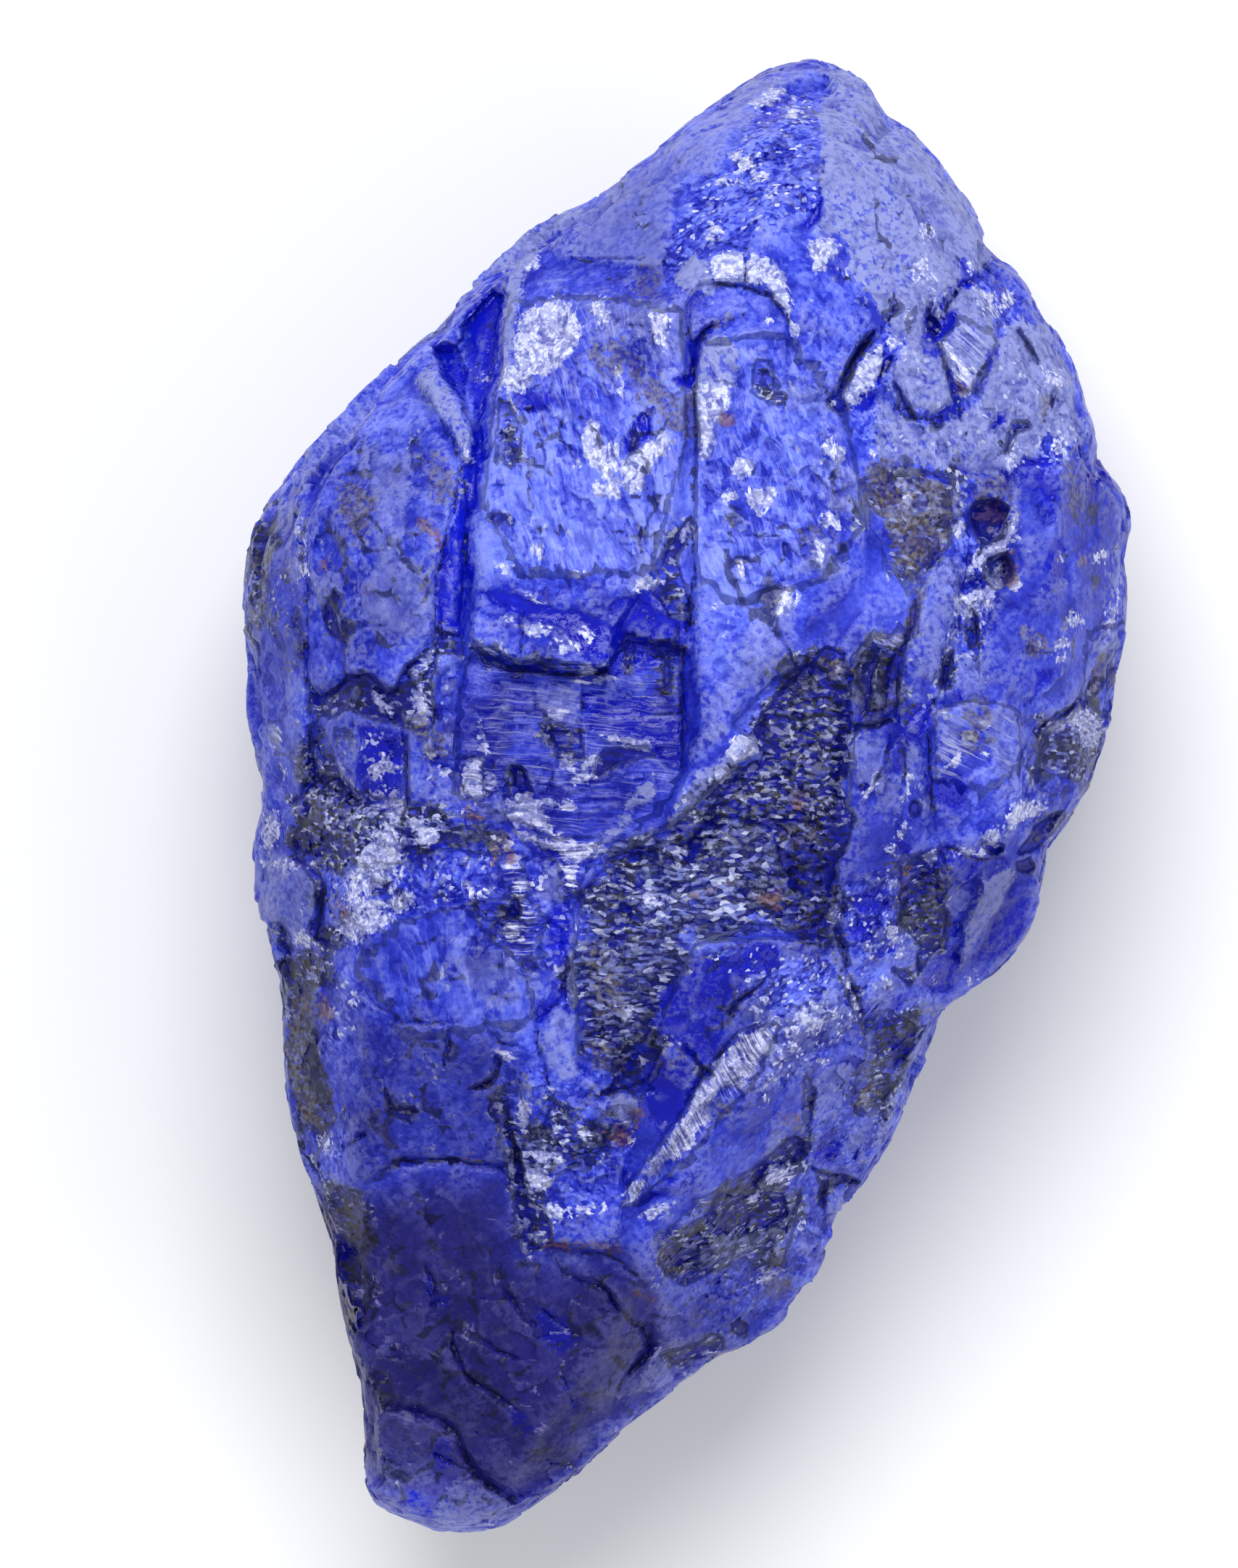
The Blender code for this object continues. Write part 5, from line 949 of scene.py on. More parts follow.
    ("brown", 0.15, [path(1188, 868, 1215, 864, 1234, 880, 1222, 894, 1195, 894, 1184, 885),
        path(1318, 975, 1345, 961, 1361, 975, 1371, 1000, 1360, 1026, 1335, 1037, 1320, 1020,
        1335, 1000, 1324, 986), path(838, 1440, 850, 1446, 860, 1460, 866, 1478, 856, 1480, 846, 1462),
        path(456, 1224, 466, 1230, 478, 1244, 486, 1256, 482, 1268, 470, 1262, 460, 1248, 454, 1236)]),
    # rust spots
    ("rust", -0.1, [path(581, 720, 590, 727, 605, 737, 613, 745, 608, 760, 597, 750, 585, 738)]),
    ("rust", -0.05, [(858, 1562, 15, 10, 10), path(762, 1710, 800, 1712, 836, 1714, 858, 1728,
        836, 1724, 800, 1720, 764, 1722, 744, 1720), (656, 1596, 9, 5, 0)]),
    ("rust", 0.0, [(511, 814, 10, 6, 10), (450, 784, 9, 12, 20), (692, 658, 7, 9, 0),
        (1003, 580, 8, 7, 0), (1362, 716, 18, 16, 0), (1100, 1106, 10, 13, 0), (1489, 776, 8, 8, 0),
        (1386, 800, 6, 20, 0), (668, 1499, 10, 4, 0), (1058, 1240, 14, 12, 20), path(878, 1772,
        896, 1780, 908, 1792, 908, 1802, 892, 1796, 880, 1790, 872, 1780), path(1248, 1194, 1256, 1196,
        1250, 1216, 1240, 1230, 1240, 1214), (1091, 1541, 9, 5, 0), path(602, 1084, 620, 1088,
        626, 1094, 610, 1094), path(650, 1116, 658, 1122, 660, 1130, 648, 1126), (701, 1170, 4, 9, -20),
        (681, 1190, 4, 8, -10), path(446, 1380, 458, 1390, 462, 1402, 450, 1402, 442, 1392)]),
    ("rust", 0.05, [(970, 1230, 22, 7, -8), (872, 1534, 9, 5, -20)]),
    ("rust", 0.1, [(1322, 540, 9, 9, 0)]),
    ("rust", 0.2, [(476, 1252, 8, 6, 30)]),
]

# Fine dark cracks: (depth in millimetres, half width in pixels, line).
FINE_CRACKS = [
    # upper end
    (0.30, 6, path(780, 360, 805, 366, 830, 362, 870, 366, 892, 370)),
    (0.20, 5, path(872, 298, 890, 302, 906, 308)),
    (0.15, 5, path(880, 255, 910, 270)),
    (0.25, 6, path(928, 210, 934, 230)),
    (0.20, 5, path(832, 398, 850, 392, 868, 390)),
    (0.50, 8, path(975, 398, 1015, 398, 1060, 412, 1075, 430, 1082, 445, 1086, 472)),
    (0.40, 8, path(960, 482, 972, 466, 988, 452)),
    (0.25, 6, path(1025, 440, 1008, 447, 998, 455)),
    (0.25, 5, path(1028, 355, 1024, 398)),
    (0.30, 7, path(975, 345, 1000, 340, 1030, 352)),
    (0.40, 8, path(1362, 360, 1345, 385, 1320, 402, 1304, 424, 1290, 450, 1286, 470)),
    (0.30, 7, path(1230, 410, 1228, 440, 1215, 455, 1212, 470)),
    # the long upright crack and those beside it
    (0.35, 7, path(946, 420, 952, 480, 956, 540, 957, 600, 958, 640, 960, 680, 958, 720)),
    (0.45, 8, path(958, 720, 955, 800, 945, 860, 938, 930, 938, 1000, 945, 1030, 953, 1062)),
    (0.30, 8, path(860, 450, 885, 455, 900, 470, 905, 492)),
    (0.25, 6, path(775, 575, 778, 620, 775, 640)),
    (0.25, 6, path(714, 575, 760, 568)),
    (0.25, 6, path(735, 545, 755, 530)),
    (0.25, 6, path(895, 705, 893, 740)),
    (0.25, 6, path(875, 720, 890, 755)),
    (0.20, 6, path(740, 735, 735, 750)),
    (0.30, 7, path(720, 845, 722, 880, 718, 905)),
    (0.25, 6, path(800, 950, 805, 975, 798, 1000, 800, 1012)),
    (0.20, 6, path(735, 955, 738, 985)),
    (0.25, 7, path(765, 1060, 758, 1090, 745, 1100)),
    (0.20, 5, path(1020, 745, 1085, 740)),
    (0.20, 6, path(1080, 750, 1086, 792)),
    (0.20, 6, path(1008, 800, 1015, 840)),
    (0.30, 7, path(1062, 872, 1078, 890, 1092, 908)),
    # upper right
    (0.60, 10, path(1204, 460, 1180, 500, 1160, 540, 1155, 566)),
    (0.45, 8, path(1230, 500, 1216, 520, 1206, 532)),
    (0.40, 8, path(1228, 505, 1236, 540, 1250, 565, 1262, 582, 1300, 574)),
    (0.40, 8, path(1275, 430, 1280, 455, 1285, 475, 1295, 510, 1305, 535, 1314, 552)),
    (0.35, 7, path(1270, 574, 1290, 596, 1308, 580)),
    (0.30, 6, path(1336, 548, 1346, 522, 1360, 500)),
    (0.30, 6, path(1320, 560, 1324, 590)),
    (0.30, 7, path(1398, 456, 1412, 476, 1430, 506)),
    (0.35, 8, path(1415, 584, 1396, 600, 1384, 630)),
    (0.25, 6, path(1330, 600, 1320, 620)),
    (0.25, 6, path(1448, 540, 1446, 560, 1432, 590, 1430, 600)),
    # right of the middle
    (0.40, 8, path(1395, 706, 1376, 738, 1352, 752, 1340, 770)),
    (0.45, 8, path(1345, 816, 1336, 840, 1344, 870, 1336, 905)),
    (0.35, 7, path(1314, 896, 1300, 940, 1285, 965, 1262, 1025)),
    (0.40, 8, path(1250, 860, 1240, 900, 1238, 930, 1236, 968, 1238, 1000)),
    (0.30, 7, path(1172, 1000, 1210, 1001, 1232, 990)),
    (0.35, 7, path(1228, 1012, 1217, 1060, 1200, 1088, 1178, 1088)),
    (0.30, 7, path(1242, 1026, 1240, 1060, 1244, 1092)),
    (0.30, 8, path(1277, 1010, 1280, 1050, 1284, 1100, 1288, 1165)),
    (0.45, 8, path(1290, 1162, 1320, 1172, 1345, 1184, 1385, 1180)),
    (0.45, 8, path(1486, 962, 1450, 990, 1424, 1014)),
    (0.30, 7, path(1414, 1020, 1402, 1050, 1406, 1082)),
    (0.20, 5, path(1420, 900, 1460, 905, 1490, 898)),
    (0.20, 5, path(1480, 920, 1500, 900, 1512, 880)),
    # right side, lower down
    (0.30, 6, path(1166, 1262, 1150, 1240, 1152, 1200)),
    (0.35, 7, path(1300, 1264, 1302, 1300, 1296, 1306)),
    (0.35, 8, path(1262, 1300, 1266, 1342, 1284, 1372)),
    (0.30, 7, path(1150, 1272, 1160, 1310, 1164, 1338, 1176, 1366, 1186, 1392)),
    (0.30, 7, path(1122, 1470, 1118, 1510, 1112, 1550, 1120, 1590)),
    (0.40, 8, path(1110, 1600, 1130, 1614, 1160, 1622, 1184, 1634)),
    (0.30, 7, path(1142, 1622, 1134, 1650, 1138, 1690)),
    # below the middle
    (0.45, 8, path(1062, 1340, 1046, 1356, 1030, 1370, 1012, 1384, 1000, 1400)),
    (0.40, 8, path(934, 1438, 950, 1452, 966, 1468, 984, 1486)),
    (0.40, 9, path(1018, 1420, 990, 1450, 966, 1484, 944, 1520)),
    (0.35, 8, path(740, 1412, 744, 1440, 756, 1470, 760, 1500)),
    (0.30, 7, path(664, 1400, 676, 1420, 690, 1434, 720, 1440)),
    (0.30, 8, path(780, 1340, 776, 1372, 756, 1392, 742, 1410)),
    (0.30, 7, path(820, 1516, 850, 1500, 880, 1500, 892, 1488)),
    (0.55, 9, path(700, 1540, 712, 1570, 720, 1606, 724, 1640)),
    # left side
    (0.25, 6, path(575, 545, 600, 560, 615, 590, 630, 620, 640, 650, 632, 680, 625, 720, 612, 760,
        606, 800, 604, 860, 600, 885)),
    (0.30, 7, path(600, 885, 585, 905, 560, 925, 552, 955, 535, 950, 515, 935, 490, 930, 470, 950,
        450, 965, 432, 960)),
    (0.30, 7, path(432, 1000, 424, 940, 424, 800, 420, 760, 422, 700)),
    (0.25, 6, path(640, 650, 648, 720, 640, 820, 640, 890)),
    (0.25, 6, path(505, 610, 498, 640, 492, 665)),
    (0.25, 6, path(480, 880, 500, 868, 540, 862)),
    (0.25, 6, path(500, 830, 490, 850, 478, 865)),
    (0.45, 9, path(562, 1000, 564, 1050, 568, 1104, 556, 1150, 562, 1184)),
    (0.40, 9, path(404, 1112, 420, 1086, 450, 1072, 470, 1078, 500, 1104)),
    (0.35, 8, path(430, 1000, 432, 1050, 438, 1080)),
    (0.25, 6, path(634, 1040, 640, 1070, 644, 1100)),
    (0.40, 9, path(436, 1200, 448, 1220, 448, 1262, 442, 1290, 470, 1310)),
    (0.40, 8, path(388, 1268, 400, 1290, 406, 1320)),
    (0.30, 7, path(500, 1350, 516, 1386, 540, 1400)),
    (0.35, 7, path(536, 1404, 600, 1410, 642, 1406)),
    (0.35, 7, path(622, 1412, 624, 1440, 614, 1458, 616, 1478)),
    (0.30, 6, path(656, 1504, 676, 1496, 690, 1480, 692, 1454)),
    (0.20, 5, path(530, 1478, 540, 1506, 548, 1532, 580, 1532)),
    # the dark lower end
    (0.45, 10, path(500, 1636, 524, 1616, 545, 1602, 580, 1598, 640, 1600, 715, 1606)),
    (0.30, 7, path(690, 1604, 704, 1622, 716, 1634)),
    (0.30, 7, path(470, 1586, 500, 1566, 512, 1560)),
    (0.35, 7, path(588, 1738, 600, 1760, 604, 1790, 592, 1800)),
    (0.40, 8, path(620, 1820, 626, 1850, 640, 1890, 660, 1908, 680, 1918, 702, 1932, 724, 1948)),
    (0.35, 8, path(690, 1770, 706, 1790, 720, 1814, 742, 1822)),
    (0.35, 8, path(664, 1840, 690, 1856, 716, 1868)),
    (0.45, 10, path(838, 1778, 852, 1800, 870, 1815, 886, 1828, 896, 1850, 898, 1862, 880, 1882,
        862, 1898, 846, 1922)),
    (0.50, 11, path(570, 1944, 604, 1952, 624, 1966, 636, 1990, 646, 2014, 658, 2034, 680, 2052,
        704, 2066, 738, 2074)),
    (0.30, 8, path(598, 2000, 630, 2018, 652, 2030)),
    (0.30, 7, path(762, 1722, 770, 1740, 778, 1756, 800, 1764, 824, 1772, 846, 1786)),
    (0.25, 6, path(790, 1990, 806, 2010)),
    (0.25, 7, path(742, 1800, 780, 1828, 800, 1842)),
    (0.25, 7, path(776, 1896, 792, 1930)),
    (0.45, 9, path(505, 1900, 530, 1934, 556, 1942)),
    (0.30, 7, path(800, 1724, 850, 1732, 880, 1758, 900, 1766)),
    (0.25, 6, path(892, 1810, 930, 1818, 950, 1820)),
]

# Flaky ground: (length, width, turn, lift, tilt, corners).
SCALES = [
    # sugary heap at the upper end
    (0.9, 0.55, 60, 0.30, 0.16, SUGAR_HEAP),
    # the block's flakes
    (1.6, 0.8, 65, 0.24, 0.14, BLOCK_TOP),
    # the middle right
    (1.3, 0.7, 30, 0.24, 0.14, MIDDLE_RIGHT),
    (1.2, 0.8, 40, 0.26, 0.16, path(1200, 540, 1320, 580, 1420, 480, 1500, 600, 1440, 640, 1380, 680,
        1290, 740, 1240, 800, 1200, 720)),
    (1.0, 0.6, 60, 0.26, 0.16, path(1300, 750, 1360, 740, 1400, 800, 1350, 960, 1300, 900)),
    # left face
    (1.1, 0.8, 80, 0.18, 0.12, path(392, 668, 440, 608, 520, 560, 630, 640, 600, 860, 540, 920,
        430, 900, 424, 760)),
    # crystal heap on the left
    (0.8, 0.5, 50, 0.32, 0.18, path(400, 1060, 500, 1080, 570, 1120, 640, 1150, 660, 1240, 570, 1280,
        500, 1310, 450, 1300, 440, 1200, 400, 1180)),
    # the dark mineral band
    (0.7, 0.35, 10, 0.34, 0.18, MINERAL_BAND),
    # crystals at the end of the spike and the ground right of them
    (1.0, 0.7, 20, 0.34, 0.20, path(1030, 1400, 1130, 1360, 1180, 1330, 1250, 1390, 1190, 1440,
        1110, 1490, 1010, 1530, 970, 1540, 1000, 1470)),
    (1.0, 0.5, 15, 0.26, 0.16, path(1150, 1200, 1300, 1180, 1300, 1300, 1210, 1330, 1150, 1380,
        1100, 1340)),
    (1.1, 0.7, 35, 0.26, 0.16, path(1100, 1480, 1260, 1400, 1270, 1500, 1180, 1640, 1100, 1790,
        1000, 1850, 900, 1820, 900, 1700, 1000, 1640, 1060, 1600)),
    (1.0, 0.6, -60, 0.26, 0.16, CHIPPED_RIM),
    # left lower side
    (0.9, 0.6, 70, 0.24, 0.14, path(380, 1270, 480, 1310, 500, 1400, 440, 1480, 500, 1560, 470, 1640,
        430, 1640, 390, 1480)),
    (1.0, 0.6, 20, 0.28, 0.16, path(690, 1440, 760, 1480, 880, 1500, 880, 1580, 800, 1700, 740, 1690,
        716, 1600)),
    (0.8, 0.45, 5, 0.24, 0.14, path(570, 1120, 700, 1060, 760, 1120, 800, 1240, 800, 1300, 700, 1400,
        640, 1290, 600, 1240)),
    # craze of the lower end
    (2.4, 1.6, 40, 0.22, 0.10, path(470, 1640, 720, 1610, 735, 1730, 860, 1730, 905, 1860, 790, 2040,
        690, 2110, 510, 2080, 500, 1900)),
]
# Sheets seen on edge: (turn, width of a step, depth, corners).
RIBS = [
    (5, 0.34, 0.20, path(640, 935, 655, 905, 712, 925, 838, 930, 860, 890, 935, 880, 945, 1060,
        900, 1130, 850, 1190, 800, 1240, 790, 1320, 690, 1330, 694, 1180, 640, 1100)),
    (62, 0.40, 0.20, path(858, 1659, 900, 1590, 962, 1500, 1022, 1418, 1070, 1420, 1040, 1490,
        980, 1550, 934, 1600, 884, 1650)),
    (20, 0.45, 0.16, path(1240, 1180, 1296, 1178, 1304, 1240, 1294, 1290, 1240, 1280)),
    (28, 0.55, 0.14, LEANING_BLADE),
]
# How flakes and streaks lie: (length, width, turn, strength of the streaks, corners).
STREAKS = [
    (2.6, 0.75, 5, 0.32, path(640, 940, 655, 905, 712, 922, 770, 934, 838, 930, 862, 890, 935, 880,
        938, 960, 945, 1060, 925, 1100, 890, 1130, 850, 1190, 800, 1200, 740, 1180, 700, 1130,
        652, 1100, 636, 1040)),
    (3.6, 0.95, 2, 1.6, path(686, 1180, 724, 1180, 730, 1240, 756, 1270, 740, 1320, 690, 1330,
        684, 1280, 700, 1240)),
    (3.6, 0.95, 1, 1.6, path(742, 1154, 826, 1156, 812, 1196, 800, 1240, 768, 1236, 770, 1190)),
    (3.6, 1.10, 2, 1.5, path(632, 1044, 668, 1044, 670, 1104, 636, 1104)),
    (3.0, 0.80, 62, 1.3, path(852, 1664, 900, 1590, 962, 1500, 1022, 1414, 1076, 1414, 1040, 1496,
        980, 1556, 934, 1606, 884, 1654)),
    (2.6, 1.10, 20, 1.1, path(1236, 1190, 1270, 1174, 1300, 1190, 1306, 1240, 1296, 1292, 1240, 1286)),
    (3.0, 0.90, 28, 0.5, LEANING_BLADE),
    (3.0, 0.85, 40, 0.9, path(1290, 480, 1320, 440, 1372, 470, 1346, 540, 1310, 548)),
    (2.4, 0.80, 50, 1.3, path(370, 996, 392, 996, 402, 1040, 386, 1044)),
    (2.6, 1.20, 80, 0.12, path(500, 1330, 560, 1270, 640, 1250, 720, 1330, 740, 1400, 560, 1430)),
    (1.6, 0.85, 70, 0.15, MIDDLE_RIGHT),
    (1.6, 0.85, 8, 0.3, path(1068, 940, 1110, 915, 1170, 960, 1178, 1060, 1150, 1180, 1140, 1290,
        1060, 1290, 960, 1300, 890, 1440, 850, 1480, 800, 1450, 790, 1250, 850, 1180, 960, 1110,
        1045, 1025, 1010, 1000)),
    (1.8, 0.85, 75, 0.2, path(706, 420, 860, 420, 940, 440, 944, 620, 900, 790, 720, 800, 670, 700,
        684, 560)),
    (2.6, 1.00, -62, 0.4, path(1500, 870, 1550, 860, 1540, 960, 1500, 1030, 1440, 1080, 1410, 1060,
        1440, 1010, 1490, 960)),
]
# How broken up the ground is: (strength, corners), later ones over earlier ones.
SCALY = [
    (0.35, path(330, 60, 1570, 60, 1570, 2140, 330, 2140)),
    (1.0, SUGAR_HEAP),
    (0.55, BLOCK_TOP),
    (0.60, path(960, 460, 1080, 470, 1190, 430, 1260, 440, 1350, 440, 1460, 520, 1430, 640, 1330, 680,
        1250, 840, 1180, 700, 1100, 820, 1010, 880, 962, 800)),
    (0.8, path(1300, 700, 1400, 690, 1410, 800, 1350, 970, 1300, 900)),
    (0.9, path(1215, 400, 1350, 380, 1480, 520, 1500, 640, 1400, 680, 1330, 640, 1200, 640, 1180, 520)),
    (0.9, path(400, 1060, 440, 980, 560, 960, 640, 900, 650, 1040, 760, 1060, 800, 1200, 800, 1300,
        700, 1400, 640, 1290, 500, 1310, 440, 1280, 440, 1200, 400, 1180)),
    (1.0, path(1068, 940, 1110, 915, 1170, 960, 1178, 1060, 1150, 1180, 1300, 1180, 1300, 1290,
        1200, 1330, 1180, 1420, 1110, 1490, 980, 1550, 1060, 1400, 960, 1320, 890, 1440, 850, 1510,
        800, 1470, 780, 1250, 850, 1180, 960, 1110, 1045, 1025, 1010, 1000)),
    (0.8, path(1180, 1470, 1270, 1390, 1270, 1500, 1180, 1640, 1100, 1790, 1000, 1850, 900, 1820,
        900, 1700, 1000, 1620, 1100, 1560)),
    (0.8, CHIPPED_RIM),
    (0.8, path(370, 1270, 480, 1310, 500, 1400, 440, 1480, 500, 1560, 470, 1640, 500, 1700, 510, 1850,
        440, 1840, 380, 1480)),
    (0.8, path(690, 1440, 740, 1480, 880, 1500, 880, 1580, 800, 1700, 740, 1690, 716, 1600)),
    (0.08, path(762, 342, 800, 292, 900, 222, 1000, 146, 1045, 112, 1010, 190, 985, 240, 925, 270,
        930, 330, 905, 375, 780, 362)),
    (0.15, path(1345, 900, 1400, 650, 1540, 650, 1560, 800, 1480, 930, 1430, 1000, 1360, 960)),
    (0.12, path(1100, 750, 1235, 750, 1240, 860, 1120, 890)),
    (0.12, path(1160, 1110, 1240, 1110, 1240, 1190, 1160, 1220)),
    (0.40, path(480, 1290, 560, 1262, 650, 1250, 720, 1330, 730, 1400, 690, 1500, 600, 1500, 540, 1480,
        500, 1400)),
    (0.1, path(880, 1480, 960, 1470, 944, 1530, 890, 1600, 870, 1560)),
]
# Painted shade and painted reflection: the lower end, turned away from the light and tinged by
# reflected warm light, painted a duller, violet blue.
VIOLET_SHADE_ZONES = [
    path(400, 1640, 700, 1610, 735, 1722, 900, 1722, 1000, 1860, 790, 2060, 690, 2130, 480, 2100),
]
# Painted shade: ground darkened where the stone lies in shade: (strength, softness of the border in
# pixels, corners).
PAINTED_SHADE = [
    (0.67, 40, path(480, 1400, 700, 1410, 720, 1600, 480, 1630)),
    (0.18, 40, path(762, 342, 900, 222, 1045, 112, 1010, 190, 925, 270, 930, 330, 905, 375, 780, 362)),
    (0.16, 40, path(430, 640, 600, 560, 640, 640, 600, 900, 430, 920)),
    (0.30, 40, path(370, 1280, 480, 1300, 470, 1640, 400, 1620)),
    (0.20, 40, path(480, 1260, 740, 1260, 740, 1400, 500, 1400)),
    (0.22, 40, path(880, 1480, 1260, 1380, 1200, 1640, 1000, 1860, 900, 1860)),
    (0.45, 60, path(900, 1700, 1120, 1700, 1060, 1880, 900, 1900)),
    (0.40, 40, path(1290, 1180, 1430, 1180, 1400, 1330, 1300, 1390, 1260, 1330)),
    (0.40, 40, path(900, 1290, 1080, 1290, 1060, 1400, 900, 1590, 830, 1560)),
    (0.15, 30, path(850, 1200, 1150, 1060, 1150, 940, 1060, 960, 950, 1120, 800, 1240, 800, 1450,
        880, 1440)),
    (0.35, 30, path(330, 720, 424, 690, 432, 1100, 350, 1120)),
    (0.35, 30, path(345, 1110, 440, 1110, 450, 1300, 350, 1300)),
    (0.28, 30, path(580, 930, 950, 930, 950, 1180, 700, 1180, 580, 1100)),
    (0.45, 30, path(430, 940, 566, 940, 566, 1130, 430, 1100)),
    (0.30, 40, path(1400, 970, 1560, 900, 1540, 1100, 1430, 1200)),
    (0.25, 50, path(1040, 930, 1300, 860, 1310, 1300, 1060, 1300)),
    (0.20, 50, RIGHT_FACE),
    (0.79, 50, path(430, 1640, 700, 1610, 735, 1722, 880, 1722, 930, 1860, 790, 2040, 690, 2070,
        490, 2020)),
]
# Ground with a net of fine cracks.
NETTED = [
    path(510, 1610, 700, 1610, 735, 1722, 880, 1740, 900, 1860, 790, 2030, 690, 2120, 500, 2070,
        510, 1930, 490, 1800),
    path(480, 1410, 690, 1410, 690, 1600, 490, 1600),
    path(930, 1290, 1070, 1290, 1050, 1390, 900, 1560),
    path(500, 1270, 700, 1260, 730, 1400, 500, 1400),
    path(430, 640, 600, 620, 620, 860, 540, 920, 430, 900),
    path(700, 560, 940, 560, 930, 780, 700, 800),
    path(970, 600, 1180, 640, 1180, 800, 1000, 980),
    path(1400, 660, 1540, 660, 1540, 880, 1440, 980),
    path(1160, 120, 1340, 300, 1350, 400, 1200, 400),
]
# Painted light and shade: ground painted brighter where it is lit, darker where the gain is negative:
# (gain, softness of the border in pixels, corners).
PAINTED_LIGHT_AND_SHADE = [
    (0.22, 50, path(664, 560, 940, 560, 930, 760, 860, 820, 700, 820, 656, 720)),
    (0.20, 50, path(970, 480, 1150, 560, 1120, 700, 1060, 820, 1000, 1000, 970, 900)),
    (-0.06, 40, path(430, 640, 600, 620, 620, 800, 560, 920, 430, 900)),
    (-0.10, 40, path(1100, 700, 1220, 700, 1240, 860, 1100, 880)),
    (-0.20, 30, path(655, 830, 700, 800, 860, 800, 930, 780, 940, 880, 860, 900, 700, 900)),
    (-0.15, 40, path(580, 940, 930, 940, 930, 1060, 880, 1120, 700, 1130, 600, 1060)),
    (-0.06, 50, RIGHT_FACE),
    (0.22, 16, path(880, 1210, 1000, 1200, 1010, 1290, 900, 1330)),
    (0.15, 16, path(820, 1310, 890, 1320, 890, 1400, 820, 1400)),
    (0.25, 40, path(500, 2010, 640, 2010, 690, 2120, 500, 2110)),
]


def hash01(ix, iy, iz, salt):
    """Repeatable number from 0 to 1 for each whole-number cell."""
    h = ix.astype(np.uint32) * np.uint32(374761393)
    h = h ^ (iy.astype(np.uint32) * np.uint32(668265263))
    h = h ^ (iz.astype(np.uint32) * np.uint32(2246822519))
    h = h ^ np.uint32(salt * 40503 + 977)
    h = (h ^ (h >> np.uint32(15))) * np.uint32(2654435761)
    h = (h ^ (h >> np.uint32(13))) * np.uint32(3266489917)
    h = h ^ (h >> np.uint32(16))
    return (h >> np.uint32(8)).astype(np.float64) / 16777216.0


def soft_noise(points, size, salt):
    """Smooth lumps from -1 to 1; size is the width of a lump in millimetres."""
    q = points / size
    cell = np.floor(q).astype(np.int64)
    part = q - cell
    part = part * part * (3.0 - 2.0 * part)
    total = np.zeros(len(points))
    for dx in (0, 1):
        wx = part[:, 0] if dx else 1.0 - part[:, 0]
        for dy in (0, 1):
            wy = part[:, 1] if dy else 1.0 - part[:, 1]
            for dz in (0, 1):
                wz = part[:, 2] if dz else 1.0 - part[:, 2]
                corner = hash01(cell[:, 0] + dx, cell[:, 1] + dy, cell[:, 2] + dz, salt)
                total += wx * wy * wz * corner
    return total * 2.0 - 1.0


def chips(points, size, salt, lift, tilt):
    """Broken flat faces: each point takes the tilted plane of its nearest seed.

    size is the width of a face, lift the difference between neighbours and
    tilt the slope of a face.
    """
    q = points / size
    cell = np.floor(q).astype(np.int64)
    first = np.full(len(points), FAR)
    value = np.zeros(len(points))
    for dx in (-1, 0, 1):
        for dy in (-1, 0, 1):
            for dz in (-1, 0, 1):
                cx = cell[:, 0] + dx
                cy = cell[:, 1] + dy
                cz = cell[:, 2] + dz
                ox = q[:, 0] - cx - hash01(cx, cy, cz, salt)
                oy = q[:, 1] - cy - hash01(cx, cy, cz, salt + 1)
                oz = q[:, 2] - cz - hash01(cx, cy, cz, salt + 2)
                gap = ox * ox + oy * oy + oz * oz
                nearer = gap < first
                first = np.where(nearer, gap, first)
                tx = hash01(cx, cy, cz, salt + 3) - 0.5
                ty = hash01(cx, cy, cz, salt + 4) - 0.5
                tz = hash01(cx, cy, cz, salt + 5) - 0.5
                face = lift * (hash01(cx, cy, cz, salt + 6) - 0.5)
                face = face + 2.0 * tilt * size * (tx * ox + ty * oy + tz * oz)
                value = np.where(nearer, face, value)
    return value


def smooth_step(low, high, x):
    t = np.clip((x - low) / (high - low), 0.0, 1.0)
    return t * t * (3.0 - 2.0 * t)


def window(u, v, points, pad):
    """Which places lie within pad pixels of the box around a list of points."""
    us = [p[0] for p in points]
    vs = [p[1] for p in points]
    wide = (u > min(us) - pad) & (u < max(us) + pad)
    return wide & (v > min(vs) - pad) & (v < max(vs) + pad)


def depth_inside(u, v, polygon):
    """Pixels from a place to the border of a polygon, positive on its inside."""
    nearest = np.full(u.shape, FAR)
    inside = np.zeros(u.shape, bool)
    for k in range(len(polygon)):
        ax, ay = polygon[k]
        bx, by = polygon[(k + 1) % len(polygon)]
        ex, ey = bx - ax, by - ay
        t = np.clip(((u - ax) * ex + (v - ay) * ey) / (ex * ex + ey * ey), 0.0, 1.0)
        nearest = np.minimum(nearest, np.hypot(u - ax - t * ex, v - ay - t * ey))
        if ay != by:
            crossing = ((ay > v) != (by > v)) & (u < ex * (v - ay) / ey + ax)
            inside = inside ^ crossing
    return np.where(inside, nearest, -nearest)


def along_line(u, v, line):
    """Distance to a bent line, the side of it (positive on its right as it runs
    on the photo) and how far along it the nearest place lies, from 0 to 1."""
    nearest = np.full(u.shape, FAR)
    side = np.zeros(u.shape)
    place = np.zeros(u.shape)
    lengths = [math.dist(line[k], line[k + 1]) for k in range(len(line) - 1)]
    done = 0.0
    for k, length in enumerate(lengths):
        ax, ay = line[k]
        bx, by = line[k + 1]
        ex, ey = (bx - ax) / length, (by - ay) / length
        t = np.clip((u - ax) * ex + (v - ay) * ey, 0.0, length)
        gap = np.hypot(u - ax - t * ex, v - ay - t * ey)
        nearer = gap < nearest
        nearest = np.where(nearer, gap, nearest)
        side = np.where(nearer, ex * (v - ay) - ey * (u - ax), side)
        place = np.where(nearer, (done + t) / sum(lengths), place)
        done += length
    return nearest, np.sign(side), place


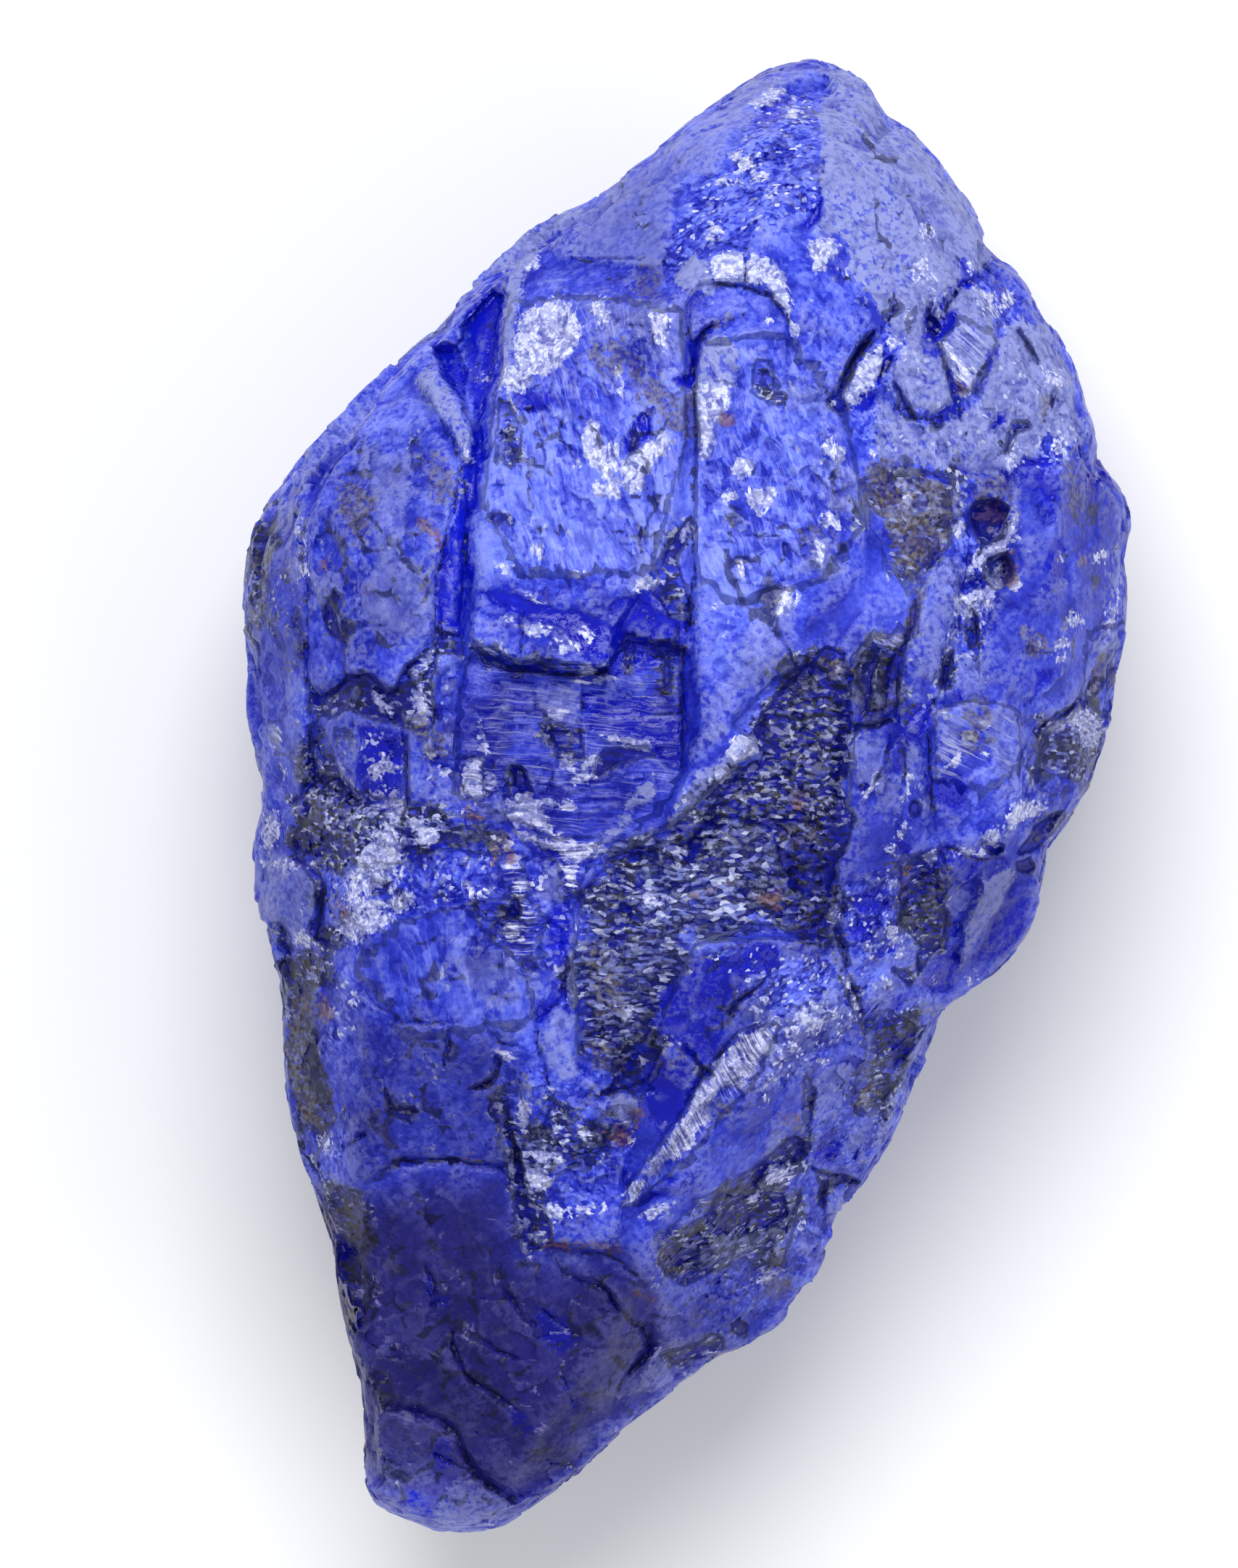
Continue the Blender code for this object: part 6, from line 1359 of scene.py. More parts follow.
def add_plates(height, u, v, plates):
    """Raise or sink flat faces: (lift, rise to the right, rise downward, soft, corners)."""
    for lift, rise_u, rise_v, soft, corners in plates:
        near = window(u, v, corners, soft)
        pu, pv = u[near], v[near]
        edge = STEP_SHARE * soft
        cover = smooth_step(-edge, edge, depth_inside(pu, pv, corners))
        mid_u = sum(p[0] for p in corners) / len(corners)
        mid_v = sum(p[1] for p in corners) / len(corners)
        slope = rise_u * (pu - mid_u) + rise_v * (pv - mid_v)
        height[near] += cover * (lift + slope / PX_PER_MM)


def add_ledges(height, u, v, ledges):
    """Steps: the ground right of the line drops and climbs back over its reach."""
    for drop, reach, soft, line in ledges:
        near = window(u, v, line, reach)
        gap, side, place = along_line(u[near], v[near], line)
        ends = smooth_step(0.0, LEDGE_ENDS, place) * smooth_step(0.0, LEDGE_ENDS, 1.0 - place)
        fade = np.clip(1.0 - gap / reach, 0.0, 1.0) ** LEDGE_FALL
        edge = STEP_SHARE * soft
        over = smooth_step(-edge, edge, gap * side)
        height[near] -= drop * ends * fade * over


def add_cracks(height, u, v, cracks):
    """Grooves with sloping sides: (depth, half width, line)."""
    for depth, width, line in cracks:
        near = window(u, v, line, width)
        gap, _, place = along_line(u[near], v[near], line)
        ends = smooth_step(0.0, CRACK_ENDS, place) * smooth_step(0.0, CRACK_ENDS, 1.0 - place)
        height[near] -= depth * ends * np.clip(1.0 - gap / width, 0.0, 1.0)


def add_hollows(height, u, v, hollows):
    """Rounded dips, or lumps where the depth is negative:
    (u, v, half width, half height, turn in degrees, depth, edge power)."""
    for mu, mv, ru, rv, turn, depth, power in hollows:
        c, s = math.cos(math.radians(turn)), math.sin(math.radians(turn))
        du = ((u - mu) * c + (v - mv) * s) / ru
        dv = ((v - mv) * c - (u - mu) * s) / rv
        height -= depth * np.clip(1.0 - (du * du + dv * dv), 0.0, 1.0) ** power


def blob_depth(u, v, blob):
    """Roughly the pixels from a place to the border of an ellipse, positive inside."""
    mu, mv, ru, rv, turn = blob
    c, s = math.cos(math.radians(turn)), math.sin(math.radians(turn))
    du = ((u - mu) * c + (v - mv) * s) / ru
    dv = ((v - mv) * c - (u - mu) * s) / rv
    return (1.0 - np.hypot(du, dv)) * min(ru, rv)


def shape_depth(u, v, shape, room, pad):
    """Which places lie near a shape, and how many pixels deep they lie in it."""
    if isinstance(shape, tuple):
        near = window(u, v, [shape[:2]], max(shape[2:4]) * room + pad)
        return near, blob_depth(u[near], v[near], shape)
    near = window(u, v, shape, pad)
    return near, depth_inside(u[near], v[near], shape)


def shapes_of(*names):
    """All shapes marked with some tones."""
    return [shape for tone, _, shapes in FACETS if tone in names for shape in shapes]


def tone_field(u, v, shapes):
    """How deep each place lies in the nearest of some marked shapes, in pixels.

    A shape is a list of corners, or an ellipse as (u, v, half width, half height, turn).
    """
    field = np.full(u.shape, -FIELD_REACH)
    for shape in shapes:
        near, depth = shape_depth(u, v, shape, ELLIPSE_ROOM, FIELD_REACH)
        field[near] = np.maximum(field[near], depth)
    return np.clip(field, -FIELD_REACH, FIELD_REACH)


def line_field(u, v, cracks, jitter):
    """How far each place lies inside the nearest crack's line, in pixels."""
    field = np.full(u.shape, -FIELD_REACH)
    for depth, width, line in cracks:
        near = window(u, v, line, FIELD_REACH)
        gap, _, place = along_line(u[near], v[near], line)
        ends = smooth_step(0.0, CRACK_TAPER, place) * smooth_step(0.0, CRACK_TAPER, 1.0 - place)
        wide = CRACK_SLIM * width * min(depth / DARK_DEPTH, 1.0) * (ends + jitter[near])
        field[near] = np.maximum(field[near], wide - gap)
    return field


def flat_chips(a, b, salt, lift, tilt):
    """Broken flat faces in two dimensions, for cells one unit across."""
    ia, ib = np.floor(a).astype(np.int64), np.floor(b).astype(np.int64)
    zero = np.zeros_like(ia)
    first = np.full(a.shape, FAR)
    value = np.zeros(a.shape)
    for da in (-1, 0, 1):
        for db in (-1, 0, 1):
            ca, cb = ia + da, ib + db
            oa = a - ca - hash01(ca, cb, zero, salt)
            ob = b - cb - hash01(ca, cb, zero, salt + 1)
            gap = oa * oa + ob * ob
            nearer = gap < first
            first = np.where(nearer, gap, first)
            ta = hash01(ca, cb, zero, salt + 2) - 0.5
            tb = hash01(ca, cb, zero, salt + 3) - 0.5
            face = lift * (hash01(ca, cb, zero, salt + 4) - 0.5)
            face = face + 2.0 * tilt * (ta * oa + tb * ob)
            value = np.where(nearer, face, value)
    return value


def net_field(u, v, salt):
    """Pixels from each place to the nearest border between uneven cells."""
    a, b = u / NET_CELL, v / NET_CELL
    ia, ib = np.floor(a).astype(np.int64), np.floor(b).astype(np.int64)
    zero = np.zeros_like(ia)
    first = np.full(a.shape, FAR)
    second = np.full(a.shape, FAR)
    for da in (-1, 0, 1):
        for db in (-1, 0, 1):
            ca, cb = ia + da, ib + db
            gap = np.hypot(a - ca - hash01(ca, cb, zero, salt), b - cb - hash01(ca, cb, zero, salt + 1))
            second = np.minimum(second, np.maximum(first, gap))
            first = np.minimum(first, gap)
    return (second - first) * NET_CELL


def turned(u, v, turn):
    """Photo places in millimetres, turned so that the first runs along the grain."""
    c, s = math.cos(math.radians(turn)), math.sin(math.radians(turn))
    return (u * c + v * s) / PX_PER_MM, (v * c - u * s) / PX_PER_MM


def add_scales(height, u, v, zones, salt):
    """Overlapping flakes: (length, width, turn, lift, tilt, corners of the zone)."""
    for k, (length, width, turn, lift, tilt, corners) in enumerate(zones):
        near = window(u, v, corners, 0)
        pu, pv = u[near], v[near]
        cover = smooth_step(0.0, SCALE_BORDER, depth_inside(pu, pv, corners))
        along, across = turned(pu, pv, turn)
        face = flat_chips(along / length, across / width, salt + 10 * k, lift, tilt)
        height[near] += cover * face


def add_ribs(height, u, v, zones, salt):
    """Broken parallel steps, like a stack of thin sheets seen on edge:
    (turn, width of a step, depth, corners of the zone)."""
    for k, (turn, width, depth, corners) in enumerate(zones):
        near = window(u, v, corners, 0)
        pu, pv = u[near], v[near]
        cover = smooth_step(0.0, SCALE_BORDER, depth_inside(pu, pv, corners))
        along, across = turned(pu, pv, turn)
        place = np.column_stack([
            along / RIB_SWAY_LENGTH, across / RIB_SWAY_WIDTH, np.zeros(len(along))])
        across = across + RIB_SWAY * soft_noise(place, 1.0, salt + 10 * k)
        step = across / width
        saw = step - np.floor(step)
        row = np.floor(step).astype(np.int64)
        cell = np.floor(along / RIB_LENGTH + RIB_SHIFT * hash01(row, row * 0, row * 0, salt + k))
        strong = hash01(row, cell.astype(np.int64), row * 0, salt + 3)
        height[near] -= cover * depth * saw * strong


def outline_reach():
    """Angle and distance in millimetres from the centre to every outline point."""
    spots = [((u - CENTRE_U) / PX_PER_MM, (CENTRE_V - v) / PX_PER_MM) for u, v in OUTLINE]
    pairs = sorted((math.atan2(y, x), math.hypot(x, y) + OUTLINE_GROW) for x, y in spots)
    return np.array([p[0] for p in pairs]), np.array([p[1] for p in pairs])


def girdle_height(turn):
    """Height of the stone's widest line in the direction turn from its centre."""
    wave = 0.6 * np.sin(2.0 * turn + 0.5) + 0.4 * np.sin(3.0 * turn + 2.2)
    return GIRDLE_HEIGHT + GIRDLE_SWAY * wave


def cushion():
    """A ball drawn out to the outline, steep-walled, in millimetres."""
    ball = bmesh.new()
    bmesh.ops.create_icosphere(ball, subdivisions=BALL_STEPS, radius=1.0)
    unit = np.array([vert.co.normalized() for vert in ball.verts])
    angle, reach = outline_reach()
    turn = np.arctan2(unit[:, 1], unit[:, 0])
    level = np.arcsin(np.clip(unit[:, 2], -1.0, 1.0))
    edge = np.interp(turn, angle, reach, period=2.0 * math.pi)
    shifts = np.radians(np.linspace(-NOTCH_SPREAD, NOTCH_SPREAD, NOTCH_STEPS))
    broad = np.zeros(len(turn))
    for shift in shifts:
        broad += np.interp(turn + shift, angle, reach, period=2.0 * math.pi) / len(shifts)
    away = smooth_step(0.0, NOTCH_FADE, np.abs(level)) * (1.0 - NOTCH_KEEP)
    edge = edge - (edge - np.minimum(edge, broad)) * away
    wall = np.where(level > 0.0, WALL_POWER_FRONT, WALL_POWER_BACK)
    out = edge * np.cos(level) ** wall
    rise = np.abs(np.sin(level)) ** RISE_POWER
    # The sway dies out toward the middle of the front and back.
    height = GIRDLE_HEIGHT + (girdle_height(turn) - GIRDLE_HEIGHT) * np.cos(level) ** 2
    height += np.where(level > 0.0, CROWN_RISE * rise, -BACK_DROP * rise)
    for vert, r, a, z in zip(ball.verts, out, turn, height):
        vert.co = (r * math.cos(a), r * math.sin(a), z)
    return ball


def cut_flat(solid, spot, normal):
    """Cut away what lies beyond a plane and close the cut with a flat face."""
    everything = solid.verts[:] + solid.edges[:] + solid.faces[:]
    bmesh.ops.bisect_plane(
        solid, geom=everything, dist=1e-5, plane_co=spot, plane_no=normal,
        clear_outer=True)
    rim = [edge for edge in solid.edges if edge.is_boundary]
    if rim:
        bmesh.ops.holes_fill(solid, edges=rim, sides=0)


def cut_faces(solid):
    """Give the cushion the large flat faces of its front and back."""
    for faces, way in ((FRONT_FACES, 1.0), (BACK_FACES, -1.0)):
        for u, v, z, rise_x, rise_y in faces:
            spot = Vector(((u - CENTRE_U) / PX_PER_MM, (CENTRE_V - v) / PX_PER_MM, z))
            cut_flat(solid, spot, Vector((-rise_x, -rise_y, 1.0)) * way)


def even_skin(mesh, voxel):
    """Give a closed body an evenly meshed skin."""
    body = bpy.data.objects.new("body", mesh)
    bpy.context.scene.collection.objects.link(body)
    remesh = body.modifiers.new("even skin", "REMESH")
    remesh.mode = "VOXEL"
    remesh.voxel_size = voxel
    skin = bpy.data.meshes.new_from_object(
        body.evaluated_get(bpy.context.evaluated_depsgraph_get()))
    bpy.data.objects.remove(body)
    return skin


def relief(points, normals):
    """Where each place of the even skin goes once the forms are worked in."""
    waver_u, waver_v = [soft_noise(points, WAVER_WIDTH, seed) for seed in WAVER_SEEDS]
    u = CENTRE_U + points[:, 0] * PX_PER_MM + EDGE_WAVER * waver_u
    v = CENTRE_V - points[:, 1] * PX_PER_MM + EDGE_WAVER * waver_v
    front = smooth_step(*FRONT_SLOPE, normals[:, 2])
    height = np.zeros(len(points))
    add_plates(height, u, v, PLATES)
    add_ledges(height, u, v, LEDGES)
    add_cracks(height, u, v, CRACKS)
    add_hollows(height, u, v, HOLLOWS)
    moved = points.copy()
    moved[:, 2] += height * front

    broad = chips(points, BROAD_CHIP, BROAD_SEED, BROAD_LIFT, BROAD_TILT)
    fine = chips(points, FINE_CHIP, FINE_SEED, FINE_LIFT, FINE_TILT)
    push = broad * (1.0 - BROAD_CALM * front) + fine * (1.0 - FINE_CALM * front)
    push = np.minimum(push, CHIP_OUT)
    turn = np.arctan2(points[:, 1], points[:, 0])
    off_girdle = smooth_step(0.0, GIRDLE_BAND, np.abs(points[:, 2] - girdle_height(turn)))
    off_girdle = np.maximum(off_girdle, front)
    share = np.where(push > 0.0, 0.0, GIRDLE_SHARE)
    push *= share + (1.0 - share) * off_girdle
    push *= smooth_step(*REST_BAND, points[:, 2])
    return moved + normals * push[:, None]


def photo_places(points, waver):
    """The photo place of every point, wavering a little so that no line is ruled."""
    waver_u, waver_v = [soft_noise(points, WAVER_WIDTH, seed) for seed in WAVER_SEEDS]
    fine_u, fine_v = [soft_noise(points, FINE_WAVER_WIDTH, seed) for seed in FINE_WAVER_SEEDS]
    u = CENTRE_U + points[:, 0] * PX_PER_MM + waver * (waver_u + FINE_WAVER * fine_u)
    v = CENTRE_V - points[:, 1] * PX_PER_MM + waver * (waver_v + FINE_WAVER * fine_v)
    return u, v


def add_facets(height, u, v, facets):
    """Raise or sink the small marked facets."""
    raised = [(lift, shape) for _, lift, shapes in facets if lift for shape in shapes]
    for lift, shape in raised:
        near, depth = shape_depth(u, v, shape, 1.0, FACET_EDGE)
        height[near] += lift * smooth_step(-FACET_EDGE, FACET_EDGE, depth)


def fine_relief(points, normals):
    """The small forms of the front, and small chips all round."""
    u, v = photo_places(points, EDGE_WAVER * SKIN_WAVER)
    front = smooth_step(*FRONT_SLOPE, normals[:, 2])
    height = np.zeros(len(points))
    add_facets(height, u, v, FACETS)
    add_cracks(height, u, v, [
        (FINE_CRACK_SHARE * deep, FINE_CRACK_SHARE * wide, line) for deep, wide, line in FINE_CRACKS])
    add_scales(height, u, v, SCALES, SCALE_SEED)
    add_ribs(height, u, v, RIBS, RIB_SEED)
    height += FINE_ROUGH * soft_noise(points, FINE_ROUGH_WIDTH, FINE_ROUGH_SEED)
    moved = points.copy()
    moved[:, 2] += height * front
    small = chips(points, SMALL_CHIP, SMALL_SEED, SMALL_LIFT, SMALL_TILT)
    push = np.minimum(small, SMALL_OUT) * (1.0 - front) * smooth_step(*REST_BAND, points[:, 2])
    return moved + normals * push[:, None]


class Graph:
    """Short ways to add shader nodes to one material."""

    def __init__(self, name):
        self.material = bpy.data.materials.new(name)
        self.material.use_nodes = True
        self.tree = self.material.node_tree
        self.tree.nodes.clear()

    def put(self, socket, value):
        """Link a socket to another, or set it to a plain value."""
        if isinstance(value, bpy.types.NodeSocket):
            self.tree.links.new(value, socket)
        elif isinstance(value, tuple) and len(value) == 3 and len(socket.default_value) == 4:
            socket.default_value = (*value, 1.0)
        else:
            socket.default_value = value

    def node(self, kind, values=None, **settings):
        made = self.tree.nodes.new(kind)
        for key, value in settings.items():
            setattr(made, key, value)
        for key, value in (values or {}).items():
            self.put(made.inputs[key], value)
        return made

    def math(self, operation, a, b=0.0, c=0.0, clamp=False):
        made = self.node("ShaderNodeMath", {0: a, 1: b, 2: c}, operation=operation)
        made.use_clamp = clamp
        return made.outputs[0]

    def times(self, a, b, clamp=False):
        return self.math("MULTIPLY", a, b, clamp=clamp)

    def swing(self, value):
        """A random value between 0 and 1, shifted to lie round 0."""
        return self.math("SUBTRACT", value, 0.5)

    def move(self, operation, a, b):
        made = self.node("ShaderNodeVectorMath", {0: a, 1: b}, operation=operation)
        return made.outputs[0]

    def mix(self, factor, a, b):
        made = self.node("ShaderNodeMix", data_type="RGBA")
        self.put(made.inputs[0], factor)
        self.put(made.inputs[6], a)
        self.put(made.inputs[7], b)
        return made.outputs[2]

    def blend(self, factor, a, b):
        """Between two numbers."""
        made = self.node("ShaderNodeMix", data_type="FLOAT")
        self.put(made.inputs[0], factor)
        self.put(made.inputs[2], a)
        self.put(made.inputs[3], b)
        return made.outputs[0]

    def step(self, value, low, high):
        """0 below low, 1 above high, smooth between."""
        made = self.node(
            "ShaderNodeMapRange", {"Value": value, "From Min": low, "From Max": high},
            interpolation_type="SMOOTHSTEP")
        return made.outputs[0]

    def noise(self, place, scale, detail=1.0, rough=0.5, flat=False):
        return self.node("ShaderNodeTexNoise", {
            "Vector": place, "Scale": scale, "Detail": detail, "Roughness": rough},
            noise_dimensions="2D" if flat else "3D").outputs[0]

    def cells(self, place, scale):
        """Flat Voronoi cells: three random tones, and a height leaning its own way in each."""
        made = self.node(
            "ShaderNodeTexVoronoi", {"Vector": place, "Scale": scale}, voronoi_dimensions="2D")
        tones = self.node("ShaderNodeSeparateColor", {0: made.outputs["Color"]}).outputs
        away = self.move("SUBTRACT", place, made.outputs["Position"])
        lean = self.move("SUBTRACT", made.outputs["Color"], (0.5, 0.5, 0.5))
        slope = self.node("ShaderNodeVectorMath", {0: away, 1: lean}, operation="DOT_PRODUCT")
        return tones, slope.outputs["Value"]

    def stored(self, name):
        """A number stored at every vertex of the stone."""
        return self.node("ShaderNodeAttribute", attribute_name=name).outputs["Fac"]

    def stored_vector(self, name):
        return self.node("ShaderNodeAttribute", attribute_name=name).outputs["Vector"]


def stone_look():
    """Royal blue that turns frosty, glassy, dirty or nearly black from place to place."""
    g = Graph("sapphire_look")
    object_place = g.node("ShaderNodeTexCoord").outputs["Object"]
    place = g.move("MULTIPLY", object_place, (1.0 / MM, 1.0 / MM, 1.0 / MM))
    grain = g.noise(place, GRAIN_SCALE, 2.0, 0.6)
    fine = g.noise(place, FINE_SCALE, 0.0)
    # Fine crooked lines.
    hair = g.step(g.math("ABSOLUTE", g.swing(fine)), 0.10, 0.03)
    streak = g.stored("streak")
    bent = g.stored_vector("flake_place")
    (flake_a, flake_b, _), flake_slope = g.cells(bent, 1.0)
    (chip_a, chip_b, chip_c), chip_slope = g.cells(bent, CHIP_SCALE)

    ragged = g.times(g.swing(grain), 0.5)
    ragged = g.math("MULTIPLY_ADD", g.swing(chip_b), 0.30, ragged)
    ragged = g.math("MULTIPLY_ADD", g.swing(flake_b), 0.20, ragged)

    def marked(name):
        """The crisp, ragged version of a tone stored at the vertices."""
        soft, ragged_by = BORDERS[name]
        depth = g.math("MULTIPLY_ADD", ragged, ragged_by, g.stored(name))
        return g.step(depth, -soft, soft)

    pale, white_and_sheen, deep, dark, brown, rust, grit, haze = [
        marked(name) for name in
        ("pale", "white_and_sheen", "deep", "dark", "brown", "rust", "grit", "haze")]
    violet_shade, scaly, painted_hollow_shade, ridge = [
        g.stored(name) for name in ("violet_shade", "scaly", "painted_hollow_shade", "ridge")]
    # The body colour: lighter and duller on worn faces, deeper in between. The stored tone holds random
    # swings and painted light and shade; flake by flake it swings again, partly at random and partly as
    # painted light and shade standing in for lit and shaded facets.
    flake_tone_and_facet_light = g.times(g.swing(flake_a), 0.60)
    flake_tone_and_facet_light = g.math("MULTIPLY_ADD", g.swing(chip_a), 0.70, flake_tone_and_facet_light)
    patch = g.stored("tone")
    tone = g.math("MULTIPLY_ADD", flake_tone_and_facet_light, scaly, patch)
    tone = g.math("MULTIPLY_ADD", g.swing(grain), 0.5, tone, clamp=True)
    colour = g.mix(g.step(tone, 0.05, 0.5), ABYSS, ROYAL)
    colour = g.mix(g.step(tone, 0.35, 1.0), colour, LIGHT_BLUE)
    # Painted shade and painted reflection: the lower end goes a duller violet blue.
    dull = g.mix(tone, VIOLET_SHADE_DARK, VIOLET_SHADE_LIGHT)
    colour = g.mix(g.times(violet_shade, COVER["violet_shade"]), colour, dull)

    # Frosty, worn faces with fine darker pits.
    frost_tone = g.math("MULTIPLY_ADD", g.swing(chip_a), 0.25, grain)
    frost_tone = g.math("MULTIPLY_ADD", g.swing(flake_a), 0.30, frost_tone)
    frost = g.mix(g.step(frost_tone, 0.25, 0.65), FROST_DARK, FROST_LIGHT)
    dents = g.step(g.math("MULTIPLY_ADD", chip_c, 0.6, grain), 0.66, 0.56)
    dents = g.times(dents, g.step(patch, 0.40, 0.56))
    frost = g.mix(g.times(dents, COVER["dents"]), frost, ROYAL)
    colour = g.mix(g.times(haze, COVER["haze"]), colour, frost)
    colour = g.mix(g.times(pale, COVER["pale"]), colour, frost)
    colour = g.mix(deep, colour, g.mix(tone, DEEP_DARK, DEEP_LIGHT))

    # Crushed, sugary white, partly a painted sheen on faces that would catch the light.
    sugar = g.step(g.math("MULTIPLY_ADD", chip_a, 0.5, g.times(fine, 0.6)), 0.2, 0.75)
    sugar = g.mix(sugar, GREY_BLUE, WHITE_AND_SHEEN)
    colour = g.mix(white_and_sheen, colour, g.mix(g.times(hair, COVER["hair"]), sugar, ROYAL))

    # White and dark streaks where thin sheets show their edges; the white ones are partly painted
    # glints on those edges.
    fibre = g.noise(g.move("MULTIPLY", bent, FIBRE_STRETCH), 1.0, 2.0, 0.6, flat=True)
    fibre_white_and_glint = g.times(g.step(fibre, 0.57, 0.66), streak, clamp=True)
    fibre_dark = g.times(g.step(fibre, 0.47, 0.38), streak, clamp=True)
    colour = g.mix(g.times(fibre_dark, COVER["fibre_dark"]), colour, NAVY)
    colour = g.mix(g.times(fibre_white_and_glint, COVER["fibre_white_and_glint"]), colour, WHITE_AND_SHEEN)

    # Grit: dark and pale grains with black lines between them; the palest grains are partly painted
    # glints.
    grains = g.mix(g.step(chip_a, 0.30, 0.80), NAVY, GREY_BLUE)
    grains = g.mix(g.step(chip_b, 0.80, 0.84), grains, PALE_GRAIN_AND_GLINT)
    black = g.step(g.math("MULTIPLY_ADD", g.swing(grain), 0.4, patch), 0.46, 0.38)
    grains = g.mix(g.math("MAXIMUM", black, g.step(chip_c, 0.42, 0.34)), grains, BLACK)
    bare = g.math("MULTIPLY_ADD", white_and_sheen, -0.8, 0.92)
    colour = g.mix(g.times(grit, bare), colour, grains)

    # Dark mineral, and shadows painted black under steps: black and navy grains with pale lines, partly
    # pale grains and partly painted glints, brown and olive dust.
    coal = g.mix(g.step(g.math("ADD", chip_a, grain), 1.0, 1.35), BLACK, ABYSS)
    coal_grain_and_glint = g.times(g.step(chip_b, 0.76, 0.82), g.step(patch, 0.34, 0.50))
    coal_grain_and_glint = g.times(coal_grain_and_glint, g.step(grain, 0.42, 0.56))
    coal = g.mix(g.times(coal_grain_and_glint, COVER["coal_grain_and_glint"]), coal, PALE_GRAIN_AND_GLINT)
    colour = g.mix(g.times(dark, bare), colour, coal)
    dust = g.mix(g.step(fine, 0.4, 0.62), UMBER, OLIVE)
    dust = g.mix(g.step(chip_b, 0.75, 0.85), dust, GREY_BLUE)
    dust_cover = g.times(brown, g.step(grain, 0.34, 0.46))
    colour = g.mix(g.times(dust_cover, COVER["dust"]), colour, dust)

    stain = g.mix(g.step(g.math("ADD", fine, chip_b), 0.75, 1.3), RUST_DARK, RUST_LIGHT)
    colour = g.mix(g.times(rust, COVER["rust"]), colour, stain)

    # Cracks go nearly black. Crevices and pits get painted shade in deep blue, and ridges go paler,
    # partly wear and partly a painted highlight.
    cut = g.math("MAXIMUM", marked("crack"), g.times(marked("net"), COVER["net"]))
    painted_crevice_shade = g.times(painted_hollow_shade, COVER["painted_hollow_shade"])
    painted_pit_shade = g.step(g.math("MULTIPLY_ADD", chip_c, 0.8, grain), 0.54, 0.40)
    painted_crevice_shade = g.math("MAXIMUM", painted_crevice_shade, g.times(painted_pit_shade, g.times(scaly, COVER["painted_pit_shade"])))
    colour = g.mix(painted_crevice_shade, colour, ABYSS)
    colour = g.mix(g.times(cut, COVER["cut"]), colour, NAVY)
    # Paler ridges: partly wear, partly a painted highlight.
    ridge_wear_and_highlight = g.times(ridge, g.step(grain, 0.35, 0.6))
    colour = g.mix(g.times(ridge_wear_and_highlight, COVER["ridge_wear_and_highlight"]), colour, FROST_LIGHT)

    # Painted shade: shaded parts darkened, bluer than they are dark.
    dim = g.stored("dim")
    full = g.node("ShaderNodeCombineXYZ", {0: 1.0, 1: 1.0, 2: 1.0}).outputs[0]
    loss = g.node("ShaderNodeVectorMath", {0: PAINTED_SHADE_TINT, 3: dim}, operation="SCALE").outputs[0]
    colour = g.move("MULTIPLY", colour, g.move("SUBTRACT", full, loss))

    # Painted glints: tiny facets painted bright as if they caught the light.
    painted_glint = g.times(g.step(chip_c, 0.91, 0.93), g.step(scaly, 0.75, 1.0))
    painted_glint = g.times(painted_glint, g.math("SUBTRACT", 0.7, g.times(grit, 0.5)))
    colour = g.mix(painted_glint, colour, sugar)

    rough = g.blend(pale, ROUGHNESS["body"], ROUGHNESS["pale"])
    rough = g.blend(deep, rough, ROUGHNESS["deep"])
    rough = g.blend(dark, rough, ROUGHNESS["dark"])
    rough = g.math("MULTIPLY_ADD", g.swing(fine), ROUGHNESS_SWING, rough, clamp=True)

    lift = g.math("MULTIPLY_ADD", flake_slope, FLAKE_LEAN, g.times(chip_slope, CHIP_LEAN))
    lift = g.math("MULTIPLY_ADD", flake_b, 0.5, lift)
    lift = g.times(lift, g.math("MULTIPLY_ADD", scaly, 0.8, 0.2))
    lift = g.math("MULTIPLY_ADD", grain, 0.8, lift)
    lift = g.math("MULTIPLY_ADD", fibre, g.times(streak, 1.3), lift)
    bump = g.node("ShaderNodeBump", {
        "Height": lift, "Distance": BUMP_DEPTH * MM, "Strength": BUMP_STRENGTH})

    shader = g.node("ShaderNodeBsdfPrincipled", {
        "Base Color": colour, "Roughness": rough, "Normal": bump.outputs[0]})
    shader.inputs["IOR"].default_value = SAPPHIRE_IOR
    shader.inputs["Specular IOR Level"].default_value = SHINE_LEVEL
    out = g.node("ShaderNodeOutputMaterial")
    g.put(out.inputs["Surface"], shader.outputs[0])
    return g.material


def spots_of(mesh):
    spots = np.empty(len(mesh.vertices) * 3)
    mesh.vertices.foreach_get("co", spots)
    return spots.reshape(-1, 3)


def normals_of(mesh):
    normals = np.empty(len(mesh.vertices) * 3)
    mesh.vertex_normals.foreach_get("vector", normals)
    return normals.reshape(-1, 3)


def move_spots(mesh, spots):
    mesh.vertices.foreach_set("co", spots.ravel())
    mesh.update()


def thin_out(mesh, triangles, below=None):
    """Fewer, larger triangles, everywhere or only below some height."""
    stone = bpy.data.objects.new("thinning", mesh)
    bpy.context.scene.collection.objects.link(stone)
    decimate = stone.modifiers.new("thin out", "DECIMATE")
    if below is not None:
        group = stone.vertex_groups.new(name="below")
        group.add(np.flatnonzero(spots_of(mesh)[:, 2] < below).tolist(), 1.0, "REPLACE")
        decimate.vertex_group = group.name
    decimate.ratio = triangles / sum(len(face.vertices) - 2 for face in mesh.polygons)
    thin = bpy.data.meshes.new_from_object(
        stone.evaluated_get(bpy.context.evaluated_depsgraph_get()))
    bpy.data.objects.remove(stone)
    return thin


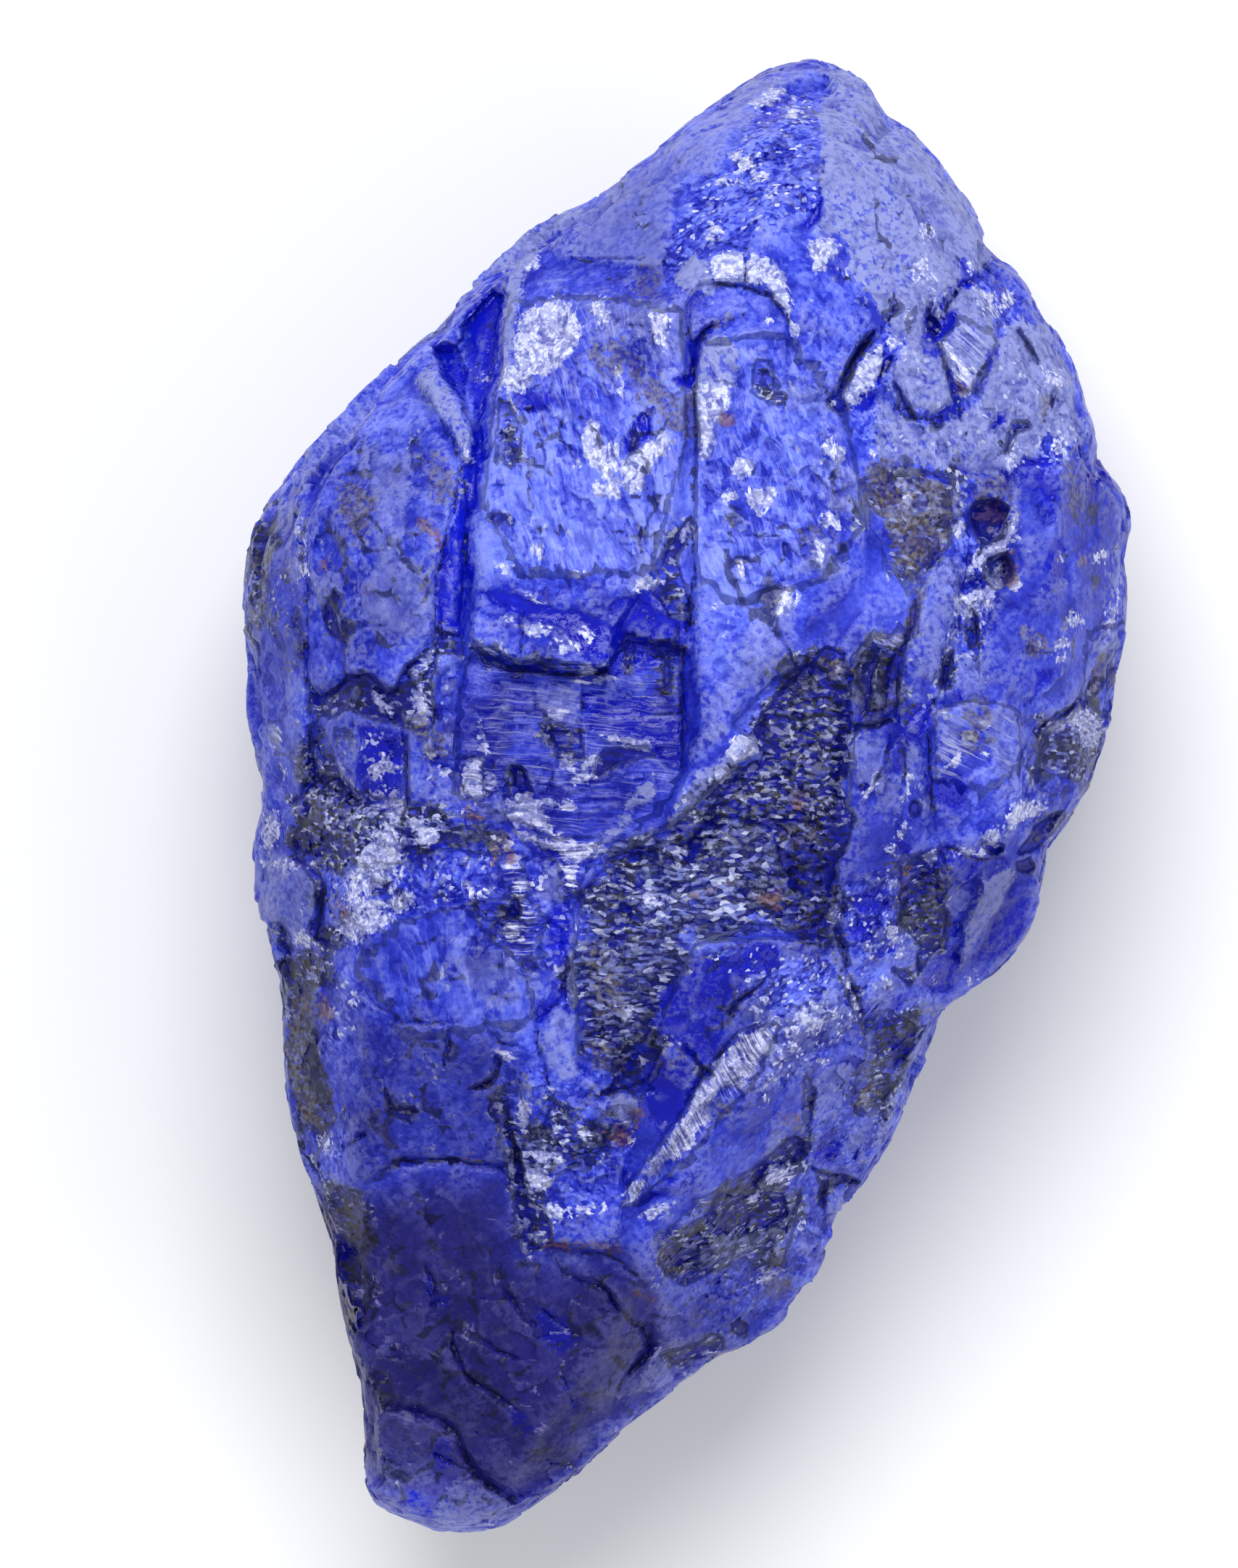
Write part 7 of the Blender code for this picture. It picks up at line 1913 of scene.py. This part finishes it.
def skin_mesh():
    """The whole skin, in millimetres, standing a little too high by REST_CUT."""
    solid = cushion()
    cut_faces(solid)
    body = bpy.data.meshes.new("body")
    solid.to_mesh(body)
    solid.free()
    skin = even_skin(body, COARSE_VOXEL)
    move_spots(skin, relief(spots_of(skin), normals_of(skin)))
    skin = even_skin(skin, FINE_VOXEL)
    move_spots(skin, fine_relief(spots_of(skin), normals_of(skin)))
    low = sum(face.center.z < BACK_BELOW for face in skin.polygons) * 2
    whole = sum(len(face.vertices) - 2 for face in skin.polygons)
    skin = thin_out(skin, whole - low + BACK_TRIANGLES, BACK_BELOW)
    skin = thin_out(skin, TRIANGLES_WANTED)
    stone = bmesh.new()
    stone.from_mesh(skin)
    cut_flat(stone, Vector((0.0, 0.0, REST_CUT)), Vector((0.0, 0.0, -1.0)))
    bmesh.ops.triangulate(stone, faces=stone.faces[:])
    bmesh.ops.recalc_face_normals(stone, faces=stone.faces[:])
    mesh = bpy.data.meshes.new("sapphire_skin")
    stone.to_mesh(mesh)
    stone.free()
    return mesh


def smoothed(mesh, spots, rounds):
    """The places of the vertices after some rounds of smoothing."""
    edges = np.empty(len(mesh.edges) * 2, dtype=np.int64)
    mesh.edges.foreach_get("vertices", edges)
    a, b = edges.reshape(-1, 2).T
    count = len(spots)
    share = np.maximum(np.bincount(a, minlength=count) + np.bincount(b, minlength=count), 1)
    smooth = spots.copy()
    for _ in range(rounds):
        around = np.column_stack([
            np.bincount(a, smooth[b, k], count) + np.bincount(b, smooth[a, k], count)
            for k in range(3)])
        smooth = SMOOTH_KEEP * smooth + (1.0 - SMOOTH_KEEP) * around / share[:, None]
    return smooth


def bulge(mesh, spots, normals, rounds):
    """How far each vertex stands out of its smoothed surroundings, in millimetres."""
    return ((spots - smoothed(mesh, spots, rounds)) * normals).sum(axis=1)


def cover_of(u, v, zones, low, high):
    """1 inside the zones, 0 outside, soft between two depths in pixels."""
    cover = np.zeros(u.shape)
    for corners in zones:
        near = window(u, v, corners, max(-low, 0.0))
        depth = depth_inside(u[near], v[near], corners)
        cover[near] = np.maximum(cover[near], smooth_step(low, high, depth))
    return cover


def store(mesh, name, values):
    kind = "FLOAT_VECTOR" if values.ndim == 2 else "FLOAT"
    made = mesh.attributes.new(name, kind, "POINT")
    made.data.foreach_set("vector" if values.ndim == 2 else "value", values.ravel())


def store_tones(mesh):
    """Work out for every vertex what the look reads there."""
    spots, normals = spots_of(mesh), normals_of(mesh)
    u, v = photo_places(spots, EDGE_WAVER * SKIN_WAVER)
    turn = np.arctan2(spots[:, 1], spots[:, 0])
    upper = smooth_step(-UPPER_BAND, UPPER_BAND, spots[:, 2] - girdle_height(turn))
    for name, loose, size, seed, level in TONES:
        front = tone_field(u, v, shapes_of(name))
        front += loose * FIELD_REACH * soft_noise(spots, FRAY_WIDTHS[0], seed + 2)
        front += FRAY_SECOND * loose * FIELD_REACH * soft_noise(spots, FRAY_WIDTHS[1], seed + 3)
        back = soft_noise(spots, size, seed)
        back += BACK_SECOND * soft_noise(spots, BACK_SECOND * size, seed + 1)
        back = np.clip((back - level) * BACK_CRISP, -1.0, 1.0)
        store(mesh, name, upper * front / FIELD_REACH + (1.0 - upper) * back)
    hidden = smooth_step(*HIDDEN_RANGE, soft_noise(spots, HIDDEN_WIDTH, HIDDEN_SEED))
    hidden *= 1.0 - upper
    scaly = np.zeros(len(spots))
    for strength, corners in SCALY:
        cover = cover_of(u, v, [corners], *SCALY_BORDER)
        scaly += (strength - scaly) * cover
    # Painted shade and painted reflection: the violet lower end.
    store(mesh, "violet_shade", cover_of(u, v, VIOLET_SHADE_ZONES, *VIOLET_SHADE_BORDER))
    streak = np.zeros(len(spots))
    # Flakes lie flat on the front and unroll down its sides.
    away = smooth_step(*UNROLL_RADII, np.hypot(spots[:, 0], spots[:, 1]))
    even = smoothed(mesh, spots, UNROLL_ROUNDS)[:, 2]
    drop = away * (even.max() - even)
    flat = np.column_stack([
        u / PX_PER_MM + np.cos(turn) * drop, v / PX_PER_MM - np.sin(turn) * drop]) / FLAKE_SIZE
    round_about = np.column_stack([turn * SIDE_RADIUS, spots[:, 2]]) / FLAKE_SIZE
    side = (np.abs(normals[:, 2]) < 0.5) & (upper < 0.9)
    flake_place = np.where(side[:, None], round_about, flat)
    seam = np.zeros(len(spots))
    for length, width, angle, strength, corners in STREAKS:
        near = window(u, v, corners, SEAM)
        depth = depth_inside(u[near], v[near], corners)
        cover = smooth_step(*STREAK_BORDER, depth)
        seam[near] = np.maximum(seam[near], smooth_step(SEAM, SEAM_CORE * SEAM, np.abs(depth)))
        along, across = turned(u[near], v[near], angle)
        turned_place = np.column_stack([along / length, across / width])
        taken = (cover > 0.0) & (upper[near] > 0.5)
        flake_place[near] = np.where(taken[:, None], turned_place, flake_place[near])
        streak[near] = np.maximum(streak[near], cover * strength)
    grit_depth = tone_field(u, v, shapes_of("grit", "dark"))
    gritty = grit_depth > 0.0
    flake_place[gritty] = flat[gritty] * GRIT_STRETCH
    seam = np.maximum(seam, smooth_step(SEAM, SEAM_CORE * SEAM, np.abs(grit_depth)))
    streak[gritty] *= GRIT_STREAK
    swing = soft_noise(spots, STREAK_WIDTH, STREAK_SEED)
    streak *= np.clip(STREAK_LEVEL + STREAK_LEVEL * swing, 0.0, 1.0)
    store(mesh, "streak", streak * upper)
    store(mesh, "scaly", (scaly * upper + HIDDEN_SCALY * hidden) * (1.0 - seam))
    calm = FLAKE_WAVER * (1.0 - STREAK_CALM * np.clip(streak, 0.0, 1.0))
    for k, width in enumerate(FLAKE_WAVER_WIDTHS):
        for side in (0, 1):
            sway = soft_noise(spots, width, FLAKE_WAVER_SEED + 10 * k + side)
            flake_place[:, side] += calm * sway * (SECOND_WAVER if k else 1.0)
    store(mesh, "flake_place", np.column_stack([flake_place, np.zeros(len(spots))]))
    tone = np.full(len(spots), TONE_LEVEL)
    for width, seed in zip(TONE_WIDTHS, TONE_SEEDS):
        tone += TONE_SWING * soft_noise(spots, width, seed)
    # Painted light and shade, added to the body's lightness.
    for strength, soft, corners in PAINTED_LIGHT_AND_SHADE:
        tone += strength * cover_of(u, v, [corners], -soft, soft)
    store(mesh, "tone", tone)
    outside = (1.0 - upper) * FIELD_REACH
    broken = BREAK_SWING * soft_noise(spots, BREAK_WIDTH, BREAK_SEED)
    jig_u, jig_v = [
        CRACK_JIG * soft_noise(spots, CRACK_JIG_WIDTH, seed) for seed in CRACK_JIG_SEEDS]
    lines = line_field(u + jig_u, v + jig_v, FINE_CRACKS, broken) - outside
    store(mesh, "crack", lines / FIELD_REACH)
    # Painted shade over the parts that lie in shade.
    dim = np.zeros(len(spots))
    for strength, soft, corners in PAINTED_SHADE:
        dim = np.maximum(dim, strength * cover_of(u, v, [corners], -soft, soft))
    store(mesh, "dim", dim)
    wide = NET_LINE * (NET_LEVEL + NET_SWING * soft_noise(spots, NET_WIDTH, NET_WIDTH_SEED))
    wide += NET_LINE * (cover_of(u, v, NETTED, *NET_BORDER) - 1.0) * NET_CLOSE
    net = np.maximum(wide - net_field(u + jig_u, v + jig_v, NET_SEED), -FIELD_REACH)
    store(mesh, "net", (net - outside) / FIELD_REACH)
    # Painted shade in hollows, and paler ridges, partly wear and partly a painted highlight.
    near_bulge, wide_bulge = [bulge(mesh, spots, normals, rounds) for rounds in BULGE_ROUNDS]
    standing_out = NARROW_BULGE * near_bulge + wide_bulge
    store(mesh, "painted_hollow_shade", smooth_step(*HOLLOW_SHADE_RANGE, -standing_out))
    store(mesh, "ridge", smooth_step(*RIDGE_RANGE, standing_out))


def dressed_stone():
    mesh = skin_mesh()
    store_tones(mesh)
    spots = spots_of(mesh)
    spots[:, 2] -= REST_CUT
    move_spots(mesh, spots * MM)
    mesh.shade_smooth()
    mesh.set_sharp_from_angle(angle=math.radians(SHARP_ANGLE))
    mesh.materials.append(stone_look())
    stone = bpy.data.objects.new("sapphire_skin", mesh)
    bpy.context.scene.collection.objects.link(stone)
    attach(stone, "root")
    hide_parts("sapphire")
    return stone


def plain_material(name, colour, roughness):
    material = bpy.data.materials.new(name)
    material.use_nodes = True
    shader = material.node_tree.nodes["Principled BSDF"]
    shader.inputs["Base Color"].default_value = (*colour, 1.0)
    shader.inputs["Roughness"].default_value = roughness
    return material


def area_light(name, spot, aim, side, power):
    lamp = bpy.data.lights.new(name, "AREA")
    lamp.shape = "DISK"
    lamp.size = side
    lamp.energy = power
    holder = bpy.data.objects.new(name, lamp)
    holder.location = spot
    holder.rotation_euler = (Vector(aim) - Vector(spot)).to_track_quat("-Z", "Y").to_euler()
    bpy.context.scene.collection.objects.link(holder)


def studio():
    floor_mesh = bpy.data.meshes.new("floor")
    plane = bmesh.new()
    bmesh.ops.create_grid(plane, x_segments=1, y_segments=1, size=FLOOR_SIZE)
    plane.to_mesh(floor_mesh)
    plane.free()
    floor_mesh.materials.append(plain_material("floor_paper", FLOOR_COLOUR, FLOOR_ROUGHNESS))
    floor = bpy.data.objects.new("floor", floor_mesh)
    bpy.context.scene.collection.objects.link(floor)
    world = bpy.data.worlds.new("soft_daylight")
    world.use_nodes = True
    background = world.node_tree.nodes["Background"]
    background.inputs["Color"].default_value = (*SKY_COLOUR, 1.0)
    background.inputs["Strength"].default_value = SKY_STRENGTH
    bpy.context.scene.world = world
    for lamp in LAMPS:
        area_light(*lamp)


def photo_camera():
    """Straight above the stone, as the photo looks straight at its face."""
    eye = bpy.data.cameras.new("photo_camera")
    eye.sensor_fit = "VERTICAL"
    eye.sensor_height = SENSOR_HEIGHT
    frame_height = PHOTO_HEIGHT / PX_PER_MM
    eye.lens = SENSOR_HEIGHT * (CAMERA_HEIGHT - GIRDLE_HEIGHT) / frame_height
    eye.clip_start, eye.clip_end = CAMERA_CLIP
    holder = bpy.data.objects.new("photo_camera", eye)
    middle_x = (PHOTO_WIDTH / 2 - CENTRE_U) / PX_PER_MM
    middle_y = (CENTRE_V - PHOTO_HEIGHT / 2) / PX_PER_MM
    holder.location = (middle_x * MM, middle_y * MM, CAMERA_HEIGHT * MM)
    bpy.context.scene.collection.objects.link(holder)
    bpy.context.scene.camera = holder


dressed_stone()
studio()
photo_camera()
bpy.context.scene.view_settings.view_transform = "Standard"
